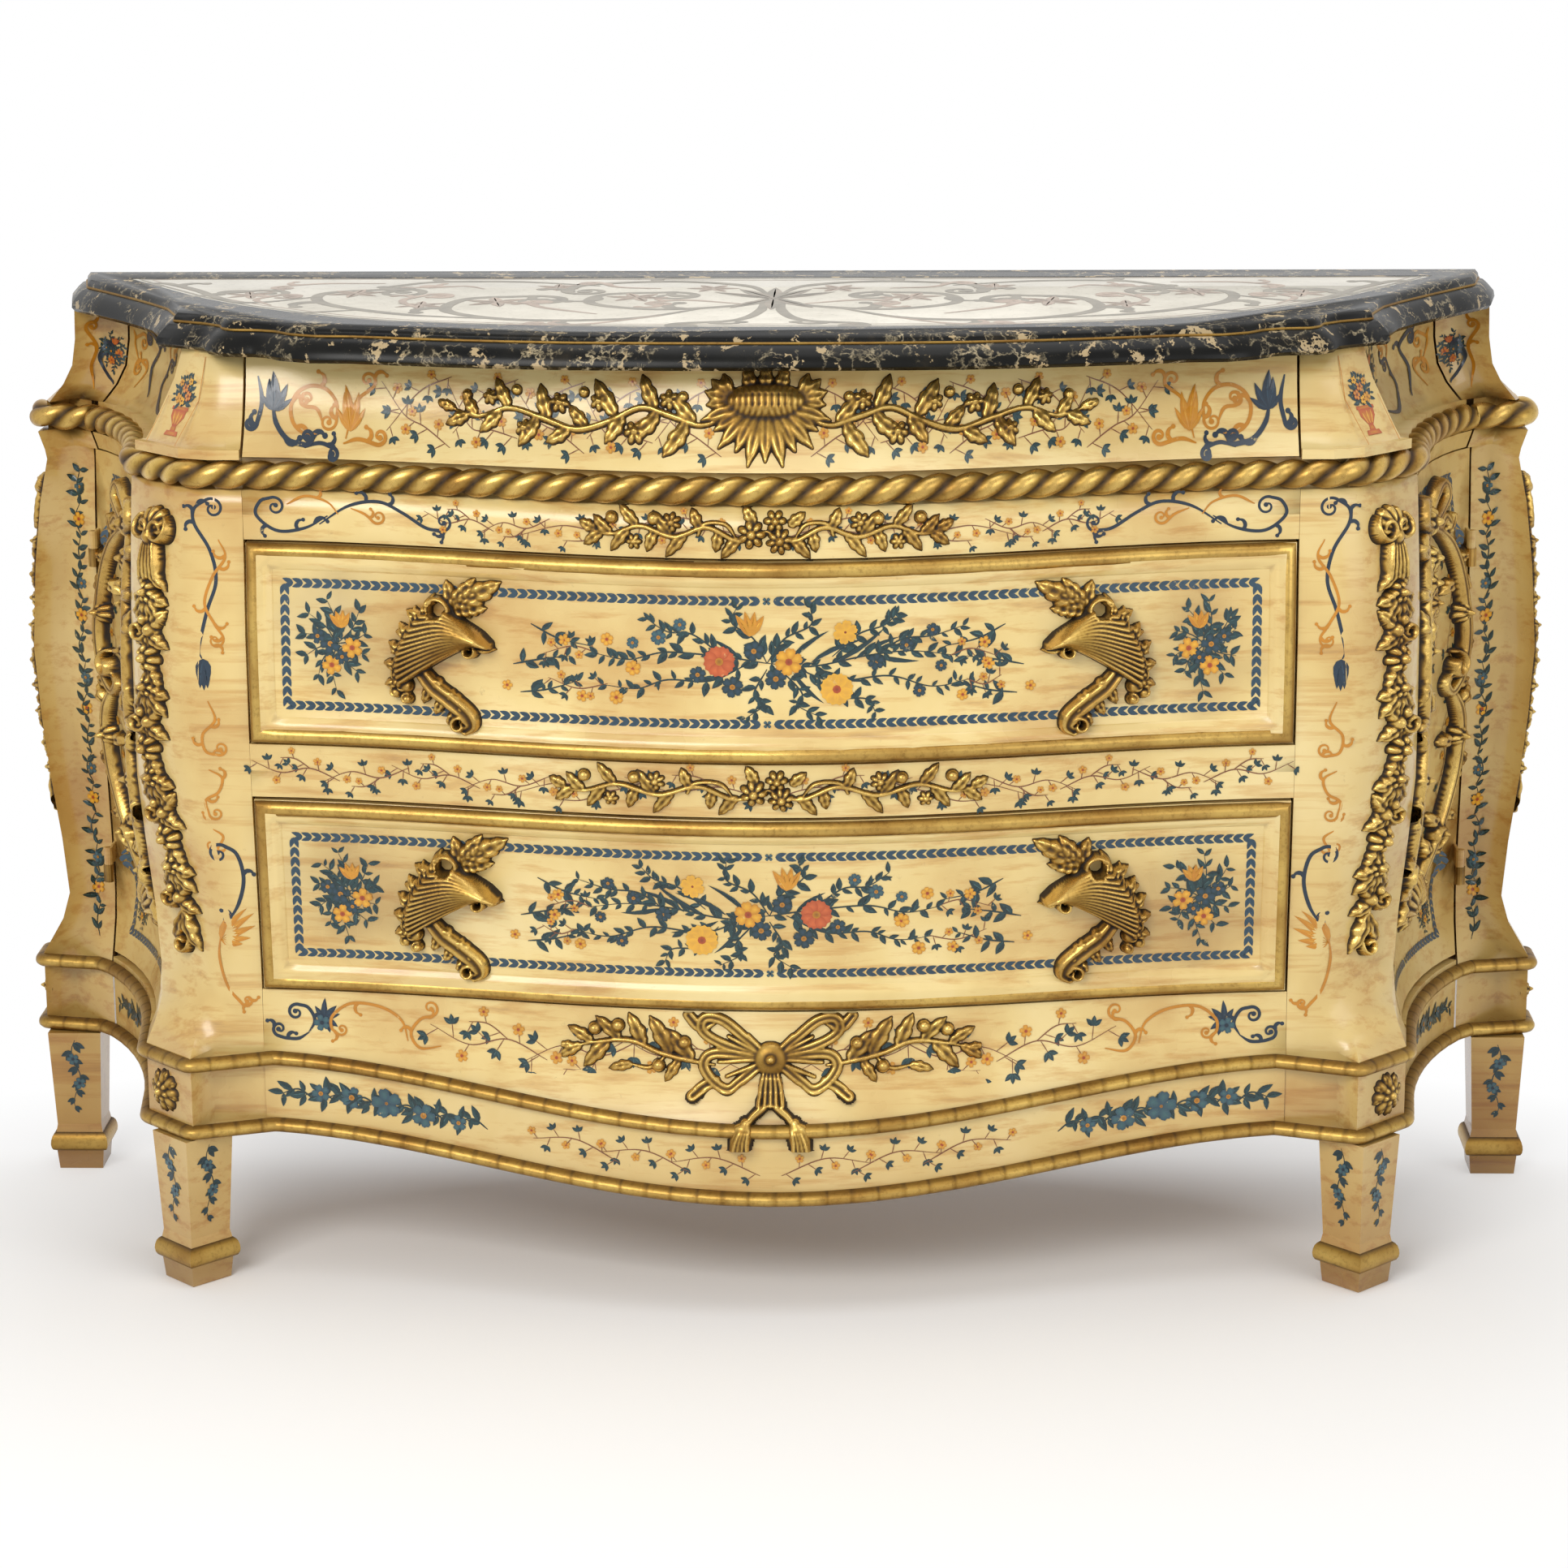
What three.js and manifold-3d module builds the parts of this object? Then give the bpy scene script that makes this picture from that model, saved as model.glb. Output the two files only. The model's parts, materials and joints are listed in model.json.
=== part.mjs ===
// Painted and gilt bombe chest: three bowed drawers, two curved side doors and a marble top.
// Millimetres, +Z up. X runs to the right of the front, Y towards the back.
import * as THREE from "three";
import { mergeVertices } from "three/addons/utils/BufferGeometryUtils.js";
import Module from "manifold-3d";

const wasm = await Module();
wasm.setup();

// Heights
const HEIGHT = 920;
const SLAB = 30;
const FRIEZE_HIGH = 93;
const ROPE_BAND = 29;
const UPPER_RAIL = 46;
const MIDDLE_RAIL = 51;
const BOTTOM_RAIL = 65;
const BASE_BAND = 74;
const BASE_DROP = 42;
const LINTEL = 18;
const FLOOR_RISE = 11;
const DOOR_SILL = 4;
const BODY_FOOT_SHARE = 0.2413;
const LOWER_DRAWER_SHARE = 0.5026;

// Clearances
const FIT = 0.3;
const LOOSE_FIT = 0.6;
const WIDE_FIT = 0.9;
const DRAWER_GAP = 2.5;
const DOOR_GAP = 1.5;
const BOX_PLAY = 1.5;
const STAND = 1.1;
const POST_STAND = 1.3;
const CURVED_STAND = 2.2;

// Board thicknesses
const RAIL_DEPTH = 40;
const FRONT_BOARD = 22;
const BOX_BOARD = 12;
const BOTTOM_BOARD = 6;
const CASE_BOARD = 16;
const SIDE_BOARD = 18;
const BACK_BOARD = 12;

// Distance of the front behind the foot corner, at its ends and at its centre
const END_BELLY_Y = 25;
const END_WAIST_Y = 45;
const END_BASE_Y = 42;
const CENTRE_BELLY_Y = -57;
const CENTRE_WAIST_Y = -24;
const CENTRE_BASE_Y = -52;
const FRIEZE_END_FOOT_Y = 30;
const FRIEZE_END_TOP_Y = 79;
const FRIEZE_CENTRE_FOOT_Y = -57;
const FRIEZE_CENTRE_TOP_Y = -7;

// Corner post, out from the drawer opening: its front edge, the face that cuts the corner at 45 degrees and
// the return behind it
const OPENING_HALF = 484;
const BELL_PAST = 46;
const EDGE_BELLY = 72;
const EDGE_WAIST = 50;
const EDGE_Y_BASE = 12;
const EDGE_Y_WAIST = 58;
const EDGE_RETURN = 25;
const FACE_WIDE = 47;
const FACE_NARROW = 38;
const FRIEZE_EDGE_FOOT = 54;
const FRIEZE_EDGE_TOP = 31;
const FRIEZE_EDGE_FOOT_Y = 42;
const FRIEZE_EDGE_TOP_Y = 76;
const FRIEZE_FACE_FOOT = 48;
const FRIEZE_FACE_TOP = 37;
const PLINTH_RISE = 9;
const PLINTH_STEP = 5;
const BLOCK_EDGE = 65;
const BLOCK_EDGE_Y = 8;
const BLOCK_FACE = 50;
const BLOCK_RETURN = 17;
const BLOCK_STEP = 30;
const POST_LIP = 1;
const POST_RETURN = 6;
const POST_REAR_STEP = 44;
const POST_REAR = 16;

// Side: a hollow curve in plan that swells and narrows with height
const SWEEP_LEAD = 21;
const SWEEP_X = 151;
const SWEEP_Y = 292;
const SWEEP_POWER = 1.7;
const SWEEP_END_SHARE = 0.862;
const FRIEZE_END_SHARE = 0.7321;
const HINGE_X_SHARE = 0.4967;
const HINGE_Y_SHARE = 0.8116;
const PANEL_STEP = 1;
const SIDE_FRONT_WAIST = 14;
const SIDE_FRONT_BELLY = 1;
const SIDE_BACK_WAIST = 30;
const SIDE_FRIEZE_FOOT = 34;
const SIDE_FRIEZE_TOP = 63;
const BLOCK_BACK_LIP = 1;
const BLOCK_BACK_STEP = 30;
const BLOCK_BACK = 43;

// Base mouldings and the raised frame of a drawer
const ROPE_SEAT = 8;
const ROPE_PITCH = 20;
const MOULD_HALF = 7;
const MOULD_OUT = 10;
const FRAME_WIDTH = 22;
const FRAME_RISE = 9;

// Marble top
const SLAB_INSET = 71;
const SLAB_BACK_LIP = 4;
const SLAB_FRONT_Y = -30;
const SLAB_FLARE = 20;
const INLAY_MARGIN = 48;
const INLAY_DEPTH = 5;

// Feet
const FOOT_BLOCK = 20;
const FOOT_RING = 20;
const FOOT_CHAMFER = 1.8;
const FOOT_HALF = 24;
const RING_HALF = 29;
const ANKLE_HALF = 22.5;
const LEG_HALF = 27;
const LEG_OUT = 71;
const LEG_BEHIND = 30;
const BACK_LEG_IN = 30;
const BACK_LEG_BEFORE = 32;

// Hinges of the side doors
const KNUCKLE_RADIUS = 4.5;
const PIN_RADIUS = 2;
const KNUCKLE = 18;
const HINGE_LEAF = 2.4;
const HINGE_PLATE = 3;
const UPPER_HINGE_SHARE = 0.815;
const LOWER_HINGE_SHARE = 0.1813;

const mix = (a, b, share) => a + (b - a) * share;

// Levels above the floor
const SLAB_FOOT = HEIGHT - SLAB;
const CASE_TOP = SLAB_FOOT - FIT;
const FRIEZE_FOOT = SLAB_FOOT - FRIEZE_HIGH;
const ROPE_FOOT = FRIEZE_FOOT - ROPE_BAND;
const ROPE_RADIUS = ROPE_BAND / 2 - WIDE_FIT;
const BODY_FOOT = HEIGHT * BODY_FOOT_SHARE;
const BASE_FOOT = BODY_FOOT - BASE_BAND;
const DRAWER_ROOM = ROPE_FOOT - BODY_FOOT - UPPER_RAIL - MIDDLE_RAIL - BOTTOM_RAIL;
const LOWER_OPENING_FOOT = BODY_FOOT + BOTTOM_RAIL;
const LOWER_OPENING_TOP = LOWER_OPENING_FOOT + DRAWER_ROOM * LOWER_DRAWER_SHARE;
const UPPER_OPENING_FOOT = LOWER_OPENING_TOP + MIDDLE_RAIL;
const UPPER_OPENING_TOP = ROPE_FOOT - UPPER_RAIL;
const FLOOR_TOP = BODY_FOOT + FLOOR_RISE;
const DOOR_FOOT = FLOOR_TOP + DOOR_SILL;
const DOOR_TOP = ROPE_FOOT - LINTEL;
const UPPER_HINGE_Z = mix(DOOR_FOOT, DOOR_TOP, UPPER_HINGE_SHARE);
const LOWER_HINGE_Z = mix(DOOR_FOOT, DOOR_TOP, LOWER_HINGE_SHARE);

// Places in plan
const BELL_REACH = OPENING_HALF + BELL_PAST;
const EDGE_X_BELLY = OPENING_HALF + EDGE_BELLY;
const EDGE_X_WAIST = OPENING_HALF + EDGE_WAIST;
const FRIEZE_EDGE_FOOT_X = OPENING_HALF + FRIEZE_EDGE_FOOT;
const FRIEZE_EDGE_TOP_X = OPENING_HALF + FRIEZE_EDGE_TOP;
const BLOCK_EDGE_X = OPENING_HALF + BLOCK_EDGE;
const SIDE_BASE_X = EDGE_X_BELLY + FACE_WIDE + POST_LIP + SWEEP_X;
const SIDE_START_Y = EDGE_Y_WAIST + FACE_WIDE + POST_RETURN;
const SWEEP_CENTRE_Y = SIDE_START_Y - SWEEP_LEAD;
const POST_REAR_Y = SIDE_START_Y + POST_REAR;
const HINGE_X = SIDE_BASE_X - SWEEP_X * HINGE_X_SHARE;
const HINGE_Y = SWEEP_CENTRE_Y + SWEEP_Y * HINGE_Y_SHARE;
const SWEEP_END = (Math.PI / 2) * SWEEP_END_SHARE;
const FRIEZE_END = (Math.PI / 2) * FRIEZE_END_SHARE;
const BLOCK_BACK_X = SIDE_BASE_X + BLOCK_BACK_LIP;
const BLOCK_BACK_Y = SWEEP_CENTRE_Y + SWEEP_Y - BLOCK_BACK_STEP;
const BACK_Y = BLOCK_BACK_Y + BLOCK_BACK;
const PANEL_Y = BACK_Y - BACK_BOARD;
const SLAB_HALF = SIDE_BASE_X - SLAB_INSET;
const SLAB_BACK_Y = BACK_Y + SLAB_BACK_LIP;
const FRONT_LEG_X = OPENING_HALF + LEG_OUT;
const FRONT_LEG_Y = BLOCK_EDGE_Y + LEG_BEHIND;
const BACK_LEG_X = BLOCK_BACK_X - BACK_LEG_IN;
const BACK_LEG_Y = BACK_Y - BACK_LEG_BEFORE;

const GOLD = { color: 0x9a7636, roughness: 0.4, metalness: 0.8 };
const CREAM = { color: 0xe2cd98, roughness: 0.42, metalness: 0 };
const OAK = { color: 0xa98a5c, roughness: 0.75, metalness: 0 };
const DARK_MARBLE = { color: 0x20241f, roughness: 0.2, metalness: 0 };
const PALE_INLAY = { color: 0xc9c6bb, roughness: 0.25, metalness: 0 };
const BRASS = { color: 0xa5803c, roughness: 0.35, metalness: 0.9 };

// A smooth curve through [height, value] pairs, level beyond both ends.
function through(points) {
  return (at) => {
    if (at <= points[0][0]) return points[0][1];
    const last = points.length - 1;
    if (at >= points[last][0]) return points[last][1];
    let i = 0;
    while (at > points[i + 1][0]) i += 1;
    const [a, b] = [points[i], points[i + 1]];
    const before = points[Math.max(i - 1, 0)];
    const after = points[Math.min(i + 2, last)];
    const run = b[0] - a[0];
    const t = (at - a[0]) / run;
    const leave = ((b[1] - before[1]) / (b[0] - before[0])) * run;
    const arrive = ((after[1] - a[1]) / (after[0] - a[0])) * run;
    const t2 = t * t;
    const t3 = t2 * t;
    return (
      (2 * t3 - 3 * t2 + 1) * a[1] + (t3 - 2 * t2 + t) * leave + (3 * t2 - 2 * t3) * b[1] + (t3 - t2) * arrive
    );
  };
}

// Profiles in shares: of the height of the body, and of the way between two named sizes.
const endShares = through([[0, 0.85], [0.12, 1], [0.235, 0.8], [0.473, 0.15], [0.566, 0], [0.755, 0.05],
  [0.916, 0.6], [1, 0.55]]);
const centreShares = through([[0, 0.5], [0.12, 1], [0.235, 0.75], [0.473, 0.25], [0.566, 0.06], [0.755, 0],
  [0.916, 0], [1, 0.15]]);
const edgeXShares = through([[0, 1], [0.05, 0.5], [0.12, 0.18], [0.235, 0.18], [0.353, 0.5], [0.52, 1],
  [0.755, 0.82], [0.916, 0.2], [1, 0]]);
const edgeYShares = through([[0, 0], [0.04, 0.45], [0.08, 0.8], [0.13, 0.97], [0.235, 1], [0.353, 0.78],
  [0.52, 0.52], [0.755, 0.43], [0.97, 0.6], [1, 0.6]]);
const faceShares = through([[0, 0], [0.12, 0], [0.353, 0.3], [0.52, 1], [0.755, 0.9], [1, 0]]);
const sideFrontShares = through([[0, 0.93], [0.08, 0.15], [0.16, 0], [0.34, 0.6], [0.46, 1], [0.6, 1],
  [0.755, 0.93], [0.96, 0.6], [1, 0.5]]);
const sideBackShares = through([[0, 1], [0.03, 0.8], [0.086, 0.23], [0.14, 0], [0.233, 0.17], [0.36, 0.47],
  [0.59, 0.8], [0.742, 0.63], [0.875, 0.33], [0.947, 0.04], [1, 0.3]]);
const friezeShares = through([[0, 0], [0.16, 0.27], [0.36, 0.54], [0.68, 0.84], [1, 1]]);
const sideFriezeShares = through([[0, 0], [0.28, 0.67], [0.53, 0.93], [1, 1]]);

const bodyShare = (z) => (z - BODY_FOOT) / (ROPE_FOOT - BODY_FOOT);
const friezeShare = (z) => (z - FRIEZE_FOOT) / (SLAB_FOOT - FRIEZE_FOOT);
const bell = (x) => (1 + Math.cos(Math.PI * Math.min(Math.abs(x) / BELL_REACH, 1))) / 2;
const baseDrop = (x) => BASE_DROP * bell(x);

const FLARE_SHARE = 0.12;
// The front: its Y at a place and height. Below the body it is the apron.
function frontY(x, z) {
  if (z >= FRIEZE_FOOT) {
    const share = friezeShares(friezeShare(z));
    const end = mix(FRIEZE_END_FOOT_Y, FRIEZE_END_TOP_Y, share);
    return mix(end, mix(FRIEZE_CENTRE_FOOT_Y, FRIEZE_CENTRE_TOP_Y, share), bell(x));
  }
  const share = bodyShare(Math.min(z, ROPE_FOOT));
  const lift = baseDrop(x) / (ROPE_FOOT - BODY_FOOT);
  const flare = Math.max(0, 1 - (share + lift) / (FLARE_SHARE + lift));
  const end = mix(END_BELLY_Y, END_WAIST_Y, endShares(share));
  const centre = mix(CENTRE_BELLY_Y, CENTRE_WAIST_Y, centreShares(Math.max(share, FLARE_SHARE)));
  const plain = mix(end, centre, bell(x));
  return mix(plain, mix(END_BASE_Y, CENTRE_BASE_Y, bell(x)), Math.min(flare * flare, 1));
}

// Plan corners of a front post at a height, on the right-hand side.
function postEdge(z) {
  if (z < BODY_FOOT) return { x: BLOCK_EDGE_X, y: BLOCK_EDGE_Y, face: BLOCK_FACE };
  if (z < FRIEZE_FOOT) {
    const share = bodyShare(Math.min(z, ROPE_FOOT));
    return {
      x: mix(EDGE_X_WAIST, EDGE_X_BELLY, edgeXShares(share)),
      y: mix(EDGE_Y_BASE, EDGE_Y_WAIST, edgeYShares(share)),
      face: mix(FACE_WIDE, FACE_NARROW, faceShares(share)),
    };
  }
  const share = friezeShares(friezeShare(z));
  const y = mix(FRIEZE_EDGE_FOOT_Y, FRIEZE_EDGE_TOP_Y, share);
  return {
    x: mix(FRIEZE_EDGE_FOOT_X, FRIEZE_EDGE_TOP_X, share),
    y,
    face: Math.min(mix(FRIEZE_FACE_FOOT, FRIEZE_FACE_TOP, share), SIDE_START_Y - FIT - PLINTH_STEP - y),
  };
}

// How far the side stands inside its base line, near the front post and near the back post.
function sideInset(z) {
  if (z < BODY_FOOT) return { front: 0, back: 0 };
  if (z >= FRIEZE_FOOT) {
    const inset = mix(SIDE_FRIEZE_FOOT, SIDE_FRIEZE_TOP, sideFriezeShares(friezeShare(z)));
    return { front: inset, back: inset };
  }
  const share = bodyShare(Math.min(z, ROPE_FOOT));
  return {
    front: mix(SIDE_FRONT_WAIST, -SIDE_FRONT_BELLY, sideFrontShares(share)),
    back: mix(SIDE_BACK_WAIST, 0, sideBackShares(share)),
  };
}

const power = (value, exponent) => Math.pow(Math.max(value, 0), exponent);
const sweepTurn = (dy) => Math.asin(power(dy / SWEEP_Y, SWEEP_POWER / 2));

const START_TURN = sweepTurn(SIDE_START_Y - SWEEP_CENTRE_Y);
const hingeTurn = (z) => (z > DOOR_TOP ? FRIEZE_END :
  Math.acos(power((SIDE_BASE_X - HINGE_X - sideInset(z).back) / SWEEP_X, SWEEP_POWER / 2)));

// A point of the side: share 0 at the front post, 1 at the hinge line, past 1 up to the back post's step.
function sidePoint(share, z) {
  const inset = sideInset(z);
  const back = inset.back;
  const hinge = hingeTurn(z);
  const turn = share > 1 ? mix(hinge, SWEEP_END, share - 1) : mix(START_TURN, hinge, share);
  const inwards = mix(inset.front, back, Math.min(share, 1));
  const x = SIDE_BASE_X - SWEEP_X * power(Math.cos(turn), 2 / SWEEP_POWER) - inwards;
  const y = SWEEP_CENTRE_Y + SWEEP_Y * power(Math.sin(turn), 2 / SWEEP_POWER);
  return new THREE.Vector2(x, y);
}

const STEP_SHARE = 0.002;
// The outward direction of the side in plan.
function sideNormal(share, z) {
  const along = sidePoint(share + STEP_SHARE, z).sub(sidePoint(share - STEP_SHARE, z)).normalize();
  return new THREE.Vector2(along.y, -along.x);
}
const SIDE_RUN = Array.from({ length: 20 }, (_, i) =>
  sidePoint((i + 1) / 20, BODY_FOOT).distanceTo(sidePoint(i / 20, BODY_FOOT))).reduce((a, b) => a + b);

// Joins rings of equal point count into one closed solid, capped at both ends.
function loft(rings, capped = capFaces) {
  const count = rings[0].length;
  const positions = rings.flat().flatMap((p) => [p.x, p.y, p.z]);
  const index = [];
  for (let r = 0; r + 1 < rings.length; r += 1) {
    for (let i = 0; i < count; i += 1) {
      const a = r * count + i;
      const b = r * count + ((i + 1) % count);
      index.push(a, b, b + count, a, b + count, a + count);
    }
  }
  const caps = [[0, true], [rings.length - 1, false]];
  caps.forEach(([r, flip]) => capped(rings[r]).forEach(([a, b, c]) => {
    const face = flip ? [c, b, a] : [a, b, c];
    index.push(...face.map((i) => r * count + i));
  }));
  const geometry = new THREE.BufferGeometry();
  geometry.setAttribute("position", new THREE.Float32BufferAttribute(positions, 3));
  geometry.setIndex(index);
  return outward(geometry);
}

// Triangles that fill a ring, worked out in the plane that the ring lies nearest to.
function capFaces(ring) {
  const normal = new THREE.Vector3();
  ring.forEach((p, i) => normal.add(p.clone().cross(ring[(i + 1) % ring.length])));
  normal.normalize();
  const across = Math.abs(normal.z) > 0.9 ? new THREE.Vector3(1, 0, 0) : new THREE.Vector3(0, 0, 1);
  const right = across.clone().cross(normal).normalize();
  const up = normal.clone().cross(right);
  const flat = ring.map((p) => new THREE.Vector2(p.dot(right), p.dot(up)));
  return THREE.ShapeUtils.triangulateShape(flat, []);
}

// Triangles between the facing points of a ring whose first half runs out and second half comes back.
function stripFaces(ring) {
  const last = ring.length - 1;
  return Array.from({ length: (ring.length - 2) / 2 }, (_, i) =>
    [[i, i + 1, last - i - 1], [i, last - i - 1, last - i]]).flat();
}

// Turns the faces round where they point inwards.
function outward(geometry) {
  const p = geometry.attributes.position;
  const index = geometry.index.array;
  const [a, b, c] = [new THREE.Vector3(), new THREE.Vector3(), new THREE.Vector3()];
  let volume = 0;
  for (let i = 0; i < index.length; i += 3) {
    a.fromBufferAttribute(p, index[i]);
    b.fromBufferAttribute(p, index[i + 1]);
    c.fromBufferAttribute(p, index[i + 2]);
    volume += a.dot(b.cross(c));
  }
  return volume < 0 ? turned(geometry) : geometry;
}

function turned(geometry) {
  const index = Array.from(geometry.index.array);
  for (let i = 0; i < index.length; i += 3) [index[i + 1], index[i + 2]] = [index[i + 2], index[i + 1]];
  geometry.setIndex(index);
  return geometry;
}

function mirrored(geometry) {
  const copy = geometry.clone().scale(-1, 1, 1);
  return turned(copy.index ? copy : mergeVertices(copy));
}

// Solids that can be joined and cut
function solid(geometry) {
  const plain = geometry.clone();
  plain.deleteAttribute("normal");
  plain.deleteAttribute("uv");
  const merged = mergeVertices(plain, 1e-4);
  const mesh = new wasm.Mesh({
    numProp: 3,
    vertProperties: new Float32Array(merged.attributes.position.array),
    triVerts: new Uint32Array(merged.index.array),
  });
  return new wasm.Manifold(mesh);
}

function surface(made) {
  const { numProp, vertProperties, triVerts } = made.getMesh();
  const positions = [];
  for (let i = 0; i < vertProperties.length; i += numProp) {
    positions.push(vertProperties[i], vertProperties[i + 1], vertProperties[i + 2]);
  }
  const geometry = new THREE.BufferGeometry();
  geometry.setAttribute("position", new THREE.Float32BufferAttribute(positions, 3));
  geometry.setIndex(Array.from(triVerts));
  return geometry;
}

const joined = (geometries) => surface(geometries.map(solid).reduce((a, b) => a.add(b)));
const cut = (geometry, tools) => surface(tools.map(solid).reduce((a, b) => a.subtract(b), solid(geometry)));

function block(x0, x1, y0, y1, z0, z1) {
  const box = new THREE.BoxGeometry(x1 - x0, y1 - y0, z1 - z0);
  return box.translate((x0 + x1) / 2, (y0 + y1) / 2, (z0 + z1) / 2);
}

const chest = new THREE.Group();
function add(name, geometry, material) {
  const mesh = new THREE.Mesh(geometry, new THREE.MeshStandardMaterial(material));
  mesh.name = name;
  chest.add(mesh);
}
function addPair(name, geometry, material) {
  add(`right_${name}`, geometry, material);
  add(`left_${name}`, mirrored(geometry), material);
}

const spread = (from, to, steps) => Array.from({ length: steps + 1 }, (_, i) => mix(from, to, i / steps));

// A board that follows the front: outer face on the front, inner face a set depth behind it.
function frontBoard(stations, lowEdge, highEdge, levels, depth, rise = () => 0) {
  const rings = stations.map((x) => {
    const [low, high] = [lowEdge(x), highEdge(x)];
    const outer = levels.map((share) => {
      const z = mix(low, high, share);
      return new THREE.Vector3(x, frontY(x, z) - rise(x, z), z);
    });
    const inner = [levels[levels.length - 1], levels[0]].map((share) => {
      const z = mix(low, high, share);
      return new THREE.Vector3(x, frontY(x, z) + depth, z);
    });
    return [...outer, ...inner];
  });
  return loft(rings);
}

// Rails and apron between the front posts
const RAIL_HALF = OPENING_HALF - FIT;
const RAIL_STEPS = 22;
const RAIL_STATIONS = spread(-RAIL_HALF, RAIL_HALF, RAIL_STEPS);

function upperRail() {
  const rings = RAIL_STATIONS.map((x) => {
    const face = spread(UPPER_OPENING_TOP, ROPE_FOOT, 2).map((z) => [frontY(x, z), z]);
    const seat = frontY(x, ROPE_FOOT) + ROPE_SEAT;
    const back = frontY(x, ROPE_FOOT) + RAIL_DEPTH;
    const foot = FRIEZE_FOOT - FIT;
    const profile = [...face, [seat, ROPE_FOOT], [seat, foot], [back, foot], [back, UPPER_OPENING_TOP]];
    return profile.map(([y, z]) => new THREE.Vector3(x, y, z));
  });
  return loft(rings);
}

add("upper_rail", upperRail(), CREAM);
add("middle_rail", frontBoard(RAIL_STATIONS, () => LOWER_OPENING_TOP, () => UPPER_OPENING_FOOT,
  [0, 0.5, 1], RAIL_DEPTH), CREAM);
add("bottom_rail", frontBoard(RAIL_STATIONS, (x) => BODY_FOOT - baseDrop(x), () => LOWER_OPENING_FOOT,
  [0, 0.2, 0.45, 0.7, 1], RAIL_DEPTH), CREAM);

function frontApron() {
  const rings = RAIL_STATIONS.map((x) => {
    const y = mix(END_BASE_Y, CENTRE_BASE_Y, bell(x));
    const [low, high] = [BASE_FOOT - baseDrop(x), BODY_FOOT - baseDrop(x) - FIT];
    return [[y, low], [y, high], [y + RAIL_DEPTH, high], [y + RAIL_DEPTH, low]].map(
      ([py, z]) => new THREE.Vector3(x, py, z));
  });
  return loft(rings);
}
add("front_apron", frontApron(), CREAM);

// Front corner posts, from the base block up to the marble
const POST_LEVEL_SHARES = [0.04, 0.08, 0.13, 0.235, 0.353, 0.47, 0.6, 0.755, 0.87, 0.95];
const FRIEZE_LEVEL_SHARES = [0.2, 0.4, 0.68, 1];

const bodyLevels = () =>
  POST_LEVEL_SHARES.map((share) => mix(BODY_FOOT, ROPE_FOOT, share)).filter((z) => z < DOOR_TOP);

function postRing(z, at, step, plinth) {
  const edge = postEdge(at);
  const block = at < BODY_FOOT;
  const front = block ? END_BASE_Y : frontY(OPENING_HALF, at);
  const returnX = block ? edge.x - BLOCK_RETURN : edge.x - EDGE_RETURN;
  const returnY = block ? edge.y + BLOCK_STEP : front;
  const side = sidePoint(0, plinth ? z : at);
  const cant = Math.SQRT1_2;
  const points = [
    [OPENING_HALF, POST_REAR_Y],
    [OPENING_HALF, front + step],
    [returnX, returnY + step],
    [edge.x + (plinth - step) * cant, edge.y + (step - plinth) * cant],
    [edge.x + edge.face + (plinth - step) * cant, edge.y + edge.face + (step - plinth) * cant],
    [side.x - step, SIDE_START_Y - FIT],
    [side.x - POST_REAR_STEP, POST_REAR_Y],
  ];
  return points.map(([x, y]) => new THREE.Vector3(x, y, z));
}

function frontPost() {
  const body = bodyLevels();
  const frieze = FRIEZE_LEVEL_SHARES.map((share) => mix(FRIEZE_FOOT, CASE_TOP, share));
  const plinthTop = FRIEZE_FOOT + PLINTH_RISE;
  return loft([
    postRing(BASE_FOOT, BASE_FOOT, 0, 0),
    postRing(BODY_FOOT + MOULD_HALF, BASE_FOOT, 0, 0),
    ...body.map((z) => postRing(z, z, 0, 0)),
    postRing(DOOR_TOP, DOOR_TOP, 0, 0),
    postRing(ROPE_FOOT, ROPE_FOOT, 0, 0),
    postRing(ROPE_FOOT, ROPE_FOOT, ROPE_SEAT, 0),
    postRing(FRIEZE_FOOT, ROPE_FOOT, ROPE_SEAT, 0),
    postRing(FRIEZE_FOOT, FRIEZE_FOOT, 0, PLINTH_STEP),
    postRing(plinthTop, FRIEZE_FOOT, 0, PLINTH_STEP),
    postRing(plinthTop, plinthTop, 0, 0),
    ...frieze.map((z) => postRing(z, z, 0, 0)),
  ]);
}
addPair("front_post", frontPost(), CREAM);

// Back corner posts
function backPostRing(z, at, step) {
  const normal = sideNormal(1, at);
  const seat = step / -normal.y;
  const hinge = sidePoint(1, at);
  const end = sidePoint(2, at);
  const inner = z > DOOR_TOP ? hinge.x + DOOR_GAP : HINGE_X + DOOR_GAP;
  const panel = HINGE_X + DOOR_GAP + PANEL_STEP;
  const x = Math.max(BLOCK_BACK_X - sideInset(at).back - step, panel + PANEL_STEP);
  const front = PANEL_Y - FIT;
  return [
    [inner, hinge.y + DOOR_GAP + seat], [Math.max(end.x, inner + DOOR_GAP), end.y + seat],
    [x, BLOCK_BACK_Y + seat], [x, BACK_Y], [panel, BACK_Y], [panel, front], [inner, front],
  ].map(([px, py]) => new THREE.Vector3(px, py, z));
}

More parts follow.
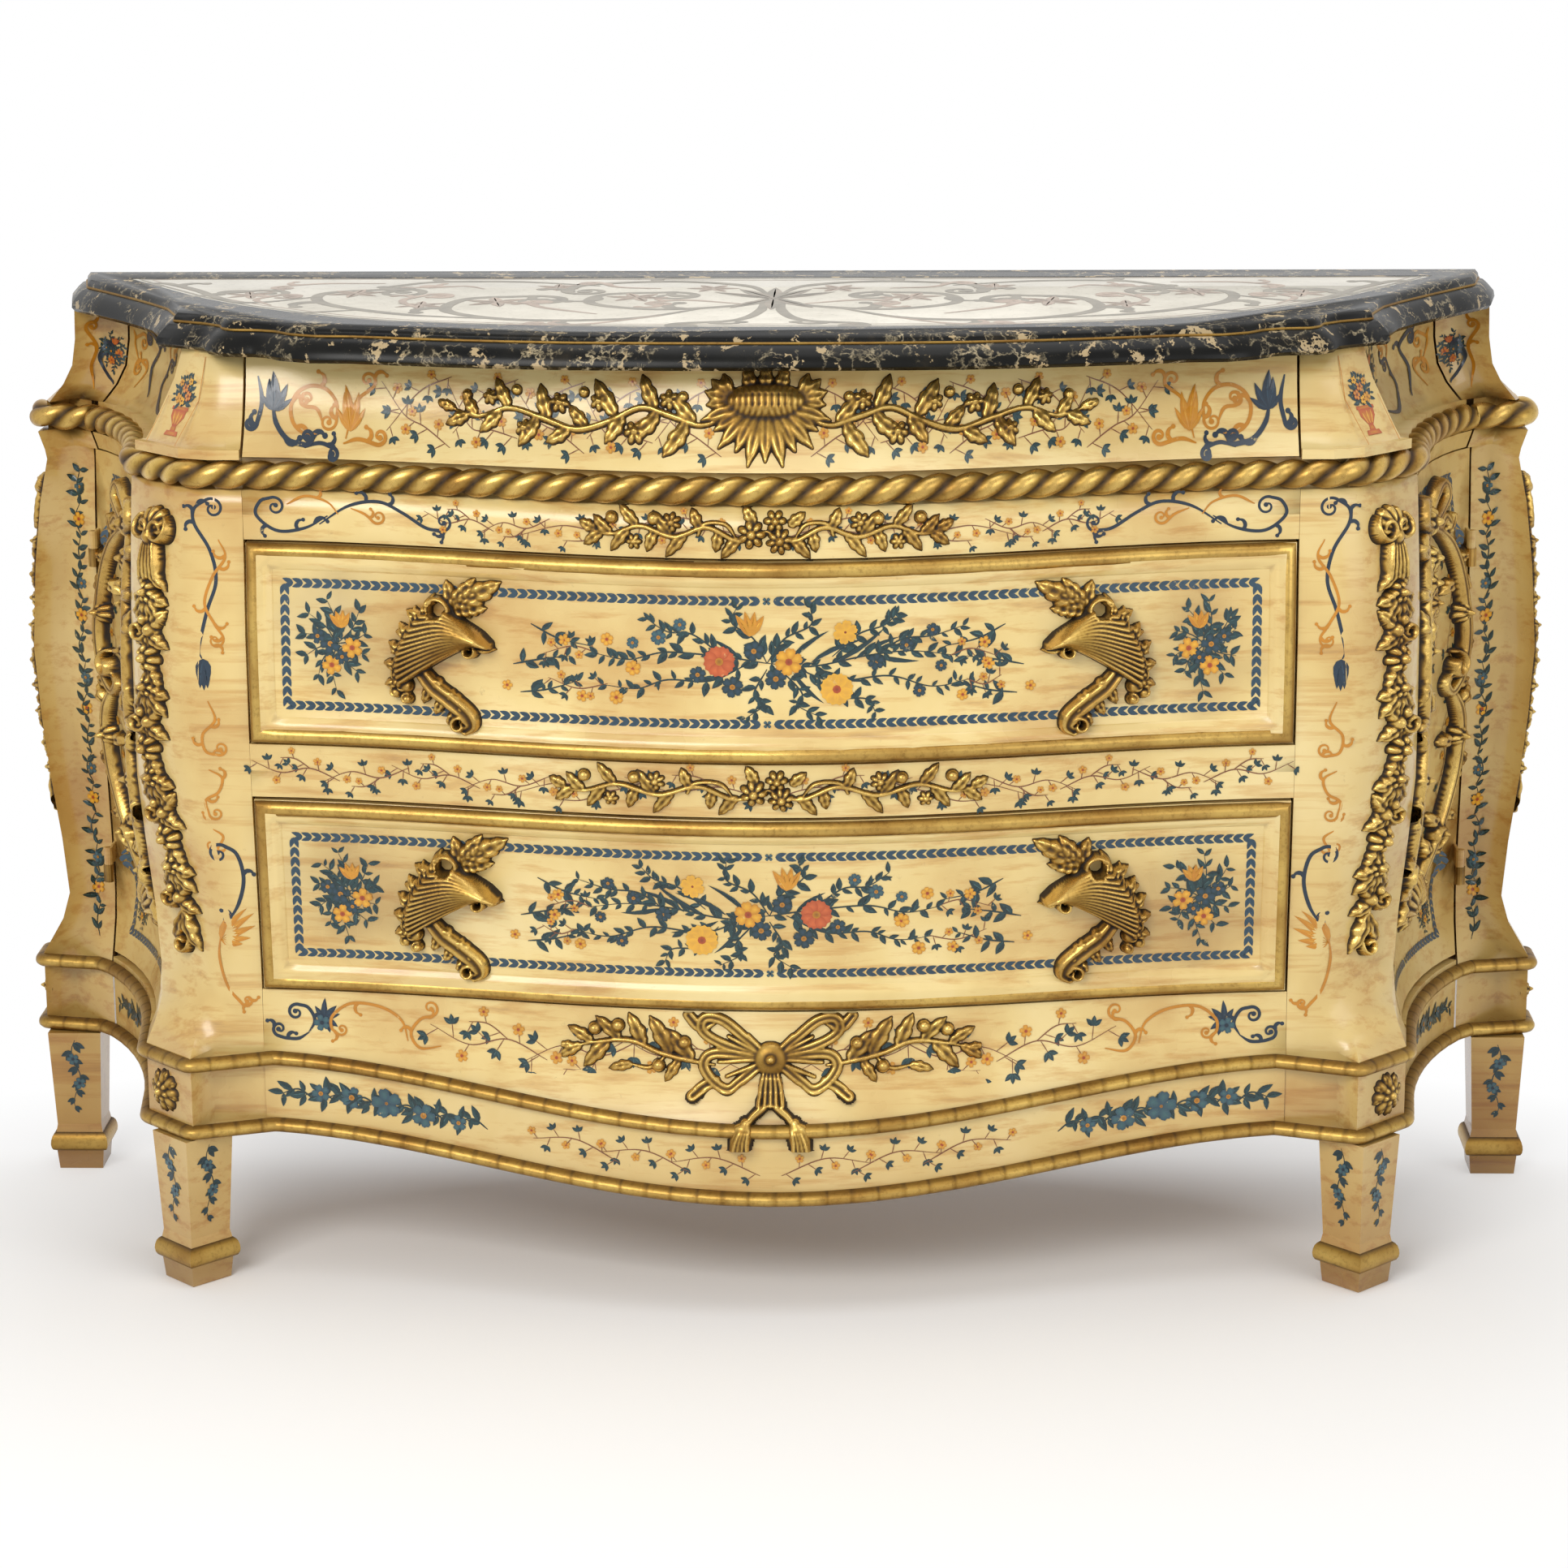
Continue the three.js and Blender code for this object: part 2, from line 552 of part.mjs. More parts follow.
function backPost() {
  const body = bodyLevels();
  const frieze = FRIEZE_LEVEL_SHARES.map((share) => mix(FRIEZE_FOOT, CASE_TOP, share));
  const shelf = DOOR_TOP + FIT;
  const plinthFoot = FRIEZE_FOOT + LOOSE_FIT;
  return loft([
    backPostRing(BASE_FOOT, BASE_FOOT, 0),
    backPostRing(BODY_FOOT + MOULD_HALF, BASE_FOOT, 0),
    ...body.map((z) => backPostRing(z, z, 0)),
    backPostRing(DOOR_TOP, DOOR_TOP, 0),
    backPostRing(shelf, shelf, 0),
    backPostRing(ROPE_FOOT, ROPE_FOOT, 0),
    backPostRing(ROPE_FOOT, ROPE_FOOT, ROPE_SEAT),
    backPostRing(plinthFoot, ROPE_FOOT, ROPE_SEAT),
    backPostRing(plinthFoot, FRIEZE_FOOT, 0),
    ...frieze.map((z) => backPostRing(z, z, 0)),
  ]);
}
addPair("back_post", backPost(), CREAM);

// A board that follows the side. Each level is [height, height read for the swell, outer step, inner depth
// and the height read for the swell inside].
function sideBoard(from, to, levels) {
  const rings = spread(from, to, SIDE_STEPS).map((share) => {
    const point = (at, depth, along) => sidePoint(along, at).addScaledVector(sideNormal(along, at), -depth);
    const innerShare = (at, deep) => mix(from + bevelShare(at, deep), to, (share - from) / (to - from));
    const face = levels.map(([z, at, step]) => [point(at, step, share), z]);
    const rear = levels.map(([z, at, step, depth, inside = at]) => {
      const deep = sidePoint(0, at).x - step - sidePoint(0, inside).x + depth;
      return [point(inside, depth, innerShare(inside, deep)), z];
    }).reverse();
    return [...face, ...rear].map(([p, z]) => new THREE.Vector3(p.x, p.y, z));
  });
  return loft(rings, stripFaces);
}

const FIT_SHARE = LOOSE_FIT / SIDE_RUN;
const GAP_SHARE = DOOR_GAP / SIDE_RUN;
const BEVEL_TURN = sweepTurn(POST_REAR_Y + DOOR_GAP - SWEEP_CENTRE_Y);
const bevelShare = (z, deep) =>
  ((BEVEL_TURN - START_TURN) * Math.max(1, deep / POST_REAR_STEP)) / (hingeTurn(z) - START_TURN);
const SIDE_STEPS = 8;

const BEHIND_ROPE_SHARE = 1.4;
const BEHIND_SEAT_SHARE = 1.5;
const BEHIND_STEP_SHARE = 1.05;
const BEHIND_COVE_SHARE = 1.1;

function sideFrieze() {
  const coves = FRIEZE_LEVEL_SHARES.map((share) => mix(FRIEZE_FOOT, CASE_TOP, share));
  const foot = DOOR_TOP + DOOR_GAP;
  const step = FRIEZE_FOOT + LOOSE_FIT;
  return sideBoard(GAP_SHARE, 1 - GAP_SHARE, [
    [foot, foot, 0, SIDE_BOARD],
    [ROPE_FOOT, ROPE_FOOT, 0, SIDE_BOARD * BEHIND_ROPE_SHARE],
    [ROPE_FOOT, ROPE_FOOT, ROPE_SEAT, SIDE_BOARD * BEHIND_SEAT_SHARE],
    [step, ROPE_FOOT, ROPE_SEAT, SIDE_BOARD, CASE_TOP],
    [step, FRIEZE_FOOT, 0, SIDE_BOARD * BEHIND_STEP_SHARE, CASE_TOP],
    [FRIEZE_FOOT + PLINTH_RISE, FRIEZE_FOOT + PLINTH_RISE, 0, SIDE_BOARD * BEHIND_STEP_SHARE, CASE_TOP],
    ...coves.map((z) => [z, z, 0, SIDE_BOARD * BEHIND_COVE_SHARE, CASE_TOP]),
  ]);
}
addPair("side_frieze", sideFrieze(), CREAM);

function sideApron() {
  return sideBoard(FIT_SHARE, 1 - FIT_SHARE, [[BASE_FOOT, BASE_FOOT, 0, SIDE_BOARD],
    [FLOOR_TOP, BASE_FOOT, 0, SIDE_BOARD]]);
}
addPair("side_apron", sideApron(), CREAM);

// Side doors, with the knuckles that turn on the hinge pins
const DOOR_LEVEL_SHARES = [0, 0.06, 0.13, 0.25, 0.38, 0.52, 0.66, 0.8, 0.92, 1];

function upright(radius, z0, z1, x, y, sides = 12) {
  const tube = new THREE.CylinderGeometry(radius, radius, z1 - z0, sides);
  return tube.rotateX(Math.PI / 2).translate(x, y, (z0 + z1) / 2);
}

function hingeTab(z0, z1, side) {
  const deep = sidePoint(1, (z0 + z1) / 2).y + SIDE_BOARD / 2;
  const [x0, x1] = side < 0 ? [HINGE_X - DOOR_GAP - HINGE_LEAF, HINGE_X - DOOR_GAP] :
    [HINGE_X + DOOR_GAP, HINGE_X + DOOR_GAP + HINGE_LEAF];
  return block(x0, x1, HINGE_Y, deep, z0, z1);
}

function doorLeaf() {
  const levels = DOOR_LEVEL_SHARES.map((share) => mix(DOOR_FOOT, DOOR_TOP, share));
  return sideBoard(GAP_SHARE, 1 - GAP_SHARE, levels.map((z) => [z, z, 0, SIDE_BOARD]));
}

function door() {
  const knuckles = [UPPER_HINGE_Z, LOWER_HINGE_Z].flatMap((z) => [
    upright(KNUCKLE_RADIUS, z + FIT, z + KNUCKLE, HINGE_X, HINGE_Y),
    hingeTab(z + FIT, z + KNUCKLE, -1),
  ]);
  const bores = [UPPER_HINGE_Z, LOWER_HINGE_Z].map((z) =>
    upright(PIN_RADIUS + FIT, z - KNUCKLE, z + KNUCKLE * 2, HINGE_X, HINGE_Y));
  return cut(joined([doorLeaf(), ...knuckles]), bores);
}
addPair("side_door", door(), CREAM);

function hinge(z) {
  const seat = Math.min(sidePoint(1, z - KNUCKLE).y, sidePoint(1, z).y) + DOOR_GAP - FIT;
  const plate = HINGE_X + HINGE_PLATE;
  return joined([
    upright(KNUCKLE_RADIUS, z - KNUCKLE, z, HINGE_X, HINGE_Y),
    upright(PIN_RADIUS, z - KNUCKLE / 2, z + KNUCKLE, HINGE_X, HINGE_Y),
    block(HINGE_X, plate + HINGE_LEAF, HINGE_Y - HINGE_LEAF / 2, HINGE_Y + HINGE_LEAF / 2, z - KNUCKLE, z),
    block(plate, plate + HINGE_LEAF, HINGE_Y, seat, z - KNUCKLE, z),
  ]);
}
addPair("upper_hinge", hinge(UPPER_HINGE_Z), BRASS);
addPair("lower_hinge", hinge(LOWER_HINGE_Z), BRASS);

// Boards inside the case
const PARTITION_FRONT_Y = POST_REAR_Y + FIT;
const RUNNER = 14;

function partition() {
  const rear = PANEL_Y - FIT;
  const wall = block(OPENING_HALF, OPENING_HALF + CASE_BOARD, PARTITION_FRONT_Y, rear, FLOOR_TOP + FIT, CASE_TOP);
  const runners = [LOWER_OPENING_FOOT, UPPER_OPENING_FOOT, FRIEZE_FOOT].map((z) =>
    block(OPENING_HALF - RUNNER, OPENING_HALF + RUNNER / 2, PARTITION_FRONT_Y, rear, z - RUNNER, z));
  return joined([wall, ...runners]);
}
addPair("partition", partition(), OAK);

const PANEL_HALF = HINGE_X + DOOR_GAP + PANEL_STEP - FIT;
add("back_panel", block(-PANEL_HALF, PANEL_HALF, PANEL_Y, BACK_Y, FLOOR_TOP - CASE_BOARD, CASE_TOP), OAK);

// A flat board whose front edge follows the inside of the front
function flatBoard(stations, frontEdge, rear, z0, z1) {
  const rings = stations.map((x) => {
    const front = frontEdge(x);
    return [[front, z0], [front, z1], [rear, z1], [rear, z0]].map(([y, z]) => new THREE.Vector3(x, y, z));
  });
  return loft(rings);
}

const DUST_BOARD_Z = ROPE_FOOT - CASE_BOARD;
add("dust_board", flatBoard(RAIL_STATIONS, (x) => frontY(x, ROPE_FOOT) + RAIL_DEPTH + FIT, PANEL_Y - FIT,
  DUST_BOARD_Z, ROPE_FOOT), OAK);

function bottomBoard() {
  const front = RAIL_STATIONS.filter((x) => x >= 0).map((x) =>
    [x, frontY(x, LOWER_OPENING_FOOT) + RAIL_DEPTH + FIT]);
  const inset = SIDE_BOARD + DOOR_GAP;
  const side = spread(0.2, 1, 5).map((share) => {
    const p = sidePoint(share, BASE_FOOT).addScaledVector(sideNormal(share, BASE_FOOT), -inset);
    return [p.x, p.y];
  });
  const right = [...front, [RAIL_HALF, PARTITION_FRONT_Y], [sidePoint(0, BASE_FOOT).x - POST_REAR_STEP,
    PARTITION_FRONT_Y], ...side, [HINGE_X, side[side.length - 1][1] + BOX_BOARD], [HINGE_X, PANEL_Y - FIT]];
  const left = right.slice(1).reverse().map(([x, y]) => [-x, y]);
  const shape = new THREE.Shape([...right, ...left].map(([x, y]) => new THREE.Vector2(x, y)));
  const board = new THREE.ExtrudeGeometry(shape, { depth: CASE_BOARD, bevelEnabled: false });
  return board.translate(0, 0, FLOOR_TOP - CASE_BOARD);
}
add("bottom_board", bottomBoard(), OAK);

// Drawers: bowed front, box of two sides and a back, and a thin bottom
const FRONT_HALF = OPENING_HALF - DRAWER_GAP;
const BOX_HALF = OPENING_HALF - BOX_PLAY;
const BOX_REAR_Y = PANEL_Y - BOX_BOARD;
const BOTTOM_RAISE = 8;
const BOX_HEIGHT_SHARE = 0.82;
const FIELD_STEPS = 14;
const FRAME_EDGE_SHARE = 0.35;

function frameRise(foot, top) {
  const half = FRAME_WIDTH / 2;
  return (x, z) => {
    const inside = Math.min(FRONT_HALF - Math.abs(x), z - foot, top - z);
    if (inside >= FRAME_WIDTH) return 0;
    const share = inside < half ? mix(FRAME_EDGE_SHARE, 1, inside / half) : 2 - inside / half;
    return FRAME_RISE * Math.max(share, 0);
  };
}

function framedFront(foot, top) {
  const half = FRAME_WIDTH / 2;
  const field = spread(-FRONT_HALF + FRAME_WIDTH, FRONT_HALF - FRAME_WIDTH, FIELD_STEPS);
  const stations = [-FRONT_HALF, -FRONT_HALF + half, ...field, FRONT_HALF - half, FRONT_HALF];
  const share = half / (top - foot);
  const levels = [0, share, ...spread(2 * share, 1 - 2 * share, 3), 1 - share, 1];
  return frontBoard(stations, () => foot, () => top, levels, FRONT_BOARD, frameRise(foot, top));
}

// The back of a drawer front is a plane in each upright section.
function frontRear(x, z, foot, top) {
  return mix(frontY(x, foot), frontY(x, top), (z - foot) / (top - foot)) + FRONT_BOARD;
}

function drawerBox(foot, top) {
  const low = foot - DRAWER_GAP + FIT;
  const height = (top - low) * BOX_HEIGHT_SHARE;
  const inner = BOX_HALF - BOX_BOARD;
  const rear = BOX_REAR_Y - BOX_BOARD;
  const levels = spread(low, low + height, 3);
  return loft(levels.map((z) => {
    const near = Math.max(frontRear(FRONT_HALF, z, foot, top), frontRear(inner, z, foot, top)) + LOOSE_FIT;
    return [
      [-BOX_HALF, near], [-BOX_HALF, BOX_REAR_Y], [BOX_HALF, BOX_REAR_Y], [BOX_HALF, near],
      [inner, near], [inner, rear], [-inner, rear], [-inner, near],
    ].map(([x, y]) => new THREE.Vector3(x, y, z));
  }));
}

function drawerBottom(foot, top) {
  const half = BOX_HALF - BOX_BOARD - FIT;
  const z0 = foot - DRAWER_GAP + FIT + BOTTOM_RAISE;
  const z1 = z0 + BOTTOM_BOARD;
  const edge = (x) => Math.max(frontRear(x, z0, foot, top), frontRear(x, z1, foot, top)) + WIDE_FIT;
  return flatBoard(spread(-half, half, RAIL_STEPS), edge, BOX_REAR_Y - BOX_BOARD - FIT, z0, z1);
}

function drawer(name, openingFoot, openingTop, front) {
  const [foot, top] = [openingFoot + DRAWER_GAP, openingTop - DRAWER_GAP];
  add(`${name}_drawer_front`, front, CREAM);
  add(`${name}_drawer_box`, drawerBox(foot, top), OAK);
  add(`${name}_drawer_bottom`, drawerBottom(foot, top), OAK);
}

drawer("lower", LOWER_OPENING_FOOT, LOWER_OPENING_TOP,
  framedFront(LOWER_OPENING_FOOT + DRAWER_GAP, LOWER_OPENING_TOP - DRAWER_GAP));
drawer("middle", UPPER_OPENING_FOOT, UPPER_OPENING_TOP,
  framedFront(UPPER_OPENING_FOOT + DRAWER_GAP, UPPER_OPENING_TOP - DRAWER_GAP));
const FRIEZE_STATIONS = spread(-FRONT_HALF, FRONT_HALF, RAIL_STEPS);
drawer("frieze", FRIEZE_FOOT, SLAB_FOOT, frontBoard(FRIEZE_STATIONS, () => FRIEZE_FOOT + DRAWER_GAP,
  () => SLAB_FOOT - DRAWER_GAP, [0, ...FRIEZE_LEVEL_SHARES], FRONT_BOARD));

// Mouldings that run round the chest, from one back corner to the other.
// Each path point holds its place in plan and how far it drops.
function wholePath(right) {
  const left = right.filter((p) => p.x > 0).map((p) => ({ x: -p.x, y: p.y, drop: p.drop }));
  return [...left.reverse(), ...right];
}

function offsetPath(path, out) {
  return path.map((p, i) => {
    const before = path[Math.max(i - 1, 0)];
    const after = path[Math.min(i + 1, path.length - 1)];
    const arrive = new THREE.Vector2(p.x - before.x, p.y - before.y).normalize();
    const leave = new THREE.Vector2(after.x - p.x, after.y - p.y).normalize();
    const along = arrive.clone().add(leave).normalize();
    const turn = Math.max(along.dot(arrive.lengthSq() > 0 ? arrive : leave), 0.5);
    const side = new THREE.Vector2(along.y, -along.x).multiplyScalar(1 / turn);
    return { x: p.x + side.x * out, y: p.y + side.y * out, drop: p.drop, side };
  });
}

function basePath() {
  const front = RAIL_STATIONS.filter((x) => x >= 0).map((x) =>
    ({ x, y: mix(END_BASE_Y, CENTRE_BASE_Y, bell(x)), drop: baseDrop(x) }));
  const edge = postEdge(BASE_FOOT);
  const corner = [
    { x: edge.x - BLOCK_RETURN, y: edge.y + BLOCK_STEP, drop: 0 },
    { x: edge.x, y: edge.y, drop: 0 },
    { x: edge.x + edge.face, y: edge.y + edge.face, drop: 0 },
  ];
  const side = [...spread(0, 1, SIDE_STEPS), 2].map((share) => ({ ...flat(sidePoint(share, BASE_FOOT)), drop: 0 }));
  const back = [{ x: BLOCK_BACK_X, y: BLOCK_BACK_Y, drop: 0 }, { x: BLOCK_BACK_X, y: BACK_Y, drop: 0 }];
  return wholePath([...front, ...corner, ...side, ...back]);
}

const flat = (p) => ({ x: p.x, y: p.y });

const HALF_ROUND_SHARES = [[0, -1], [0.75, -0.85], [1, 0], [0.75, 0.85], [0, 1]];
function moulding(z) {
  const path = offsetPath(basePath(), FIT);
  return loft(path.map((p) => HALF_ROUND_SHARES.map(([out, up]) => new THREE.Vector3(
    p.x + p.side.x * out * MOULD_OUT, p.y + p.side.y * out * MOULD_OUT, z - p.drop + up * MOULD_HALF))));
}
add("upper_base_moulding", moulding(BODY_FOOT), GOLD);
add("lower_base_moulding", moulding(BASE_FOOT + MOULD_HALF), GOLD);

function ropePath() {
  const z = ROPE_FOOT;
  const edge = postEdge(z);
  const front = RAIL_STATIONS.filter((x) => x >= 0).map((x) => ({ x, y: frontY(x, z), drop: 0 }));
  const corner = [
    { x: edge.x - EDGE_RETURN, y: frontY(OPENING_HALF, z), drop: 0 },
    { x: edge.x, y: edge.y, drop: 0 },
    { x: edge.x + edge.face, y: edge.y + edge.face, drop: 0 },
  ];
  const side = spread(0, 1, SIDE_STEPS).map((share) => ({ ...flat(sidePoint(share, z)), drop: 0 }));
  const x = BLOCK_BACK_X - sideInset(z).back;
  const back = [{ x, y: BLOCK_BACK_Y, drop: 0 }, { x, y: BACK_Y, drop: 0 }];
  return wholePath([...front.filter((p) => p.x < edge.x - EDGE_RETURN), ...corner, ...side, ...back]);
}

// A square bar turned an eighth of a turn at every step, so that its corners wind like strands.
function rope() {
  const path = offsetPath(ropePath(), ROPE_RADIUS - ROPE_SEAT + WIDE_FIT);
  const step = ROPE_PITCH / 2;
  const rings = [];
  let travelled = 0;
  path.forEach((p, i) => {
    const next = path[i + 1];
    const run = next ? Math.hypot(next.x - p.x, next.y - p.y) : 0;
    const parts = next ? Math.max(1, Math.round(run / step)) : 1;
    for (let k = 0; k < parts; k += 1) {
      const share = k / parts;
      const end = next || p;
      const centre = [mix(p.x, end.x, share), mix(p.y, end.y, share)];
      const side = p.side.clone().lerp(end.side, share);
      const turn = ((travelled + run * share) / ROPE_PITCH) * (Math.PI / 2);
      rings.push([0, 1, 2, 3].map((corner) => {
        const angle = turn + (corner * Math.PI) / 2;
        const out = Math.cos(angle) * ROPE_RADIUS;
        return new THREE.Vector3(centre[0] + side.x * out, centre[1] + side.y * out,
          (ROPE_FOOT + FRIEZE_FOOT) / 2 + Math.sin(angle) * ROPE_RADIUS);
      }));
    }
    travelled += run;
  });
  return loft(rings);
}
add("rope_moulding", rope(), GOLD);

// Marble top: its plan in shares of its half width and depth, and its edge in shares of height and flare
const SLAB_PLAN_SHARES = [[0, 0], [0.13, 0.003], [0.256, 0.014], [0.34, 0.033], [0.41, 0.054], [0.48, 0.08],
  [0.547, 0.107], [0.596, 0.112], [0.63, 0.14], [0.654, 0.182], [0.681, 0.2], [0.715, 0.205], [0.727, 0.225],
  [0.733, 0.261], [0.76, 0.3], [0.804, 0.34], [0.807, 0.403], [0.83, 0.513], [0.863, 0.6], [0.901, 0.688],
  [0.943, 0.78], [0.984, 0.869], [1, 1]];
const SLAB_EDGE_SHARES = [[0, 0.85], [0.12, 1], [0.3, 0.95], [0.55, 0.62], [0.68, 0.4], [0.72, 0.2], [0.88, 0.15],
  [1, 0]];

// The inlaid field, in shares of the slab less a margin all round
const INLAY_PLAN_SHARES = [[0, 0], [0.14, 0.004], [0.28, 0.02], [0.42, 0.06], [0.54, 0.12], [0.62, 0.19],
  [0.7, 0.3], [0.78, 0.43], [0.86, 0.6], [0.93, 0.8], [1, 1]];

function planPath(shares, half, front, back) {
  return wholePath(shares.map(([x, y]) => ({ x: x * half, y: mix(front, back, y), drop: 0 })));
}

function slabPath(out) {
  const path = offsetPath(planPath(SLAB_PLAN_SHARES, SLAB_HALF, SLAB_FRONT_Y, SLAB_BACK_Y), out);
  [path[0], path[path.length - 1]].forEach((p) => {
    p.x = Math.sign(p.x) * (SLAB_HALF + out);
    p.y = SLAB_BACK_Y;
  });
  return path;
}

function inlayPlate(grow, z0, z1) {
  const margin = INLAY_MARGIN - grow;
  const path = planPath(INLAY_PLAN_SHARES, SLAB_HALF - margin, SLAB_FRONT_Y + margin, SLAB_BACK_Y - margin);
  const shape = new THREE.Shape(path.map((p) => new THREE.Vector2(p.x, p.y)));
  const plate = new THREE.ExtrudeGeometry(shape, { depth: z1 - z0, bevelEnabled: false });
  return plate.translate(0, 0, z0);
}

function slab() {
  const rings = SLAB_EDGE_SHARES.map(([up, out]) =>
    slabPath(out * SLAB_FLARE).map((p) => new THREE.Vector3(p.x, p.y, SLAB_FOOT + up * SLAB)));
  return cut(loft(rings), [inlayPlate(FIT, HEIGHT - INLAY_DEPTH - FIT, HEIGHT + INLAY_DEPTH)]);
}
add("marble_top", slab(), DARK_MARBLE);
add("scagliola_inlay", inlayPlate(0, HEIGHT - INLAY_DEPTH, HEIGHT), PALE_INLAY);

// Feet: a four-sided turning gives the block, the gilt ring and the tapered leg
const LEG_TOP = BASE_FOOT - FIT;
const RING_SHARES = [[0, 0], [0.1, 0.7], [0.4, 1], [0.8, 0.7], [1, 0]];
const ANKLE_SHARE = 1.4;
function leg(x, y, turn) {
  const half = (size) => size * Math.SQRT2;
  const ring = RING_SHARES.map(([up, out]) => [half(mix(FOOT_HALF, RING_HALF, out)), FOOT_BLOCK + FOOT_RING * up]);
  const profile = [
    [0, 0], [half(FOOT_HALF - FOOT_CHAMFER), 0], ...ring, [half(ANKLE_HALF), FOOT_BLOCK + FOOT_RING * ANKLE_SHARE],
    [half(LEG_HALF), LEG_TOP], [0, LEG_TOP],
  ].map(([radius, z]) => new THREE.Vector2(radius, z));
  const turned4 = new THREE.LatheGeometry(profile, 4);
  return turned4.rotateX(Math.PI / 2).rotateZ(turn).translate(x, y, 0);
}
addPair("front_leg", leg(FRONT_LEG_X, FRONT_LEG_Y, 0), CREAM);
addPair("back_leg", leg(BACK_LEG_X, BACK_LEG_Y, Math.PI / 4), CREAM);

// Carved mounts are drawn flat, with a along, b up and h out, then joined and bent onto the chest.
const DEGREE = Math.PI / 180;
const LEAF_SHARES = [[0, 0, 0], [0.5, 0.5, 0], [0.5, -0.5, 0], [1, 0, 0], [0.5, 0, 1]];
const LEAF_WIDTH_SHARE = 0.44;
const NOTCH_SHARE = 0.62;
const CROWN_SHARE = 0.45;
const RIB_SHARE = 0.88;
const VALLEY_SHARE = 0.6;
const TIP_SHARE = 0.35;
const PROBE = 1;
const FINEST = 1.2;

function leaf(a, b, turn, length, tall) {
  const [c, s] = [Math.cos(turn * DEGREE), Math.sin(turn * DEGREE)];
  return wasm.Manifold.hull(LEAF_SHARES.map(([along, across, out]) => {
    const [x, y] = [along * length, across * length * LEAF_WIDTH_SHARE];
    return [a + x * c - y * s, b + x * s + y * c, out * tall];
  }));
}

function blossom(a, b, radius, lobes, tall) {
  const ring = (share, h) => Array.from({ length: lobes * 2 }, (_, i) => {
    const reach = radius * share * (i % 2 ? NOTCH_SHARE : 1);
    const angle = Math.PI * (i / lobes + 0.5);
    return new THREE.Vector3(a + reach * Math.cos(angle), b + reach * Math.sin(angle), h);
  });
  const points = [...ring(1, 0), new THREE.Vector3(a, b, tall)];
  const edge = Array.from({ length: lobes * 2 }, (_, i) => [i, (i + 1) % (lobes * 2), lobes * 2]).flat();
  const geometry = new THREE.BufferGeometry();
  geometry.setAttribute("position", new THREE.Float32BufferAttribute(points.flatMap((p) => [p.x, p.y, p.z]), 3));
  geometry.setIndex([...edge, ...capFaces(ring(1, 0)).flatMap(([i, j, k]) => [k, j, i])]);
  return solid(outward(geometry));
}

// A ribbed shell that opens from a hinge point
function fan(a, b, turn, radius, sweep, ribs, tall) {
  const angles = spread(-sweep, sweep, ribs * 2);
  const ring = (share, high, notch) => [new THREE.Vector3(a, b, high * VALLEY_SHARE), ...angles.map((angle, i) => {
    const reach = radius * share * (i % 2 ? 1 : notch);
    const t = (turn + angle) * DEGREE;
    const h = high * (i % 2 ? 1 : VALLEY_SHARE);
    return new THREE.Vector3(a + reach * Math.cos(t), b + reach * Math.sin(t), h);
  })];
  return solid(loft([ring(1, 0, RIB_SHARE), ring(1, tall / 2, RIB_SHARE), ring(CROWN_SHARE, tall, 1)]));
}

function stem(points, width, tall) {
  const last = points.length - 1;
  return solid(loft(points.map(([a, b], i) => {
    const [before, after] = [points[Math.max(i - 1, 0)], points[Math.min(i + 1, last)]];
    const side = new THREE.Vector2(before[1] - after[1], after[0] - before[0]).normalize();
    const half = (width / 2) * (i === 0 || i === last ? TIP_SHARE : 1);
    return [new THREE.Vector3(a - side.x * half, b - side.y * half, 0),
      new THREE.Vector3(a + side.x * half, b + side.y * half, 0), new THREE.Vector3(a, b, tall)];
  })));
}

const hoop = (a, b, radius, thick) => solid(new THREE.TorusGeometry(radius, thick, 4, 10).translate(a, b, thick));

// Bends joined pieces onto a surface that gives a point of the chest for each flat point.
function mounted(pieces, point, lift = STAND) {
  const made = surface(pieces.reduce((p, q) => p.add(q)).simplify(FINEST));
  const p = made.attributes.position;
  for (let i = 0; i < p.count; i += 1) {
    const [a, b, h] = [p.getX(i), p.getY(i), p.getZ(i)];
    const along = point(a + PROBE, b).sub(point(a - PROBE, b));
    const up = point(a, b + PROBE).sub(point(a, b - PROBE));
    const at = point(a, b).addScaledVector(along.cross(up).normalize(), lift + h);
    p.setXYZ(i, at.x, at.y, at.z);
  }
  return made;
}

const onFront = (a, b) => new THREE.Vector3(a, frontY(a, b), b);
function onPost(a, b) {
  const edge = postEdge(b);
  const reach = edge.face / 2 + a * Math.SQRT1_2;
  return new THREE.Vector3(edge.x + reach, edge.y + reach, b);
}
function onSide(a, b) {
  const p = sidePoint(a / SIDE_RUN, b);
  return new THREE.Vector3(p.x, p.y, b);
}
const BACK_FACE_Y = (BLOCK_BACK_Y + BACK_Y) / 2;
const onBackPost = (a, b) => new THREE.Vector3(BLOCK_BACK_X - sideInset(b).back, BACK_FACE_Y + a, b);

